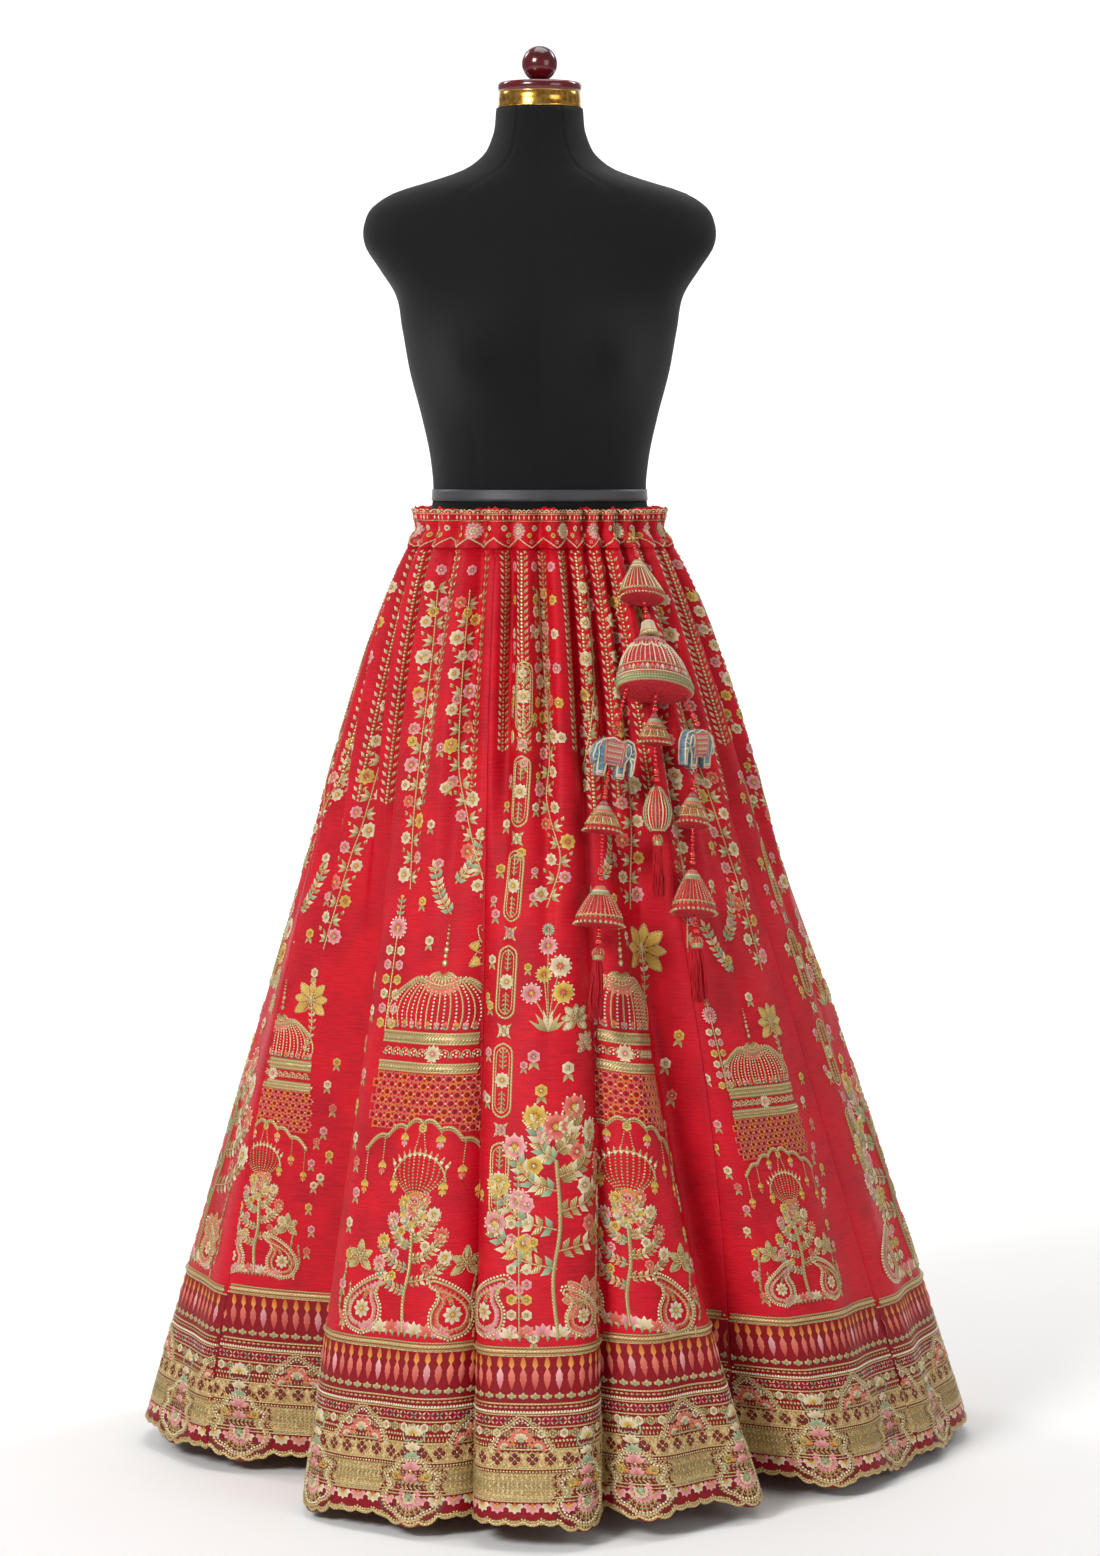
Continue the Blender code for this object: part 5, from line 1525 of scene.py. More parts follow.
def lotus_base(width):
    made = Pattern()
    for number, x in enumerate(np.linspace(-1, 1, 7)):
        fan = Pattern()
        fan.ring("petal", 0, 0, 0.0, 5, 0.014, 0.0062, ("pink", "cream", "coral")[number % 3], -70, 140)
        fan.stitch("bead", 0, 0, 0.0044, 0.0044, "yellow", rise=0.0024)
        made.put(fan, x * width / 2, 0.003 + 0.004 * (1 - abs(x)))
    for x in np.linspace(-width / 2, width / 2, 12):
        made.stitch("leaf", x, 0.0, 0.010, 0.004, "mint", x * 500)
    return made


def garden(width=0.150, height=0.150):
    made = Pattern()
    made.put(lotus_base(width * 0.55), 0, 0.002)
    made.put(flowering_tree(height * 0.92), 0, 0.010)
    for side in (-1, 1):
        made.put(paisley(0.062, "coral" if side > 0 else "pink"), side * width * 0.33, 0.004, flip=side > 0)
        made.put(cypress(height * 0.55), side * width * 0.50, 0.010)
        made.put(leaf_star(0.020, 5, "sage"), side * width * 0.40, height * 0.56)
    return made


print("cords of a garden:", len(garden().cords))

# %% [markdown]
# ## Layouts of the kalis
# Pavilion kalis and chain kalis take turns round the skirt, and the two beside the front folds
# have a lower pavilion. The narrow top of a kali has lines of small gold beads that run into
# the gathers. Each layout is drawn once on flat cloth and laid on its kali.


# %% Layouts
def top_lines(kali, low, count=3):
    """Bead columns that converge towards the band, with small flowers between them."""
    made = Pattern()
    ups = np.linspace(low, kali["length"] - 0.006, 30)
    widths = np.interp(kali["length"] - ups, kali["down"], kali["widths"])
    for place in np.linspace(-0.38, 0.38, count):
        line = np.stack([widths * place, ups], axis=1)
        made.beads(line, 0.0044, 0.0040, "bead")
        made.stitch("leaf", line[:, 0] + 0.0030, line[:, 1], 0.0085, 0.0038, "gold", 38)
        made.stitch("leaf", line[:, 0] - 0.0030, line[:, 1], 0.0085, 0.0038, "cream", -38)
    for place in (np.linspace(-0.38, 0.38, count)[:-1] + 0.38 / max(1, count - 1)):
        for number, (wide, up) in enumerate(zip(widths[2::5], ups[2::5])):
            made.put(flower(0.0068, 7, ("cream", "yellow", "pink")[number % 3], "bead"), wide * place, up)
    return made


def pavilion_layout(kali, base=0.190, middle=0.0, turn=0.0, scale=1.0):
    """Border, garden, pavilion, flower stalks beside the dome, and vines up to the band."""
    number, length = kali["number"], kali["length"]
    made = Pattern()
    made.put(border(width_at(kali, 0.0), number))
    low_width = width_at(kali, 0.26)
    group = Pattern()
    group.put(garden(min(0.17, low_width * 0.70)), 0, 0.002)
    group.put(pavilion(), 0, 0.126)
    group.put(daisy_stalk(0.118, "pink"), -0.072, 0.338)
    group.put(leaf_star(0.034), 0.056, 0.436)
    group.put(spray([(0.056, 0.352), (0.064, 0.396), (0.056, 0.436)], 0.010), 0, 0)
    for side, low in ((-1, 0.02), (1, 0.05)):
        for row, dye in enumerate(("coral", "pink", "yellow", "cream", "pink", "coral")):
            group.put(small_buti(dye), side * (0.086 + 0.006 * (row % 2)), low + 0.034 * row, scale=1.1)
    for side, low in ((-1, 0.215), (1, 0.165)):
        for row, dye in enumerate(("cream", "yellow", "pink", "coral", "cream", "yellow")):
            group.put(small_buti(dye), side * (0.102 + 0.012 * (row % 2)), low + 0.036 * row, scale=1.2)
    made.put(group, middle, base, scale, turn)
    top = base + 0.344 * scale
    lean = middle + math.tan(math.radians(turn)) * 0.35
    for side, reach, start in ((1, 0.050, 0.128), (-1, 0.062, 0.156)):
        ups = np.array([start, start + 0.05, start + 0.11, start + 0.18]) + top
        line = [(lean * (1 - step / 4) + side * reach * (1 - 0.13 * step), up) for step, up in enumerate(ups)]
        line.append((side * 0.028, length - 0.05))
        made.put(vine(line, first=int(side > 0)), 0, 0)
    for side, up in ((-1, 0.130), (1, 0.165)):
        made.put(spray([(0, top + up), (side * 0.016, top + up + 0.022), (side * 0.026, top + up + 0.052)],
                       0.0115, "mint"),
                 lean, 0)
    for row, up in enumerate(np.arange(top + 0.10, length - 0.22, 0.044)):
        made.put(small_buti(("cream", "yellow", "pink")[row % 3]), lean * 0.5 + 0.008 * (-1) ** row, up)
    made.put(top_lines(kali, length - 0.30, 3))
    return made


def chain_layout(kali, middle=0.0):
    """Border, chain on one side, and bouquet, tree, flowers and niche on the other."""
    number, length = kali["number"], kali["length"]
    made = Pattern()
    made.put(border(width_at(kali, 0.0), number))
    made.put(chain(0.300, length - 0.12), middle - 0.060, 0, turn=2.4)
    made.put(daisy_stalk(0.150, "pink"), middle - 0.022, 0.200)
    made.put(leaf_star(0.030, 7, "coral"), middle + 0.052, 0.238)
    made.put(lotus_base(0.110), middle + 0.004, 0.196)
    made.put(flowering_tree(0.235), middle + 0.020, 0.204)
    made.put(cypress(0.100), middle + 0.078, 0.200)
    made.put(paisley(0.062, "pink"), middle - 0.062, 0.202)
    made.put(paisley(0.050, "coral"), middle + 0.048, 0.202, flip=True)
    made.put(bouquet(1.15), middle + 0.012, 0.535)
    made.put(leaf_star(0.019, 7, "cream"), middle + 0.044, 0.548)
    made.put(leaf_star(0.015, 7, "pink"), middle + 0.058, 0.520)
    made.put(vine([(0.010, 0.675), (0.028, 0.735), (0.012, 0.80), (0.024, 0.87), (0.012, length - 0.06)]),
             middle, 0)
    for row, up in enumerate(np.arange(0.46, length - 0.08, 0.052)):
        dye = ("cream", "pink", "yellow")[row % 3]
        made.put(small_buti(dye), middle - 0.076 + 0.036 * up, up)
        made.put(small_buti(dye), middle - 0.014 + 0.008 * (-1) ** row, up + 0.02 if up > 0.66 else up - 0.26)
    for x, up, dye in ((0.004, 0.470, "yellow"), (0.034, 0.494, "cream"), (-0.004, 0.508, "pink")):
        made.put(small_buti(dye), middle + x, up, scale=1.3)
    made.put(top_lines(kali, length - 0.24, 4))
    return made


LAYOUTS = (
    (chain_layout, {"middle": -0.002}), (pavilion_layout, {"middle": -0.094, "turn": 7.7}),
    (pavilion_layout, {"base": 0.200, "middle": -0.012, "scale": 0.74}), (chain_layout, {}),
    (pavilion_layout, {}), (chain_layout, {}), (pavilion_layout, {}), (chain_layout, {}),
    (pavilion_layout, {}), (chain_layout, {}),
    (pavilion_layout, {"base": 0.200, "middle": -0.066, "scale": 0.74}), (pavilion_layout, {"middle": 0.060}),
)
for kali, (layout, settings) in zip(KALIS, LAYOUTS):
    name = SEAMS[kali["number"]][0]
    made = lay(f"embroidery_{name}", layout(kali, **settings), kali_surface(kali), inside_kali(kali))
    print(made.name, len(made.data.polygons), "faces")

# %% [markdown]
# ## Waistband
# The gathered band closes on the form along a tight line, where its drawstring runs, and opens
# above it into a short frill with a scalloped edge. It is one strip of the same silk.

# %% Waistband
BAND_LEVELS = 26
BAND_COLUMNS = 600


def band_depth(height):
    """How far the gathers stand out at a height in the band, and how far the frill flares."""
    knots = (KALI_TOP_Z, BAND_TIE_Z, (BAND_TIE_Z + BAND_TOP_Z) / 2, BAND_TOP_Z)
    depth = np.interp(height, knots, (GATHER_DEPTH, GATHER_DEPTH * 0.75, GATHER_DEPTH, GATHER_DEPTH * 1.15))
    flare = np.interp(height, knots, (0.0, 0.0, FRILL_FLARE / 2, FRILL_FLARE))
    return depth, flare


def band_point(columns, height):
    """The band's outer surface, from the kalis' top edge up to the frill."""
    columns, height = np.broadcast_arrays(np.asarray(columns, float), np.asarray(height, float))
    bearing = np.radians(seam_angle(columns, np.zeros_like(columns)))
    depth, flare = band_depth(height)
    wave = depth * gather_wave(columns)
    out = BAND_CLEARANCE + WALL + depth + flare + wave
    x = (form_half(height, "half_width") + out) * np.sin(bearing)
    y = -(form_half(height, "front") + out) * np.cos(bearing)
    low = skirt_point(columns, np.zeros_like(columns))
    held = np.clip((height - KALI_TOP_Z) / (BAND_TIE_Z - KALI_TOP_Z), 0, 1)[..., None]
    held = held * held * (3 - 2 * held)
    point = np.stack([x, y, height], axis=-1)
    point[..., :2] = low[..., :2] * (1 - held) + point[..., :2] * held
    return point


def band_normal(columns, height):
    across = band_point(columns + 0.1, height) - band_point(columns - 0.1, height)
    up = band_point(columns, height + 0.001) - band_point(columns, height - 0.001)
    normal = np.cross(across, up)
    return normal / np.linalg.norm(normal, axis=-1, keepdims=True)


ROUND = len(SEAMS) * COLUMNS_PER_KALI
columns, heights = np.meshgrid(
    np.arange(BAND_COLUMNS) * ROUND / BAND_COLUMNS,
    np.linspace(BAND_TOP_Z, KALI_TOP_Z + SEAM_GAP, BAND_LEVELS),
)
edge = np.clip((heights - BAND_TIE_Z) / (BAND_TOP_Z - BAND_TIE_Z), 0, 1)
points = band_point(columns, heights)
ruffle = 0.0026 * np.cos(columns * 0.9) - 0.0024 * np.abs(np.sin(columns * math.pi * 0.75))
points[..., 2] += edge**4 * ruffle
across = np.roll(points, -1, axis=1) - points
up = points[:-1] - points[1:]
BAND_HEIGHT = BAND_TOP_Z - KALI_TOP_Z
BAND_AREA = float(np.linalg.norm(np.cross(across[:-1], up), axis=-1).sum())
BAND_LENGTH = BAND_AREA / BAND_HEIGHT
flat = np.stack([columns / ROUND * BAND_LENGTH, heights], axis=-1)
waistband = placed_object("waistband_silk", sheet_mesh("waistband_silk", points, flat, closed_round=True),
                          SILK)
thicken(waistband, CLOTH)
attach(waistband, "root")
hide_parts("waistband")
print("waistband laid flat:", round(BAND_LENGTH, 3), "by", round(BAND_HEIGHT, 3), "metres")

# %% [markdown]
# ## Embroidery of the waistband
# Cream and gold scallops edge the frill, with short bars of pearls under them. Flower
# medallions stand on the gathers, florets of four dots between them, and a gold zigzag closes
# the band along its lower edge.


# %% Embroidery of the waistband
def medallion(radius, dye):
    """A round flower of two rings of petals with a pearl heart."""
    made = Pattern()
    made.ring("petal", 0, 0, radius * 0.30, 12, radius * 0.72, radius * 0.42, dye)
    made.ring("petal", 0, 0, radius * 0.12, 8, radius * 0.44, radius * 0.30, "cream", 12, rise=0.0018)
    made.ring("bead", 0, 0, radius * 0.98, 18, radius * 0.17, radius * 0.17, "bead")
    made.stitch("bead", 0, 0, radius * 0.30, radius * 0.30, "pearl", 0, 0.0026)
    return made


def band_pattern(length, height):
    made = Pattern()
    scallops = round(length / 0.0062)
    pitch = length / scallops
    for number in range(scallops):
        x = number * pitch + pitch / 2
        edge = arc(x, height - 0.0052, pitch * 0.50, 0.0036, -90, 90, 5)
        made.cord(edge, 0.0014, "cream" if number % 2 else "gold")
        made.stitch("bead", x, height - 0.0046, 0.0016, 0.0016, "pearl")
        made.stitch("leaf", x, height - 0.0132, 0.0058, 0.0015, "pearl")
    for up, dye, width in ((height - 0.0064, "gold", 0.0013), (height - 0.0142, "khaki", 0.0012)):
        line_across(made, length, up, width, dye)
    flowers = round(length / 0.065)
    for number in range(flowers):
        x = (number + 0.5) * length / flowers
        made.put(medallion(0.0096, ("pink", "cream")[number % 2]), x, 0.0205)
        for side in (-1, 1):
            made.put(flower(0.0034, 4, "cream", "bead"), x + side * length / flowers * 0.34, 0.0235)
            made.put(flower(0.0030, 4, "yellow", "bead"), x + side * length / flowers * 0.25, 0.0155)
    points = round(length / 0.034)
    zigzag = [(n * length / points / 2, 0.0015 if n % 2 else 0.0125) for n in range(points * 2 + 1)]
    made.cord(zigzag, 0.0017, "gold")
    made.beads(zigzag, 0.0026, 0.0014, "pearl", 0.0019)
    for number in range(points):
        made.put(flower(0.0026, 5, "coral", "bead"), (number + 0.5) * length / points, 0.0082)
    return made


def band_surface(flat):
    columns = flat[:, 0] / BAND_LENGTH * ROUND
    height = KALI_TOP_Z + np.clip(flat[:, 1], 0.0004, None)
    return band_point(columns, height) + band_normal(columns, height) * flat[:, 2:]


made = lay("embroidery_waistband", band_pattern(BAND_LENGTH, BAND_HEIGHT), band_surface)
print(made.name, len(made.data.polygons), "faces")

# %% [markdown]
# ## Dress form
# The form is a padded body under a close black knit. Its surface comes from level sections, so
# it is a grid of points on them, with shallow grooves where the cover's panels are sewn.

# %% Dress form
SEAM_GROOVE = 0.0011
AXIS_CLEARANCE = 0.04
FORM_TURNS = 144
FORM_LEVELS = 150
# Each seam of the cover: turn in degrees at the waist and at the shoulder
COVER_SEAMS = ((0.0, 0.0), (36.0, 30.0), (-36.0, -30.0), (90.0, 90.0), (-90.0, -90.0), (180.0, 180.0),
               (145.0, 150.0), (-145.0, -150.0))


def form_point(turn, height):
    """A point of the form, a turn in radians to the right of the front."""
    facing = np.cos(turn)
    depth = np.where(facing > 0, form_half(height, "front"), form_half(height, "back"))
    rise = np.exp(-(((height - BUST_Z) / BUST_HEIGHT) ** 2))
    lobes = np.exp(-(((np.abs(turn) - BUST_ANGLE) / BUST_SPREAD) ** 2))
    depth = depth + BUST_DEPTH * rise * lobes * (facing > 0)
    return np.stack([form_half(height, "half_width") * np.sin(turn), -depth * facing, height], axis=-1)


def knit_material():
    """Black jersey: fine ribs along the body and a soft nap, painted darker as shade between the ribs."""
    made, tree, shader = new_material(
        "black_knit_jersey", {"Roughness": 0.85, "Sheen Weight": 0.12, "Specular IOR Level": 0.25}
    )
    place = add(tree, "UVMap", uv_map="cloth").outputs["UV"]
    ribs = add(tree, "Mapping", {"Vector": place, "Scale": (900.0, 0.0, 1.0)}).outputs[0]
    rib = add(tree, "TexWave", {"Vector": ribs, "Scale": 0.314}).outputs["Fac"]
    loops = add(tree, "TexNoise", {"Vector": place, "Scale": 700.0, "Detail": 2.0}).outputs[0]
    height = add(tree, "Math", {0: rib, 1: loops}, operation="MULTIPLY").outputs[0]
    # The knit's low places are painted darker as shade, from the same height as its bump.
    tree.links.new(ramp(tree, height, ((0.0, "#030304"), (1.0, "#0E0E10"))), shader.inputs["Base Color"])
    bumped(tree, shader, height, 0.0004, 0.5)
    return made


turns, heights = np.meshgrid(
    np.linspace(-math.pi, math.pi, FORM_TURNS, endpoint=False),
    np.linspace(NECK_TOP_Z, FORM_BOTTOM_Z, FORM_LEVELS)
)
points = form_point(turns, heights)
groove = np.zeros_like(turns)
for waist, shoulder in COVER_SEAMS:
    seam = np.radians(waist + (shoulder - waist) * np.clip((heights - 1.12) / 0.3, 0, 1))
    off = (turns - seam + math.pi) % (2 * math.pi) - math.pi
    groove += np.exp(-((off / 0.016) ** 2))
from_axis = np.maximum(np.linalg.norm(points[..., :2], axis=-1), AXIS_CLEARANCE)
points[..., :2] *= 1 - (SEAM_GROOVE / from_axis * groove)[..., None]
flat = np.stack([turns * 0.14, heights], axis=-1)
torso = placed_object("form_knit", sheet_mesh("form_knit", points, flat, closed_round=True), knit_material())
bpy.ops.object.select_all(action="DESELECT")
torso.select_set(True)
bpy.context.view_layer.objects.active = torso
bpy.ops.object.mode_set(mode="EDIT")
bpy.ops.mesh.select_all(action="DESELECT")
bpy.ops.mesh.select_non_manifold()
bpy.ops.mesh.edge_face_add()
bpy.ops.object.mode_set(mode="OBJECT")
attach(torso, "root")
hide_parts("form_torso")
print("form:", len(torso.data.polygons), "faces")

# %% [markdown]
# ## Waist tape, neck cap, ball and stand
# A woven tape marks the form's waist. The neck ends in a turned cap of polished brass and a
# maroon lacquered ball. The cap's top and upper rim are painted maroon as the reflection of red
# cloth in the brass. The turned pieces start as spheres, whose rings are drawn to a profile of
# radius and height.

# %% Waist tape, neck cap, ball and stand
TAPE_THICKNESS = 0.0009


def turned_piece(name, profile, sides, depth=1.0):
    """A sphere whose rings are drawn to a profile of radius and height, from the top down."""
    bpy.ops.object.select_all(action="DESELECT")
    bpy.ops.mesh.primitive_uv_sphere_add(segments=sides, ring_count=len(profile) - 1, radius=1.0)
    made = bpy.context.object
    made.name = made.data.name = name
    sphere = np.array([vertex.co[:] for vertex in made.data.vertices])
    ring = np.rint(np.arccos(np.clip(sphere[:, 2], -1, 1)) / math.pi * (len(profile) - 1)).astype(int)
    turn = np.arctan2(sphere[:, 0], sphere[:, 1])
    radius, height = np.array(profile, float).T
    reach = radius[ring]
    points = np.stack([reach * np.sin(turn), reach * np.cos(turn) * depth, height[ring]], axis=1)
    made.data.vertices.foreach_set("co", points.reshape(-1))
    made.data.update()
    made.data.shade_smooth()
    return made


def metal_material(name, colour, worn, roughness, scale=180.0):
    """A metal with a faint worn variation of its colour."""
    made, tree, shader = new_material(name, {"Roughness": roughness, "Metallic": 1.0})
    place = add(tree, "TexCoord").outputs["Object"]
    wear = add(tree, "TexNoise", {"Vector": place, "Scale": scale, "Detail": 3.0}).outputs[0]
    tree.links.new(ramp(tree, wear, ((0.35, worn), (0.6, colour))), shader.inputs["Base Color"])
    bumped(tree, shader, wear, 0.0001, 0.2)
    return made


def lacquer_material(name, colour, deep):
    """Glossy lacquer over a slightly uneven coat."""
    made, tree, shader = new_material(name, {"Roughness": 0.22, "Coat Weight": 0.6, "Coat Roughness": 0.06})
    place = add(tree, "TexCoord").outputs["Object"]
    coat = add(tree, "TexNoise", {"Vector": place, "Scale": 30.0, "Detail": 2.0}).outputs[0]
    tree.links.new(ramp(tree, coat, ((0.3, deep), (0.7, colour))), shader.inputs["Base Color"])
    return made


BRASS = metal_material("polished_brass", "#E8B45A", "#B97F2C", 0.20)
STEEL = metal_material("brushed_steel", "#A2A3A6", "#7E8084", 0.38)
# On the neck cap's top this maroon is a painted reflection of red cloth in the brass; on the ball it is the
# lacquer's own colour.
LACQUER_AND_PAINTED_REFLECTION = lacquer_material("maroon_lacquer_and_painted_reflection", "#6E0A14", "#42050B")
TAPE = new_material("grey_satin_tape", {"Roughness": 0.38, "Sheen Weight": 0.3})
tape_tree, tape_shader = TAPE[1:]
tape_place = add(tape_tree, "TexCoord").outputs["Object"]
tape_rows = add(tape_tree, "Mapping", {"Vector": tape_place, "Scale": (0.0, 0.0, 900.0)}).outputs[0]
tape_weft = add(tape_tree, "TexWave", {"Vector": tape_rows, "Scale": 0.314},
                bands_direction="Z").outputs["Fac"]
# The weft's grooves are painted darker as shade and its crests lighter, from the same wave as the bump.
tape_tree.links.new(ramp(tape_tree, tape_weft, ((0.0, "#26262A"), (1.0, "#4A4A50"))),
                    tape_shader.inputs["Base Color"])
bumped(tape_tree, tape_shader, tape_weft, 0.0002, 0.6)

turns, heights = np.meshgrid(np.linspace(-math.pi, math.pi, 144, endpoint=False),
                             np.linspace(TAPE_Z[1], TAPE_Z[0], 5))
points = form_point(turns, heights)
out = points * [1, 1, 0]
out /= np.linalg.norm(out, axis=-1, keepdims=True)
points += out * (SEAM_GAP * 2 + TAPE_THICKNESS)
tape_length = float(np.linalg.norm(np.diff(points[2], axis=0), axis=1).sum()) * 144 / 143
flat = np.stack([turns / 2 / math.pi * tape_length, heights], axis=-1)
tape = placed_object("form_tape", sheet_mesh("form_tape", points, flat, closed_round=True), TAPE[0])
thicken(tape, TAPE_THICKNESS)
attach(tape, "root")
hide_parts("form_waist_tape")


def stand_piece(name, node, profile, material, sides=64):
    """A turned piece of the stand in place of its CAD node."""
    made = turned_piece(name, profile, sides)
    made.data.materials.append(material)
    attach(made, "root")
    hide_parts(node)
    return made


cap_low = NECK_TOP_Z + SEAM_GAP
cap_high = cap_low + NECK_CAP_HEIGHT
neck = stand_piece("neck_turning", "neck_cap", (
    (0.0, cap_high), (0.030, cap_high), (0.044, cap_high), (0.0475, cap_high - 0.0012),
    (0.0488, cap_high - 0.0045),
    (0.0484, cap_high - 0.0092), (0.0470, cap_high - 0.0112), (0.0466, cap_high - 0.0118),
    (0.0474, cap_high - 0.0126),
    (0.0476, cap_high - 0.020), (0.0480, cap_low + 0.003), (0.0487, cap_low + 0.0016), (0.0478, cap_low),
    (0.03, cap_low),
    (0.0, cap_low),
), LACQUER_AND_PAINTED_REFLECTION)
neck.data.materials.append(BRASS)
# Faces above the groove get the maroon painted as a reflection of red cloth; those below stay brass.
for face in neck.data.polygons:
    face.material_index = int(face.center.z < cap_high - 0.0113)
ball_middle = cap_high + SEAM_GAP + BALL_RADIUS
ball_turns = np.linspace(0, math.pi, 33)
ball_rings = np.column_stack([np.sin(ball_turns) * BALL_RADIUS,
                              ball_middle + np.cos(ball_turns) * BALL_RADIUS])
ball_rings[[0, -1], 0] = 0.0
stand_piece("neck_ball", "finial_ball", ball_rings, LACQUER_AND_PAINTED_REFLECTION)
low, high = BASE_HEIGHT + SEAM_GAP, FORM_BOTTOM_Z - SEAM_GAP
stand_piece("pole", "stand_pole", (
    (0.0, high), (POLE_RADIUS - 0.001, high), (POLE_RADIUS, high - 0.001), (POLE_RADIUS, (low + high) / 2),
    (POLE_RADIUS, low + 0.001), (POLE_RADIUS - 0.001, low), (0.0, low),
), STEEL, 32)
stand_piece("base_plate", "stand_base", (
    (0.0, BASE_HEIGHT), (0.10, BASE_HEIGHT), (BASE_RADIUS - 0.006, BASE_HEIGHT),
    (BASE_RADIUS - 0.002, BASE_HEIGHT - 0.001),
    (BASE_RADIUS, BASE_HEIGHT - 0.005), (BASE_RADIUS, 0.002), (BASE_RADIUS - 0.002, 0.0), (0.0, 0.0),
), STEEL, 96)
print("tape round the waist:", round(tape_length, 3), "metres")

# %% [markdown]
# ## Where the ornaments hang
# The latkans hang from the drawstring in one strand down to a large padded dome, and from its
# underside in three more. Each piece lies between two points of the CAD model, its top and its
# foot. A matrix of those gives it axes of its own: x to the left, y out from the cloth, z up.

# %% Where the ornaments hang
# Each piece's name, kind, radius, top and foot, in metres
ORNAMENTS = (
    ("latkan_beads_neck", "beads", 0.0036, (0.1071, -0.1019, 1.0647), (0.1110, -0.1154, 1.0473)),
    ("latkan_cap_upper", "cap", 0.0310, (0.1110, -0.1158, 1.0466), (0.1169, -0.1351, 1.0023)),
    ("latkan_beads_upper", "beads", 0.0046, (0.1171, -0.1354, 1.0016), (0.1219, -0.1455, 0.9783)),
    ("latkan_ivory_bell", "bell", 0.0110, (0.1220, -0.1459, 0.9777), (0.1239, -0.1566, 0.9604)),
    ("latkan_cap_main", "dome", 0.0490, (0.1240, -0.1569, 0.9596), (0.1299, -0.1869, 0.9003)),
    ("latkan_left_beads_1", "beads", 0.0040, (0.0977, -0.2095, 0.9077), (0.0831, -0.2095, 0.8524)),
    ("latkan_left_elephant", "elephant", 0.0275, (0.0829, -0.2096, 0.8516), (0.0760, -0.2189, 0.8064)),
    ("latkan_left_beads_2", "beads", 0.0034, (0.0780, -0.2163, 0.8195), (0.0720, -0.2371, 0.7824)),
    ("latkan_left_cap_small", "cap", 0.0215, (0.0720, -0.2374, 0.7816), (0.0700, -0.2475, 0.7484)),
    ("latkan_left_beads_3", "beads", 0.0038, (0.0700, -0.2478, 0.7476), (0.0680, -0.2694, 0.6943)),
    ("latkan_left_cap_ribbed", "cap", 0.0275, (0.0680, -0.2696, 0.6936), (0.0660, -0.2833, 0.6484)),
    ("latkan_left_beads_4", "beads", 0.0046, (0.0660, -0.2836, 0.6476), (0.0650, -0.2905, 0.6264)),
    ("latkan_left_tassel", "tassel", 0.0100, (0.0650, -0.2908, 0.6256), (0.0620, -0.3206, 0.5465)),
    ("latkan_middle_beads_1", "beads", 0.0040, (0.1300, -0.1871, 0.8996), (0.1290, -0.1871, 0.8764)),
    ("latkan_middle_cap_small", "cap", 0.0200, (0.1290, -0.1872, 0.8756), (0.1290, -0.1945, 0.8424)),
    ("latkan_middle_beads_2", "beads", 0.0042, (0.1290, -0.1947, 0.8416), (0.1310, -0.2050, 0.7984)),
    ("latkan_middle_bud", "bud", 0.0155, (0.1310, -0.2052, 0.7976), (0.1320, -0.2158, 0.7444)),
    ("latkan_middle_tassel", "tassel", 0.0085, (0.1320, -0.2161, 0.7436), (0.1340, -0.2343, 0.6725)),
    ("latkan_right_beads_1", "beads", 0.0040, (0.1639, -0.1637, 0.8911), (0.1788, -0.1637, 0.8583)),
    ("latkan_right_elephant", "mirrored", 0.0275, (0.1790, -0.1637, 0.8576), (0.1780, -0.1641, 0.8124)),
    ("latkan_right_beads_2", "beads", 0.0034, (0.1782, -0.1641, 0.8254), (0.1720, -0.1771, 0.7864)),
    ("latkan_right_cap_small", "cap", 0.0235, (0.1720, -0.1774, 0.7856), (0.1720, -0.1898, 0.7504)),
    ("latkan_right_beads_3", "beads", 0.0038, (0.1720, -0.1900, 0.7496), (0.1710, -0.1999, 0.7054)),
    ("latkan_right_cap_ribbed", "cap", 0.0290, (0.1710, -0.2001, 0.7046), (0.1730, -0.2180, 0.6544)),
    ("latkan_right_beads_4", "beads", 0.0046, (0.1730, -0.2183, 0.6536), (0.1749, -0.2235, 0.6304)),
    ("latkan_right_tassel", "tassel", 0.0115, (0.1750, -0.2237, 0.6296), (0.1789, -0.2485, 0.5565)),
)
CAP_SHAPES = {
    "cap": ((0.10, 0.05), (0.30, 0.20), (0.62, 0.48), (0.90, 0.78), (1.00, 0.92), (0.94, 1.00)),
    "dome": ((0.24, 0.04), (0.50, 0.16), (0.78, 0.42), (0.94, 0.72), (1.00, 0.90), (0.96, 1.00)),
    "bell": ((0.52, 0.03), (0.62, 0.40), (0.80, 0.72), (1.00, 0.80), (1.00, 0.94), (0.70, 1.00)),
    "bud": ((0.20, 0.04), (0.62, 0.22), (1.00, 0.55), (0.86, 0.80), (0.42, 0.97), (0.14, 1.00)),
}
FLATNESS = {"cap": 0.62, "dome": 0.62, "bell": 1.0, "bud": 1.0}


def hanging_matrix(top, foot):
    """The matrix from a piece's own axes, with its top at the origin, to the skirt's."""
    top, foot = Vector(top), Vector(foot)
    axis = (top - foot).normalized()
    middle = (top + foot) / 2
    out = Vector((middle.x, middle.y, 0.0))
    out = (out - axis * out.dot(axis)).normalized()
    return Matrix.Translation(top) @ Matrix((out.cross(axis).normalized(), out, axis)).transposed().to_4x4()


def moved(points, matrix):
    """Points of a piece's own axes, moved to where it hangs."""
    turn = np.array(matrix.to_3x3())
    return points @ turn.T + np.array(matrix.translation)


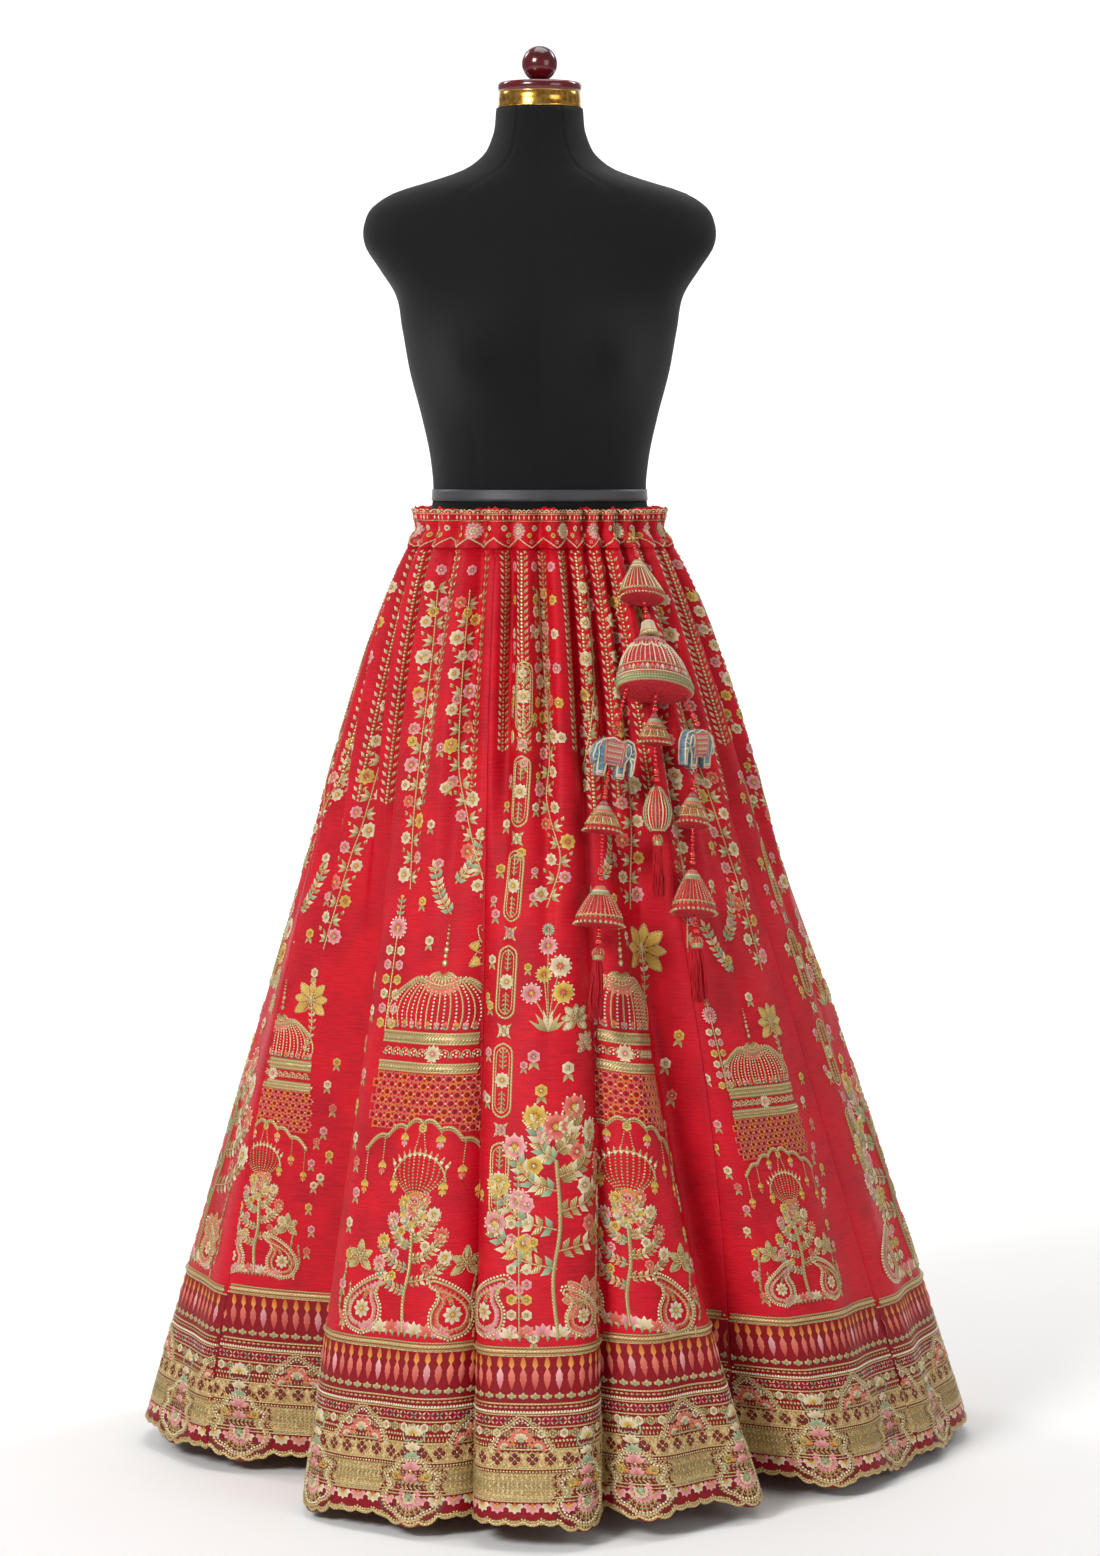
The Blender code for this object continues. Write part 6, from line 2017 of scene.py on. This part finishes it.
def cap_profile(kind, length, radius, rings=26):
    """Radius and height of a cap from its tip down the outer side, then in under its rim."""
    knots = np.array([(0.0, 0.0)] + list(CAP_SHAPES[kind]))
    places = np.linspace(0, len(knots) - 1, rings)
    wide = np.interp(places, np.arange(len(knots)), knots[:, 0])
    down = np.interp(places, np.arange(len(knots)), knots[:, 1])
    outer = np.column_stack([wide * radius, -down * length])
    low = outer[-1]
    under = [(low[0] * 0.90, low[1] + 0.0004), (low[0] * 0.5, low[1] + 0.0012), (0.0, low[1] + 0.0014)]
    return np.concatenate([outer, under])


def turned_surface(profile, depth, matrix, rim):
    """Lays flat corners on a turned piece: across is round its rim, up is height over its foot."""
    outer = profile[:-3]
    foot = outer[-1, 1]

    def place(turn, height):
        reach = np.interp(-height, -outer[:, 1], outer[:, 0])
        return np.stack([reach * np.sin(turn), reach * np.cos(turn) * depth, height], axis=-1)

    def surface(flat):
        turn = flat[:, 0] / rim
        height = np.clip(foot + flat[:, 1], foot, -0.0004)
        along = place(turn + 0.02, height) - place(turn - 0.02, height)
        up = place(turn, height + 0.0004) - place(turn, height - 0.0004)
        normal = np.cross(up, along)
        normal /= np.maximum(np.linalg.norm(normal, axis=-1, keepdims=True), 1e-12)
        return moved(place(turn, height) + normal * flat[:, 2:], matrix)

    return surface


def hang(made, matrix, node):
    """Moves a piece's mesh to where it hangs, in place of its CAD node."""
    made.data.transform(matrix)
    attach(made, "root")
    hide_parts(node)
    return made


print("ornaments:", len(ORNAMENTS))

# %% [markdown]
# ## Materials of the ornaments
# The caps are covered in red silk, the elephants in blue-grey felt. The beads are red
# glass, the spacers cut brass.


# %% Materials of the ornaments
def covered_material(name, deep, colour, light, roughness, sheen, pitch):
    """A woven or felted cover whose colour clouds a little."""
    made, tree, shader = new_material(name, {"Roughness": roughness, "Sheen Weight": sheen})
    place = add(tree, "TexCoord").outputs["Object"]
    cloud = add(tree, "TexNoise", {"Vector": place, "Scale": 260.0, "Detail": 4.0}).outputs[0]
    tree.links.new(ramp(tree, cloud, ((0.3, deep), (0.5, colour), (0.7, light))), shader.inputs["Base Color"])
    weave = thread_weave(tree, place, pitch)
    height = add(tree, "Math", {0: weave, 1: cloud}, operation="ADD").outputs[0]
    bumped(tree, shader, height, 0.0003, 0.6)
    return made


def glass_material(name, colour, deep):
    """Glass beads, painted darker as shade towards their rims, where they turn from the camera."""
    made, tree, shader = new_material(name, {"Roughness": 0.08, "Coat Weight": 0.8, "IOR": 1.52})
    # Painted shade: the colour darkens from the middle of the bead towards its rim.
    facing = add(tree, "LayerWeight", {"Blend": 0.45}).outputs["Facing"]
    tree.links.new(ramp(tree, facing, ((0.1, colour), (0.8, deep))), shader.inputs["Base Color"])
    return made


CAP_SILK = covered_material("red_cap_silk", "#8E0418", "#C00820", "#DC1230", 0.5, 0.05, 0.0009)
FELT = covered_material("blue_grey_felt", "#3F5A6E", "#5F7F94", "#7D9BAE", 0.9, 0.2, 0.0007)
IVORY = covered_material("carved_ivory_resin", "#C9B48C", "#EADCBB", "#F8F0DA", 0.35, 0.0, 0.0020)
GLASS = glass_material("red_glass", "#E01424", "#7C0010")
CUT_BRASS = metal_material("cut_brass", "#F0CB84", "#A87432", 0.24, 700.0)
print("cover materials:", CAP_SILK.name, FELT.name)

# %% [markdown]
# ## Beads on their threads
# A string is a row of small red beads that ends in two large ones with a brass spacer between
# them. One sphere is modelled and copied along the thread.


# %% Beads on their threads
def bead_row(length, radius):
    """Height, radius, half length and material number of each bead of a string."""
    small = radius * 0.56
    rows = [(-length / 2, 0.0007, length / 2, 0)]
    large = length > radius * 8
    low = -length + 0.0012
    if large:
        rows += [(low + radius * 0.86, radius, radius * 0.86, 0),
                 (low + radius * 2.0, radius * 0.78, radius * 0.26, 1),
                 (low + radius * 3.3, radius * 0.80, radius * 1.05, 0)]
        low += radius * 4.5
    else:
        rows += [(low + radius * 0.9, radius, radius * 0.9, 0),
                 (low + radius * 2.0, radius * 0.70, radius * 0.24, 1)]
        low += radius * 2.3
    count = max(1, int((-low - 0.0006) / (small * 1.86)))
    for number in range(count):
        middle = -0.0006 - (number + 0.5) * (-low - 0.0006) / count
        rows.append((middle, small, small * 0.92, 0))
    return rows


def bead_string(name, length, radius):
    """All beads of one string as one mesh."""
    angles = np.linspace(0, math.pi, 10)
    rings = np.column_stack([np.sin(angles), np.cos(angles)])
    rings[[0, -1], 0] = 0.0
    sphere = turned_piece("one_bead", rings, 16)
    corners = np.array([vertex.co[:] for vertex in sphere.data.vertices])
    faces = [list(face.vertices) for face in sphere.data.polygons]
    bpy.data.objects.remove(sphere)
    rows = bead_row(length, radius)
    points = np.concatenate([corners * (wide, wide, half) + (0, 0, middle) for middle, wide, half, _ in rows])
    numbered = [[corner + number * len(corners) for corner in face] for number in range(len(rows))
                for face in faces]
    mesh = bpy.data.meshes.new(name)
    mesh.from_pydata(points, [], numbered)
    made = placed_object(name, mesh, GLASS, CUT_BRASS)
    mesh.polygons.foreach_set("material_index",
                              np.repeat([row[3] for row in rows], len(faces)).astype(np.int32))
    mesh.shade_smooth()
    return made


for name, kind, radius, top, foot in ORNAMENTS:
    if kind == "beads":
        length = (Vector(top) - Vector(foot)).length
        made = hang(bead_string(f"{name}_glass", length, radius), hanging_matrix(top, foot), name)
print(made.name, len(made.data.polygons), "faces")

# %% [markdown]
# ## Caps, bell and bud
# A padded cap is a flattened cone, worked all over in rows: petals at its tip, hoops of mint
# and coral, gold ribs, and a fringe of beads at its rim. The big dome has ribs of gold and
# pearls, a row of tulips and a thick braided rim. The rows are drawn flat, as wide as the rim
# is long, and narrow towards the tip by themselves.


# %% Caps, bell and bud
def hoop(made, rim, up, width, dye, rise=0.0011):
    turns = np.linspace(-math.pi, math.pi, 61) * rim
    made.cord(np.column_stack([turns, np.full(61, up)]), width, dye, rise)


def all_round(rim, count):
    return (np.arange(count) + 0.5) / count * 2 * math.pi * rim - math.pi * rim


def ribs(made, rim, count, low, high, dyes, width):
    """Upright ribs of cord or beads, the dyes taking turns."""
    for number, x in enumerate(all_round(rim, count)):
        dye = dyes[number % len(dyes)]
        if dye == "pearl":
            made.beads([(x, low), (x, high)], 0.0030, 0.0020, dye, 0.0018)
        else:
            made.cord([(x, low), (x, (low + high) / 2), (x, high)], width, dye, 0.0013)


def fringe(made, rim, count, size):
    """Beads along the rim, each under a small gold petal."""
    places = all_round(rim, count)
    made.stitch("bead", places, size * 0.35, size, size, "bead", 0.0, size * 0.9)
    made.stitch("petal", places, size * 1.2, size * 1.5, size * 0.8, "gold", 0.0, 0.0014)


def dome_pattern(rim, length):
    made = Pattern()
    for up, dye, width in ((0.0016, "khaki", 0.0028), (0.0042, "mint", 0.0026), (0.0068, "gold", 0.0026),
                           (0.0094, "khaki", 0.0026)):
        hoop(made, rim, up, width, dye, 0.0020)
    count = 88
    made.stitch("leaf", all_round(rim, count), 0.0008, 0.0060, 0.0022, "gold", 40, 0.0026)
    made.stitch("leaf", all_round(rim, count), 0.0050, 0.0060, 0.0022, "mint", -40, 0.0026)
    hoop(made, rim, 0.0122, 0.0014, "cream", 0.0016)
    for number, x in enumerate(all_round(rim, 44)):
        made.stitch("petal", x, 0.0132, 0.0088, 0.0046, ("pink", "coral", "cream")[number % 3], 0, 0.0018)
        made.stitch("leaf", x + rim * math.pi / 44, 0.0132, 0.0058, 0.0022, "mint", 0, 0.0014)
    hoop(made, rim, 0.0236, 0.0015, "gold", 0.0016)
    ribs(made, rim, 40, 0.0246, length * 0.80, ("cream", "pearl"), 0.0019)
    for number in range(14):
        x = all_round(rim, 14)[number]
        made.cord(arc(x, length * 0.80, rim * math.pi / 14, -0.0060, -90, 90, 8), 0.0024, "cream", 0.0018)
        made.stitch("bead", x, length * 0.80 - 0.0072, 0.0030, 0.0030, "bead")
    for ring, (up, dye) in enumerate(((0.815, "pink"), (0.865, "pink"), (0.91, "coral"))):
        made.stitch("petal", all_round(rim, 22) + ring % 2 * 0.004, length * up, 0.0095, 0.0125, dye, 0,
                    0.0024)
        made.stitch("bead", all_round(rim, 11), length * up + 0.004, 0.0030, 0.0060, "bead", 0, 0.0026)
    return made


def upper_pattern(rim, length):
    made = Pattern()
    fringe(made, rim, 40, 0.0036)
    hoop(made, rim, 0.0074, 0.0020, "gold", 0.0016)
    ribs(made, rim, 30, 0.0084, length * 0.74, ("cream", "gold"), 0.0021)
    for up, dye in ((0.75, "gold"), (0.80, "cream"), (0.85, "gold"), (0.90, "cream"), (0.94, "gold")):
        hoop(made, rim, length * up, 0.0026, dye, 0.0018)
    return made


def small_pattern(rim, length):
    """Tiers: pink tip, mint, coral, a dark zigzag, khaki ribs and a beaded rim."""
    made = Pattern()
    fringe(made, rim, 24, 0.0040)
    hoop(made, rim, length * 0.21, 0.0016, "gold", 0.0016)
    ribs(made, rim, 44, length * 0.23, length * 0.44, ("khaki", "orange", "khaki", "cream"), 0.0022)
    hoop(made, rim, length * 0.45, 0.0014, "coral", 0.0016)
    points = 28
    zigzag = [((n / points - 1) * math.pi * rim, length * (0.48 if n % 2 else 0.57))
              for n in range(points * 2 + 1)]
    made.cord(zigzag, 0.0013, "gold", 0.0016)
    for up, dye in ((0.60, "gold"), (0.645, "coral"), (0.69, "coral"), (0.735, "mint"), (0.78, "mint"),
                    (0.815, "gold")):
        hoop(made, rim, length * up, 0.0019, dye, 0.0015)
    made.stitch("petal", all_round(rim, 12), length * 0.83, 0.0064, rim * 0.5, "pink", 0, 0.0018)
    made.stitch("petal", all_round(rim, 12), length * 0.90, 0.0050, rim * 0.5, "cream", 0, 0.0016)
    return made


def ribbed_pattern(rim, length):
    """Ribs of gold beads on dark red, hoops at the tip and a fringe of drops."""
    made = Pattern()
    fringe(made, rim, 28, 0.0046)
    hoop(made, rim, length * 0.20, 0.0018, "gold", 0.0016)
    for number, x in enumerate(all_round(rim, 30)):
        line = [(x, length * 0.22), (x, length * 0.70)]
        if number % 2:
            made.cord(line, 0.0016, "coral", 0.0013)
        else:
            made.beads(line, 0.0030, 0.0026, "bead", 0.0020)
    for up, dye in ((0.72, "gold"), (0.765, "mint"), (0.81, "cream"), (0.855, "coral"), (0.90, "gold")):
        hoop(made, rim, length * up, 0.0022, dye, 0.0016)
    return made


def bud_pattern(rim, length):
    made = Pattern()
    ribs(made, rim, 22, length * 0.07, length * 0.94, ("gold", "mint", "gold", "cream"), 0.0015)
    made.stitch("petal", all_round(rim, 11), length * 0.62, length * 0.30, rim * 0.42, "crimson", 0, 0.0016)
    hoop(made, rim, length * 0.055, 0.0022, "gold", 0.0016)
    return made


def bell_pattern(rim, length):
    made = Pattern()
    hoop(made, rim, 0.0016, 0.0026, "gold", 0.0012)
    hoop(made, rim, length * 0.24, 0.0014, "gold", 0.0008)
    ribs(made, rim, 20, length * 0.28, length * 0.90, ("cream",), 0.0022)
    return made


def cap_work(name, kind):
    if kind == "cap":
        return upper_pattern if "upper" in name else (ribbed_pattern if "ribbed" in name else small_pattern)
    return {"dome": dome_pattern, "bud": bud_pattern, "bell": bell_pattern}[kind]


for name, kind, radius, top, foot in ORNAMENTS:
    if kind not in CAP_SHAPES:
        continue
    length = (Vector(top) - Vector(foot)).length
    profile = cap_profile(kind, length, radius)
    matrix = hanging_matrix(top, foot)
    made = turned_piece(f"{name}_cover", profile, 72, FLATNESS[kind])
    made.data.materials.append(IVORY if kind == "bell" else CAP_SILK)
    hang(made, matrix, name)
    work = cap_work(name, kind)(radius, length)
    made = lay(f"{name}_work", work, turned_surface(profile, FLATNESS[kind], matrix, radius))
    print(made.name, len(made.data.polygons), "faces")

# %% [markdown]
# ## Elephants
# Two padded felt elephants face each other, as on many latkans. The outline is given its
# thickness, remeshed and smoothed until it looks stuffed. Their outline, saddle cloth, anklets
# and ear are worked on both faces.

# %% Elephants
ELEPHANT_OUTLINE = (
    (-0.62, 0.28), (-0.60, 0.10), (-0.50, 0.10), (-0.50, 0.40), (-0.44, 0.52), (-0.38, 0.40),
    (-0.38, 0.00), (-0.16, 0.00), (-0.14, 0.30), (0.10, 0.30), (0.12, 0.00), (0.36, 0.00), (0.38, 0.36),
    (0.46, 0.30), (0.52, 0.44), (0.46, 0.76), (0.28, 0.92), (0.02, 1.00), (-0.20, 0.92), (-0.34, 1.00),
    (-0.52, 0.94), (-0.62, 0.70),
)
ELEPHANT_THICKNESS = 0.0125


def elephant_body(name, height, facing):
    """The stuffed body in its own axes, its back at the origin's height."""
    outline = [(x * height * facing, (up - 1) * height) for x, up in ELEPHANT_OUTLINE]
    count = len(outline)
    front = [(x, ELEPHANT_THICKNESS / 2, z) for x, z in outline]
    back = [(x, -ELEPHANT_THICKNESS / 2, z) for x, z in outline]
    sides = [(n, (n + 1) % count, count + (n + 1) % count, count + n) for n in range(count)]
    mesh = bpy.data.meshes.new(name)
    mesh.from_pydata(front + back, [], [tuple(range(count)), tuple(range(count * 2 - 1, count - 1, -1))]
                     + sides)
    made = placed_object(name, mesh, FELT)
    bpy.ops.object.select_all(action="DESELECT")
    made.select_set(True)
    bpy.context.view_layer.objects.active = made
    bpy.ops.object.mode_set(mode="EDIT")
    bpy.ops.mesh.select_all(action="SELECT")
    bpy.ops.mesh.normals_make_consistent(inside=False)
    bpy.ops.object.mode_set(mode="OBJECT")
    remesh = made.modifiers.new("stuffed", "REMESH")
    remesh.mode = "VOXEL"
    remesh.voxel_size = 0.0012
    smooth = made.modifiers.new("rounded", "SMOOTH")
    smooth.factor = 0.5
    smooth.iterations = 8
    finish_modifiers(made)
    places = np.array([vertex.co[:] for vertex in made.data.vertices])
    corners = np.array(outline)
    edges = np.roll(corners, -1, axis=0) - corners
    from_corner = places[:, None, ::2] - corners[None]
    share = np.clip((from_corner * edges).sum(axis=2) / (edges**2).sum(axis=1), 0, 1)
    reach = np.linalg.norm(from_corner - share[..., None] * edges, axis=2).min(axis=1)
    full = np.sqrt(1 - (1 - np.clip(reach / (height * 0.15), 0, 1)) ** 2)
    places[:, 1] *= 0.16 + 0.84 * full
    made.data.vertices.foreach_set("co", places.reshape(-1))
    made.data.update()
    made.data.shade_smooth()
    return made


def elephant_pattern(height, facing):
    """Outline beads, saddle cloth, ear, eye, tusk and anklets, drawn on the flat outline."""
    made = Pattern()
    outline = np.array(ELEPHANT_OUTLINE) - (0, 1)
    ahead = np.roll(outline, -1, axis=0) - outline
    ahead /= np.linalg.norm(ahead, axis=1, keepdims=True)
    inward = np.column_stack([-ahead[:, 1], ahead[:, 0]])
    corner = inward + np.roll(inward, 1, axis=0)
    corner /= np.maximum((corner * np.roll(inward, 1, axis=0)).sum(axis=1, keepdims=True), 0.45)
    line = outline + corner * 0.038
    line = np.concatenate([line, line[:1]])
    made.cord(line, 0.030, "cream", 0.030)
    made.beads(line, 0.034, 0.026, "pearl", 0.046)
    for row in range(11):
        up = -0.13 - row * 0.046
        low, high = -0.245 + row * 0.004, 0.185 - row * 0.002
        zigzag = [(low + (high - low) * n / 12, up + (0.016 if n % 2 else -0.016)) for n in range(13)]
        made.cord(zigzag, 0.042, ("coral", "pink", "cream")[row % 3], 0.034)
    saddle = [(-0.27, -0.09), (-0.255, -0.66), (0.175, -0.66), (0.205, -0.09)]
    made.cord(saddle, 0.036, "coral", 0.040)
    edge = [(-0.30, -0.07), (-0.285, -0.70), (0.205, -0.70), (0.235, -0.07)]
    made.beads(edge, 0.042, 0.036, "bead", 0.050)
    ear = [(-0.36, -0.13), (-0.30, -0.24), (-0.33, -0.42), (-0.41, -0.47), (-0.46, -0.33), (-0.43, -0.18),
           (-0.36, -0.13)]
    made.cord(ear, 0.026, "cream", 0.040)
    made.stitch("petal", -0.40, -0.42, 0.26, 0.10, "blue", 8, 0.034)
    made.stitch("bead", -0.50, -0.22, 0.050, 0.050, "cream", 0, 0.040)
    made.stitch("bead", -0.50, -0.22, 0.028, 0.028, "maroon", 0, 0.060)
    made.stitch("petal", -0.46, -0.43, 0.17, 0.050, "pearl", -112, 0.05)
    made.cord([(-0.56, -0.30), (-0.50, -0.36), (-0.44, -0.34)], 0.024, "cream", 0.036)
    for low, high in ((-0.36, -0.18), (0.14, 0.34)):
        for up, dye in ((-0.95, "coral"), (-0.915, "cream"), (-0.88, "cream")):
            made.cord([(low, up), (high, up)], 0.034, dye, 0.036)
    made.cord([(0.30, -0.16), (0.38, -0.34), (0.34, -0.56)], 0.024, "cream", 0.034)
    whole = Pattern()
    whole.put(made, 0, 0, height, 0, facing < 0)
    for groups in whole.stitches.values():
        for rows in groups:
            rows[:, 5] *= height
    whole.cords = [(points, width * height, rise * height, dye) for points, width, rise, dye in whole.cords]
    return whole


def felt_surface(body, matrix, side):
    """Lays flat corners on one face of the stuffed body, found by casting rays at it."""
    tree = BVHTree.FromPolygons([v.co[:] for v in body.data.vertices],
                                [p.vertices[:] for p in body.data.polygons])

    def surface(flat):
        points = []
        for x, z, height in flat:
            hit, normal = tree.ray_cast(Vector((x, side * 0.05, z)), Vector((0, -side, 0)))[:2]
            if hit is None:
                hit, normal = tree.find_nearest(Vector((x, side * 0.003, z)))[:2]
            if normal.y * side < 0:
                normal = -normal
            points.append(hit + normal * height)
        return moved(np.array([point[:] for point in points]), matrix)

    return surface


for name, kind, radius, top, foot in ORNAMENTS:
    if kind not in ("elephant", "mirrored"):
        continue
    facing = 1.0 if kind == "elephant" else -1.0
    height = (Vector(top) - Vector(foot)).length
    matrix = hanging_matrix(top, foot)
    body = elephant_body(f"{name}_felt", height, facing)
    work = elephant_pattern(height, facing)
    for side, word in ((1, "front"), (-1, "back")):
        made = lay(f"{name}_{word}_work", work, felt_surface(body, matrix, side))
        if side < 0:
            made.data.flip_normals()
    hang(body, matrix, name)
    print(body.name, len(body.data.polygons), "faces")

# %% [markdown]
# ## Tassels
# A tassel is a bound head with a skirt of silk strands. Each strand is a thin tube of its own,
# a little out of line with its neighbours, and red floss throughout.

# %% Tassels
STRANDS = 150
STRAND_LEVELS = 9


def tassel(name, length, radius, matrix):
    """The head, its gold binding and the strands of one tassel."""
    head_drop = length * 0.20
    collar = radius * 0.62
    head_profile = [(0.0, 0.0), (0.0012, -0.0002), (collar * 0.55, -head_drop * 0.16),
                    (collar, -head_drop * 0.42),
                    (collar * 0.86, -head_drop * 0.70), (collar * 0.70, -head_drop * 0.82),
                    (collar * 0.86, -head_drop),
                    (collar * 0.8, -head_drop - 0.0004), (collar * 0.5, -head_drop - 0.0006),
                    (0.0, -head_drop - 0.0006)]
    head = turned_piece(f"{name}_head", head_profile, 24)
    head.data.materials.append(CAP_SILK)
    hang(head, matrix, name)
    binding = Pattern()
    for number, dye in enumerate(("gold", "mint", "gold", "gold")):
        hoop(binding, collar, head_drop * 0.13 + number * 0.0013, 0.0013, dye, 0.0009)
    ribs(binding, collar, 12, head_drop * 0.45, head_drop * 0.86, ("coral", "gold"), 0.0014)
    lay(f"{name}_binding", binding, turned_surface(np.array(head_profile), 1.0, matrix, collar))
    angles = rng.uniform(0, 2 * math.pi, STRANDS)
    reaches = np.sqrt(rng.uniform(0, 1, STRANDS))
    share = np.linspace(0, 1, STRAND_LEVELS)
    ends = length * rng.uniform(0.93, 0.995, STRANDS)
    sway = rng.uniform(-0.0011, 0.0011, (2, STRANDS, 1))
    spread = collar * 0.78 * (1 - share) + radius * 0.86 * share**0.8
    centre_x = (reaches * np.cos(angles))[:, None] * spread + sway[0] * np.sin(share * 7 + angles[:, None])
    centre_y = (reaches * np.sin(angles))[:, None] * spread + sway[1] * np.cos(share * 6 + angles[:, None])
    centre_z = -head_drop * 0.95 - (ends - head_drop)[:, None] * share
    thick = 0.00042 * (1 - 0.55 * share**4)
    corner = np.radians([90, 210, 330])
    points = np.stack([
        centre_x[..., None] + thick[None, :, None] * np.cos(corner),
        centre_y[..., None] + thick[None, :, None] * np.sin(corner),
        np.repeat(centre_z[..., None], 3, axis=-1),
    ], axis=-1)
    first = (np.arange(STRANDS) * STRAND_LEVELS * 3)[:, None, None]
    level = (np.arange(STRAND_LEVELS - 1) * 3)[None, :, None]
    side = np.arange(3)[None, None, :]
    turn = (side + 1) % 3
    quads = np.stack([first + level + side, first + level + 3 + side, first + level + 3 + turn,
                      first + level + turn], -1)
    mesh = bpy.data.meshes.new(f"{name}_strands")
    mesh.from_pydata(moved(points.reshape(-1, 3), matrix), [], quads.reshape(-1, 4))
    dyes = np.repeat(DYE_TABLE[DYE_NAMES.index("crimson")].mean(axis=0)[None], STRANDS, axis=0)
    dyes = dyes * rng.uniform(0.75, 1.2, (STRANDS, 1))
    mesh.attributes.new("dye", "FLOAT_COLOR", "POINT").data.foreach_set(
        "color", np.repeat(dyes, STRAND_LEVELS * 3, axis=0).reshape(-1)
    )
    corners = quads.reshape(-1)
    uv = np.stack([(corners % 3) * 0.0003, (corners // 3 % STRAND_LEVELS) * length / STRAND_LEVELS], axis=1)
    mesh.uv_layers.new(name="cloth").data.foreach_set("uv", uv.reshape(-1))
    made = placed_object(f"{name}_strands", mesh, FINISHES[FLOSS])
    mesh.shade_smooth()
    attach(made, "root")
    return made


for name, kind, radius, top, foot in ORNAMENTS:
    if kind == "tassel":
        made = tassel(name, (Vector(top) - Vector(foot)).length, radius, hanging_matrix(top, foot))
        print(made.name, len(made.data.polygons), "faces")

# %% [markdown]
# ## Drawstring and its ring
# The drawstring leaves the band in front, on the wearer's left, as a twisted gold cord of two
# plies. A brass ring slides on it above the first beads.

# %% Drawstring and its ring
DRAWSTRING_PATH = (
    (0.1033, -0.0748, 1.0800), (0.1054, -0.0760, 1.0804), (0.1065, -0.0781, 1.0803),
    (0.1069, -0.0829, 1.0791),
    (0.1071, -0.0907, 1.0772), (0.1070, -0.0983, 1.0750), (0.1070, -0.1025, 1.0733),
    (0.1070, -0.1030, 1.0720),
    (0.1070, -0.1022, 1.0705), (0.1070, -0.1017, 1.0685), (0.1070, -0.1016, 1.0658),
)
CORD_RADIUS = 0.0018
RING_PLACE = Matrix(((0.9782, 0.0290, -0.2055, 0.1044), (0.0290, 0.9615, 0.2734, -0.1036),
                     (0.2055, -0.2734, 0.9397, 1.0685), (0.0, 0.0, 0.0, 1.0)))
route = np.array(DRAWSTRING_PATH)
along = np.concatenate([[0], np.cumsum(np.linalg.norm(np.diff(route, axis=0), axis=1))])
steps = np.linspace(0, along[-1], 90)
line = np.stack([np.interp(steps, along, route[:, axis]) for axis in range(3)], axis=1)
ahead = np.gradient(line, axis=0)
ahead /= np.linalg.norm(ahead, axis=1, keepdims=True)
across = np.cross(ahead, (1.0, 0.0, 0.0))
across /= np.linalg.norm(across, axis=1, keepdims=True)
beside = np.cross(ahead, across)
plies = []
for ply in range(2):
    lean = steps / 0.0062 * 2 * math.pi + ply * math.pi
    middle = line + (across * np.cos(lean)[:, None] + beside * np.sin(lean)[:, None]) * CORD_RADIUS * 0.48
    turns = np.linspace(0, 2 * math.pi, 12, endpoint=False)
    plies.append(middle[:, None] + (
        across[:, None] * np.cos(turns)[None, :, None] + beside[:, None] * np.sin(turns)[None, :, None]
    ) * CORD_RADIUS * 0.52)
points = np.concatenate(plies)
index = np.arange(2 * 90 * 12).reshape(2, 90, 12)
after = np.roll(index, -1, axis=2)
quads = np.stack([index[:, :-1], index[:, 1:], after[:, 1:], after[:, :-1]], axis=-1).reshape(-1, 4)
mesh = bpy.data.meshes.new("drawstring_cord")
mesh.from_pydata(points.reshape(-1, 3), [], quads)
corners = quads.reshape(-1)
uv = np.stack([(corners % 12) * CORD_RADIUS / 4, (corners // 12 % 90) * along[-1] / 90], axis=1)
mesh.uv_layers.new(name="cloth").data.foreach_set("uv", uv.reshape(-1))
gold = np.tile(DYE_TABLE[DYE_NAMES.index("gold")].mean(axis=0), len(mesh.vertices))
mesh.attributes.new("dye", "FLOAT_COLOR", "POINT").data.foreach_set("color", gold)
mesh.shade_smooth()
drawstring = placed_object("drawstring_cord", mesh, FINISHES[ZARI])
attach(drawstring, "root")
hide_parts("drawstring_end")

bpy.ops.object.select_all(action="DESELECT")
bpy.ops.mesh.primitive_torus_add(major_radius=0.0070, minor_radius=0.0011, major_segments=48,
                                 minor_segments=14)
ring = bpy.context.object
ring.name = ring.data.name = "brass_ring"
ring.data.materials.append(CUT_BRASS)
ring.data.shade_smooth()
hang(ring, RING_PLACE, "drawstring_ring")
print("drawstring end:", round(float(along[-1]), 4), "metres")
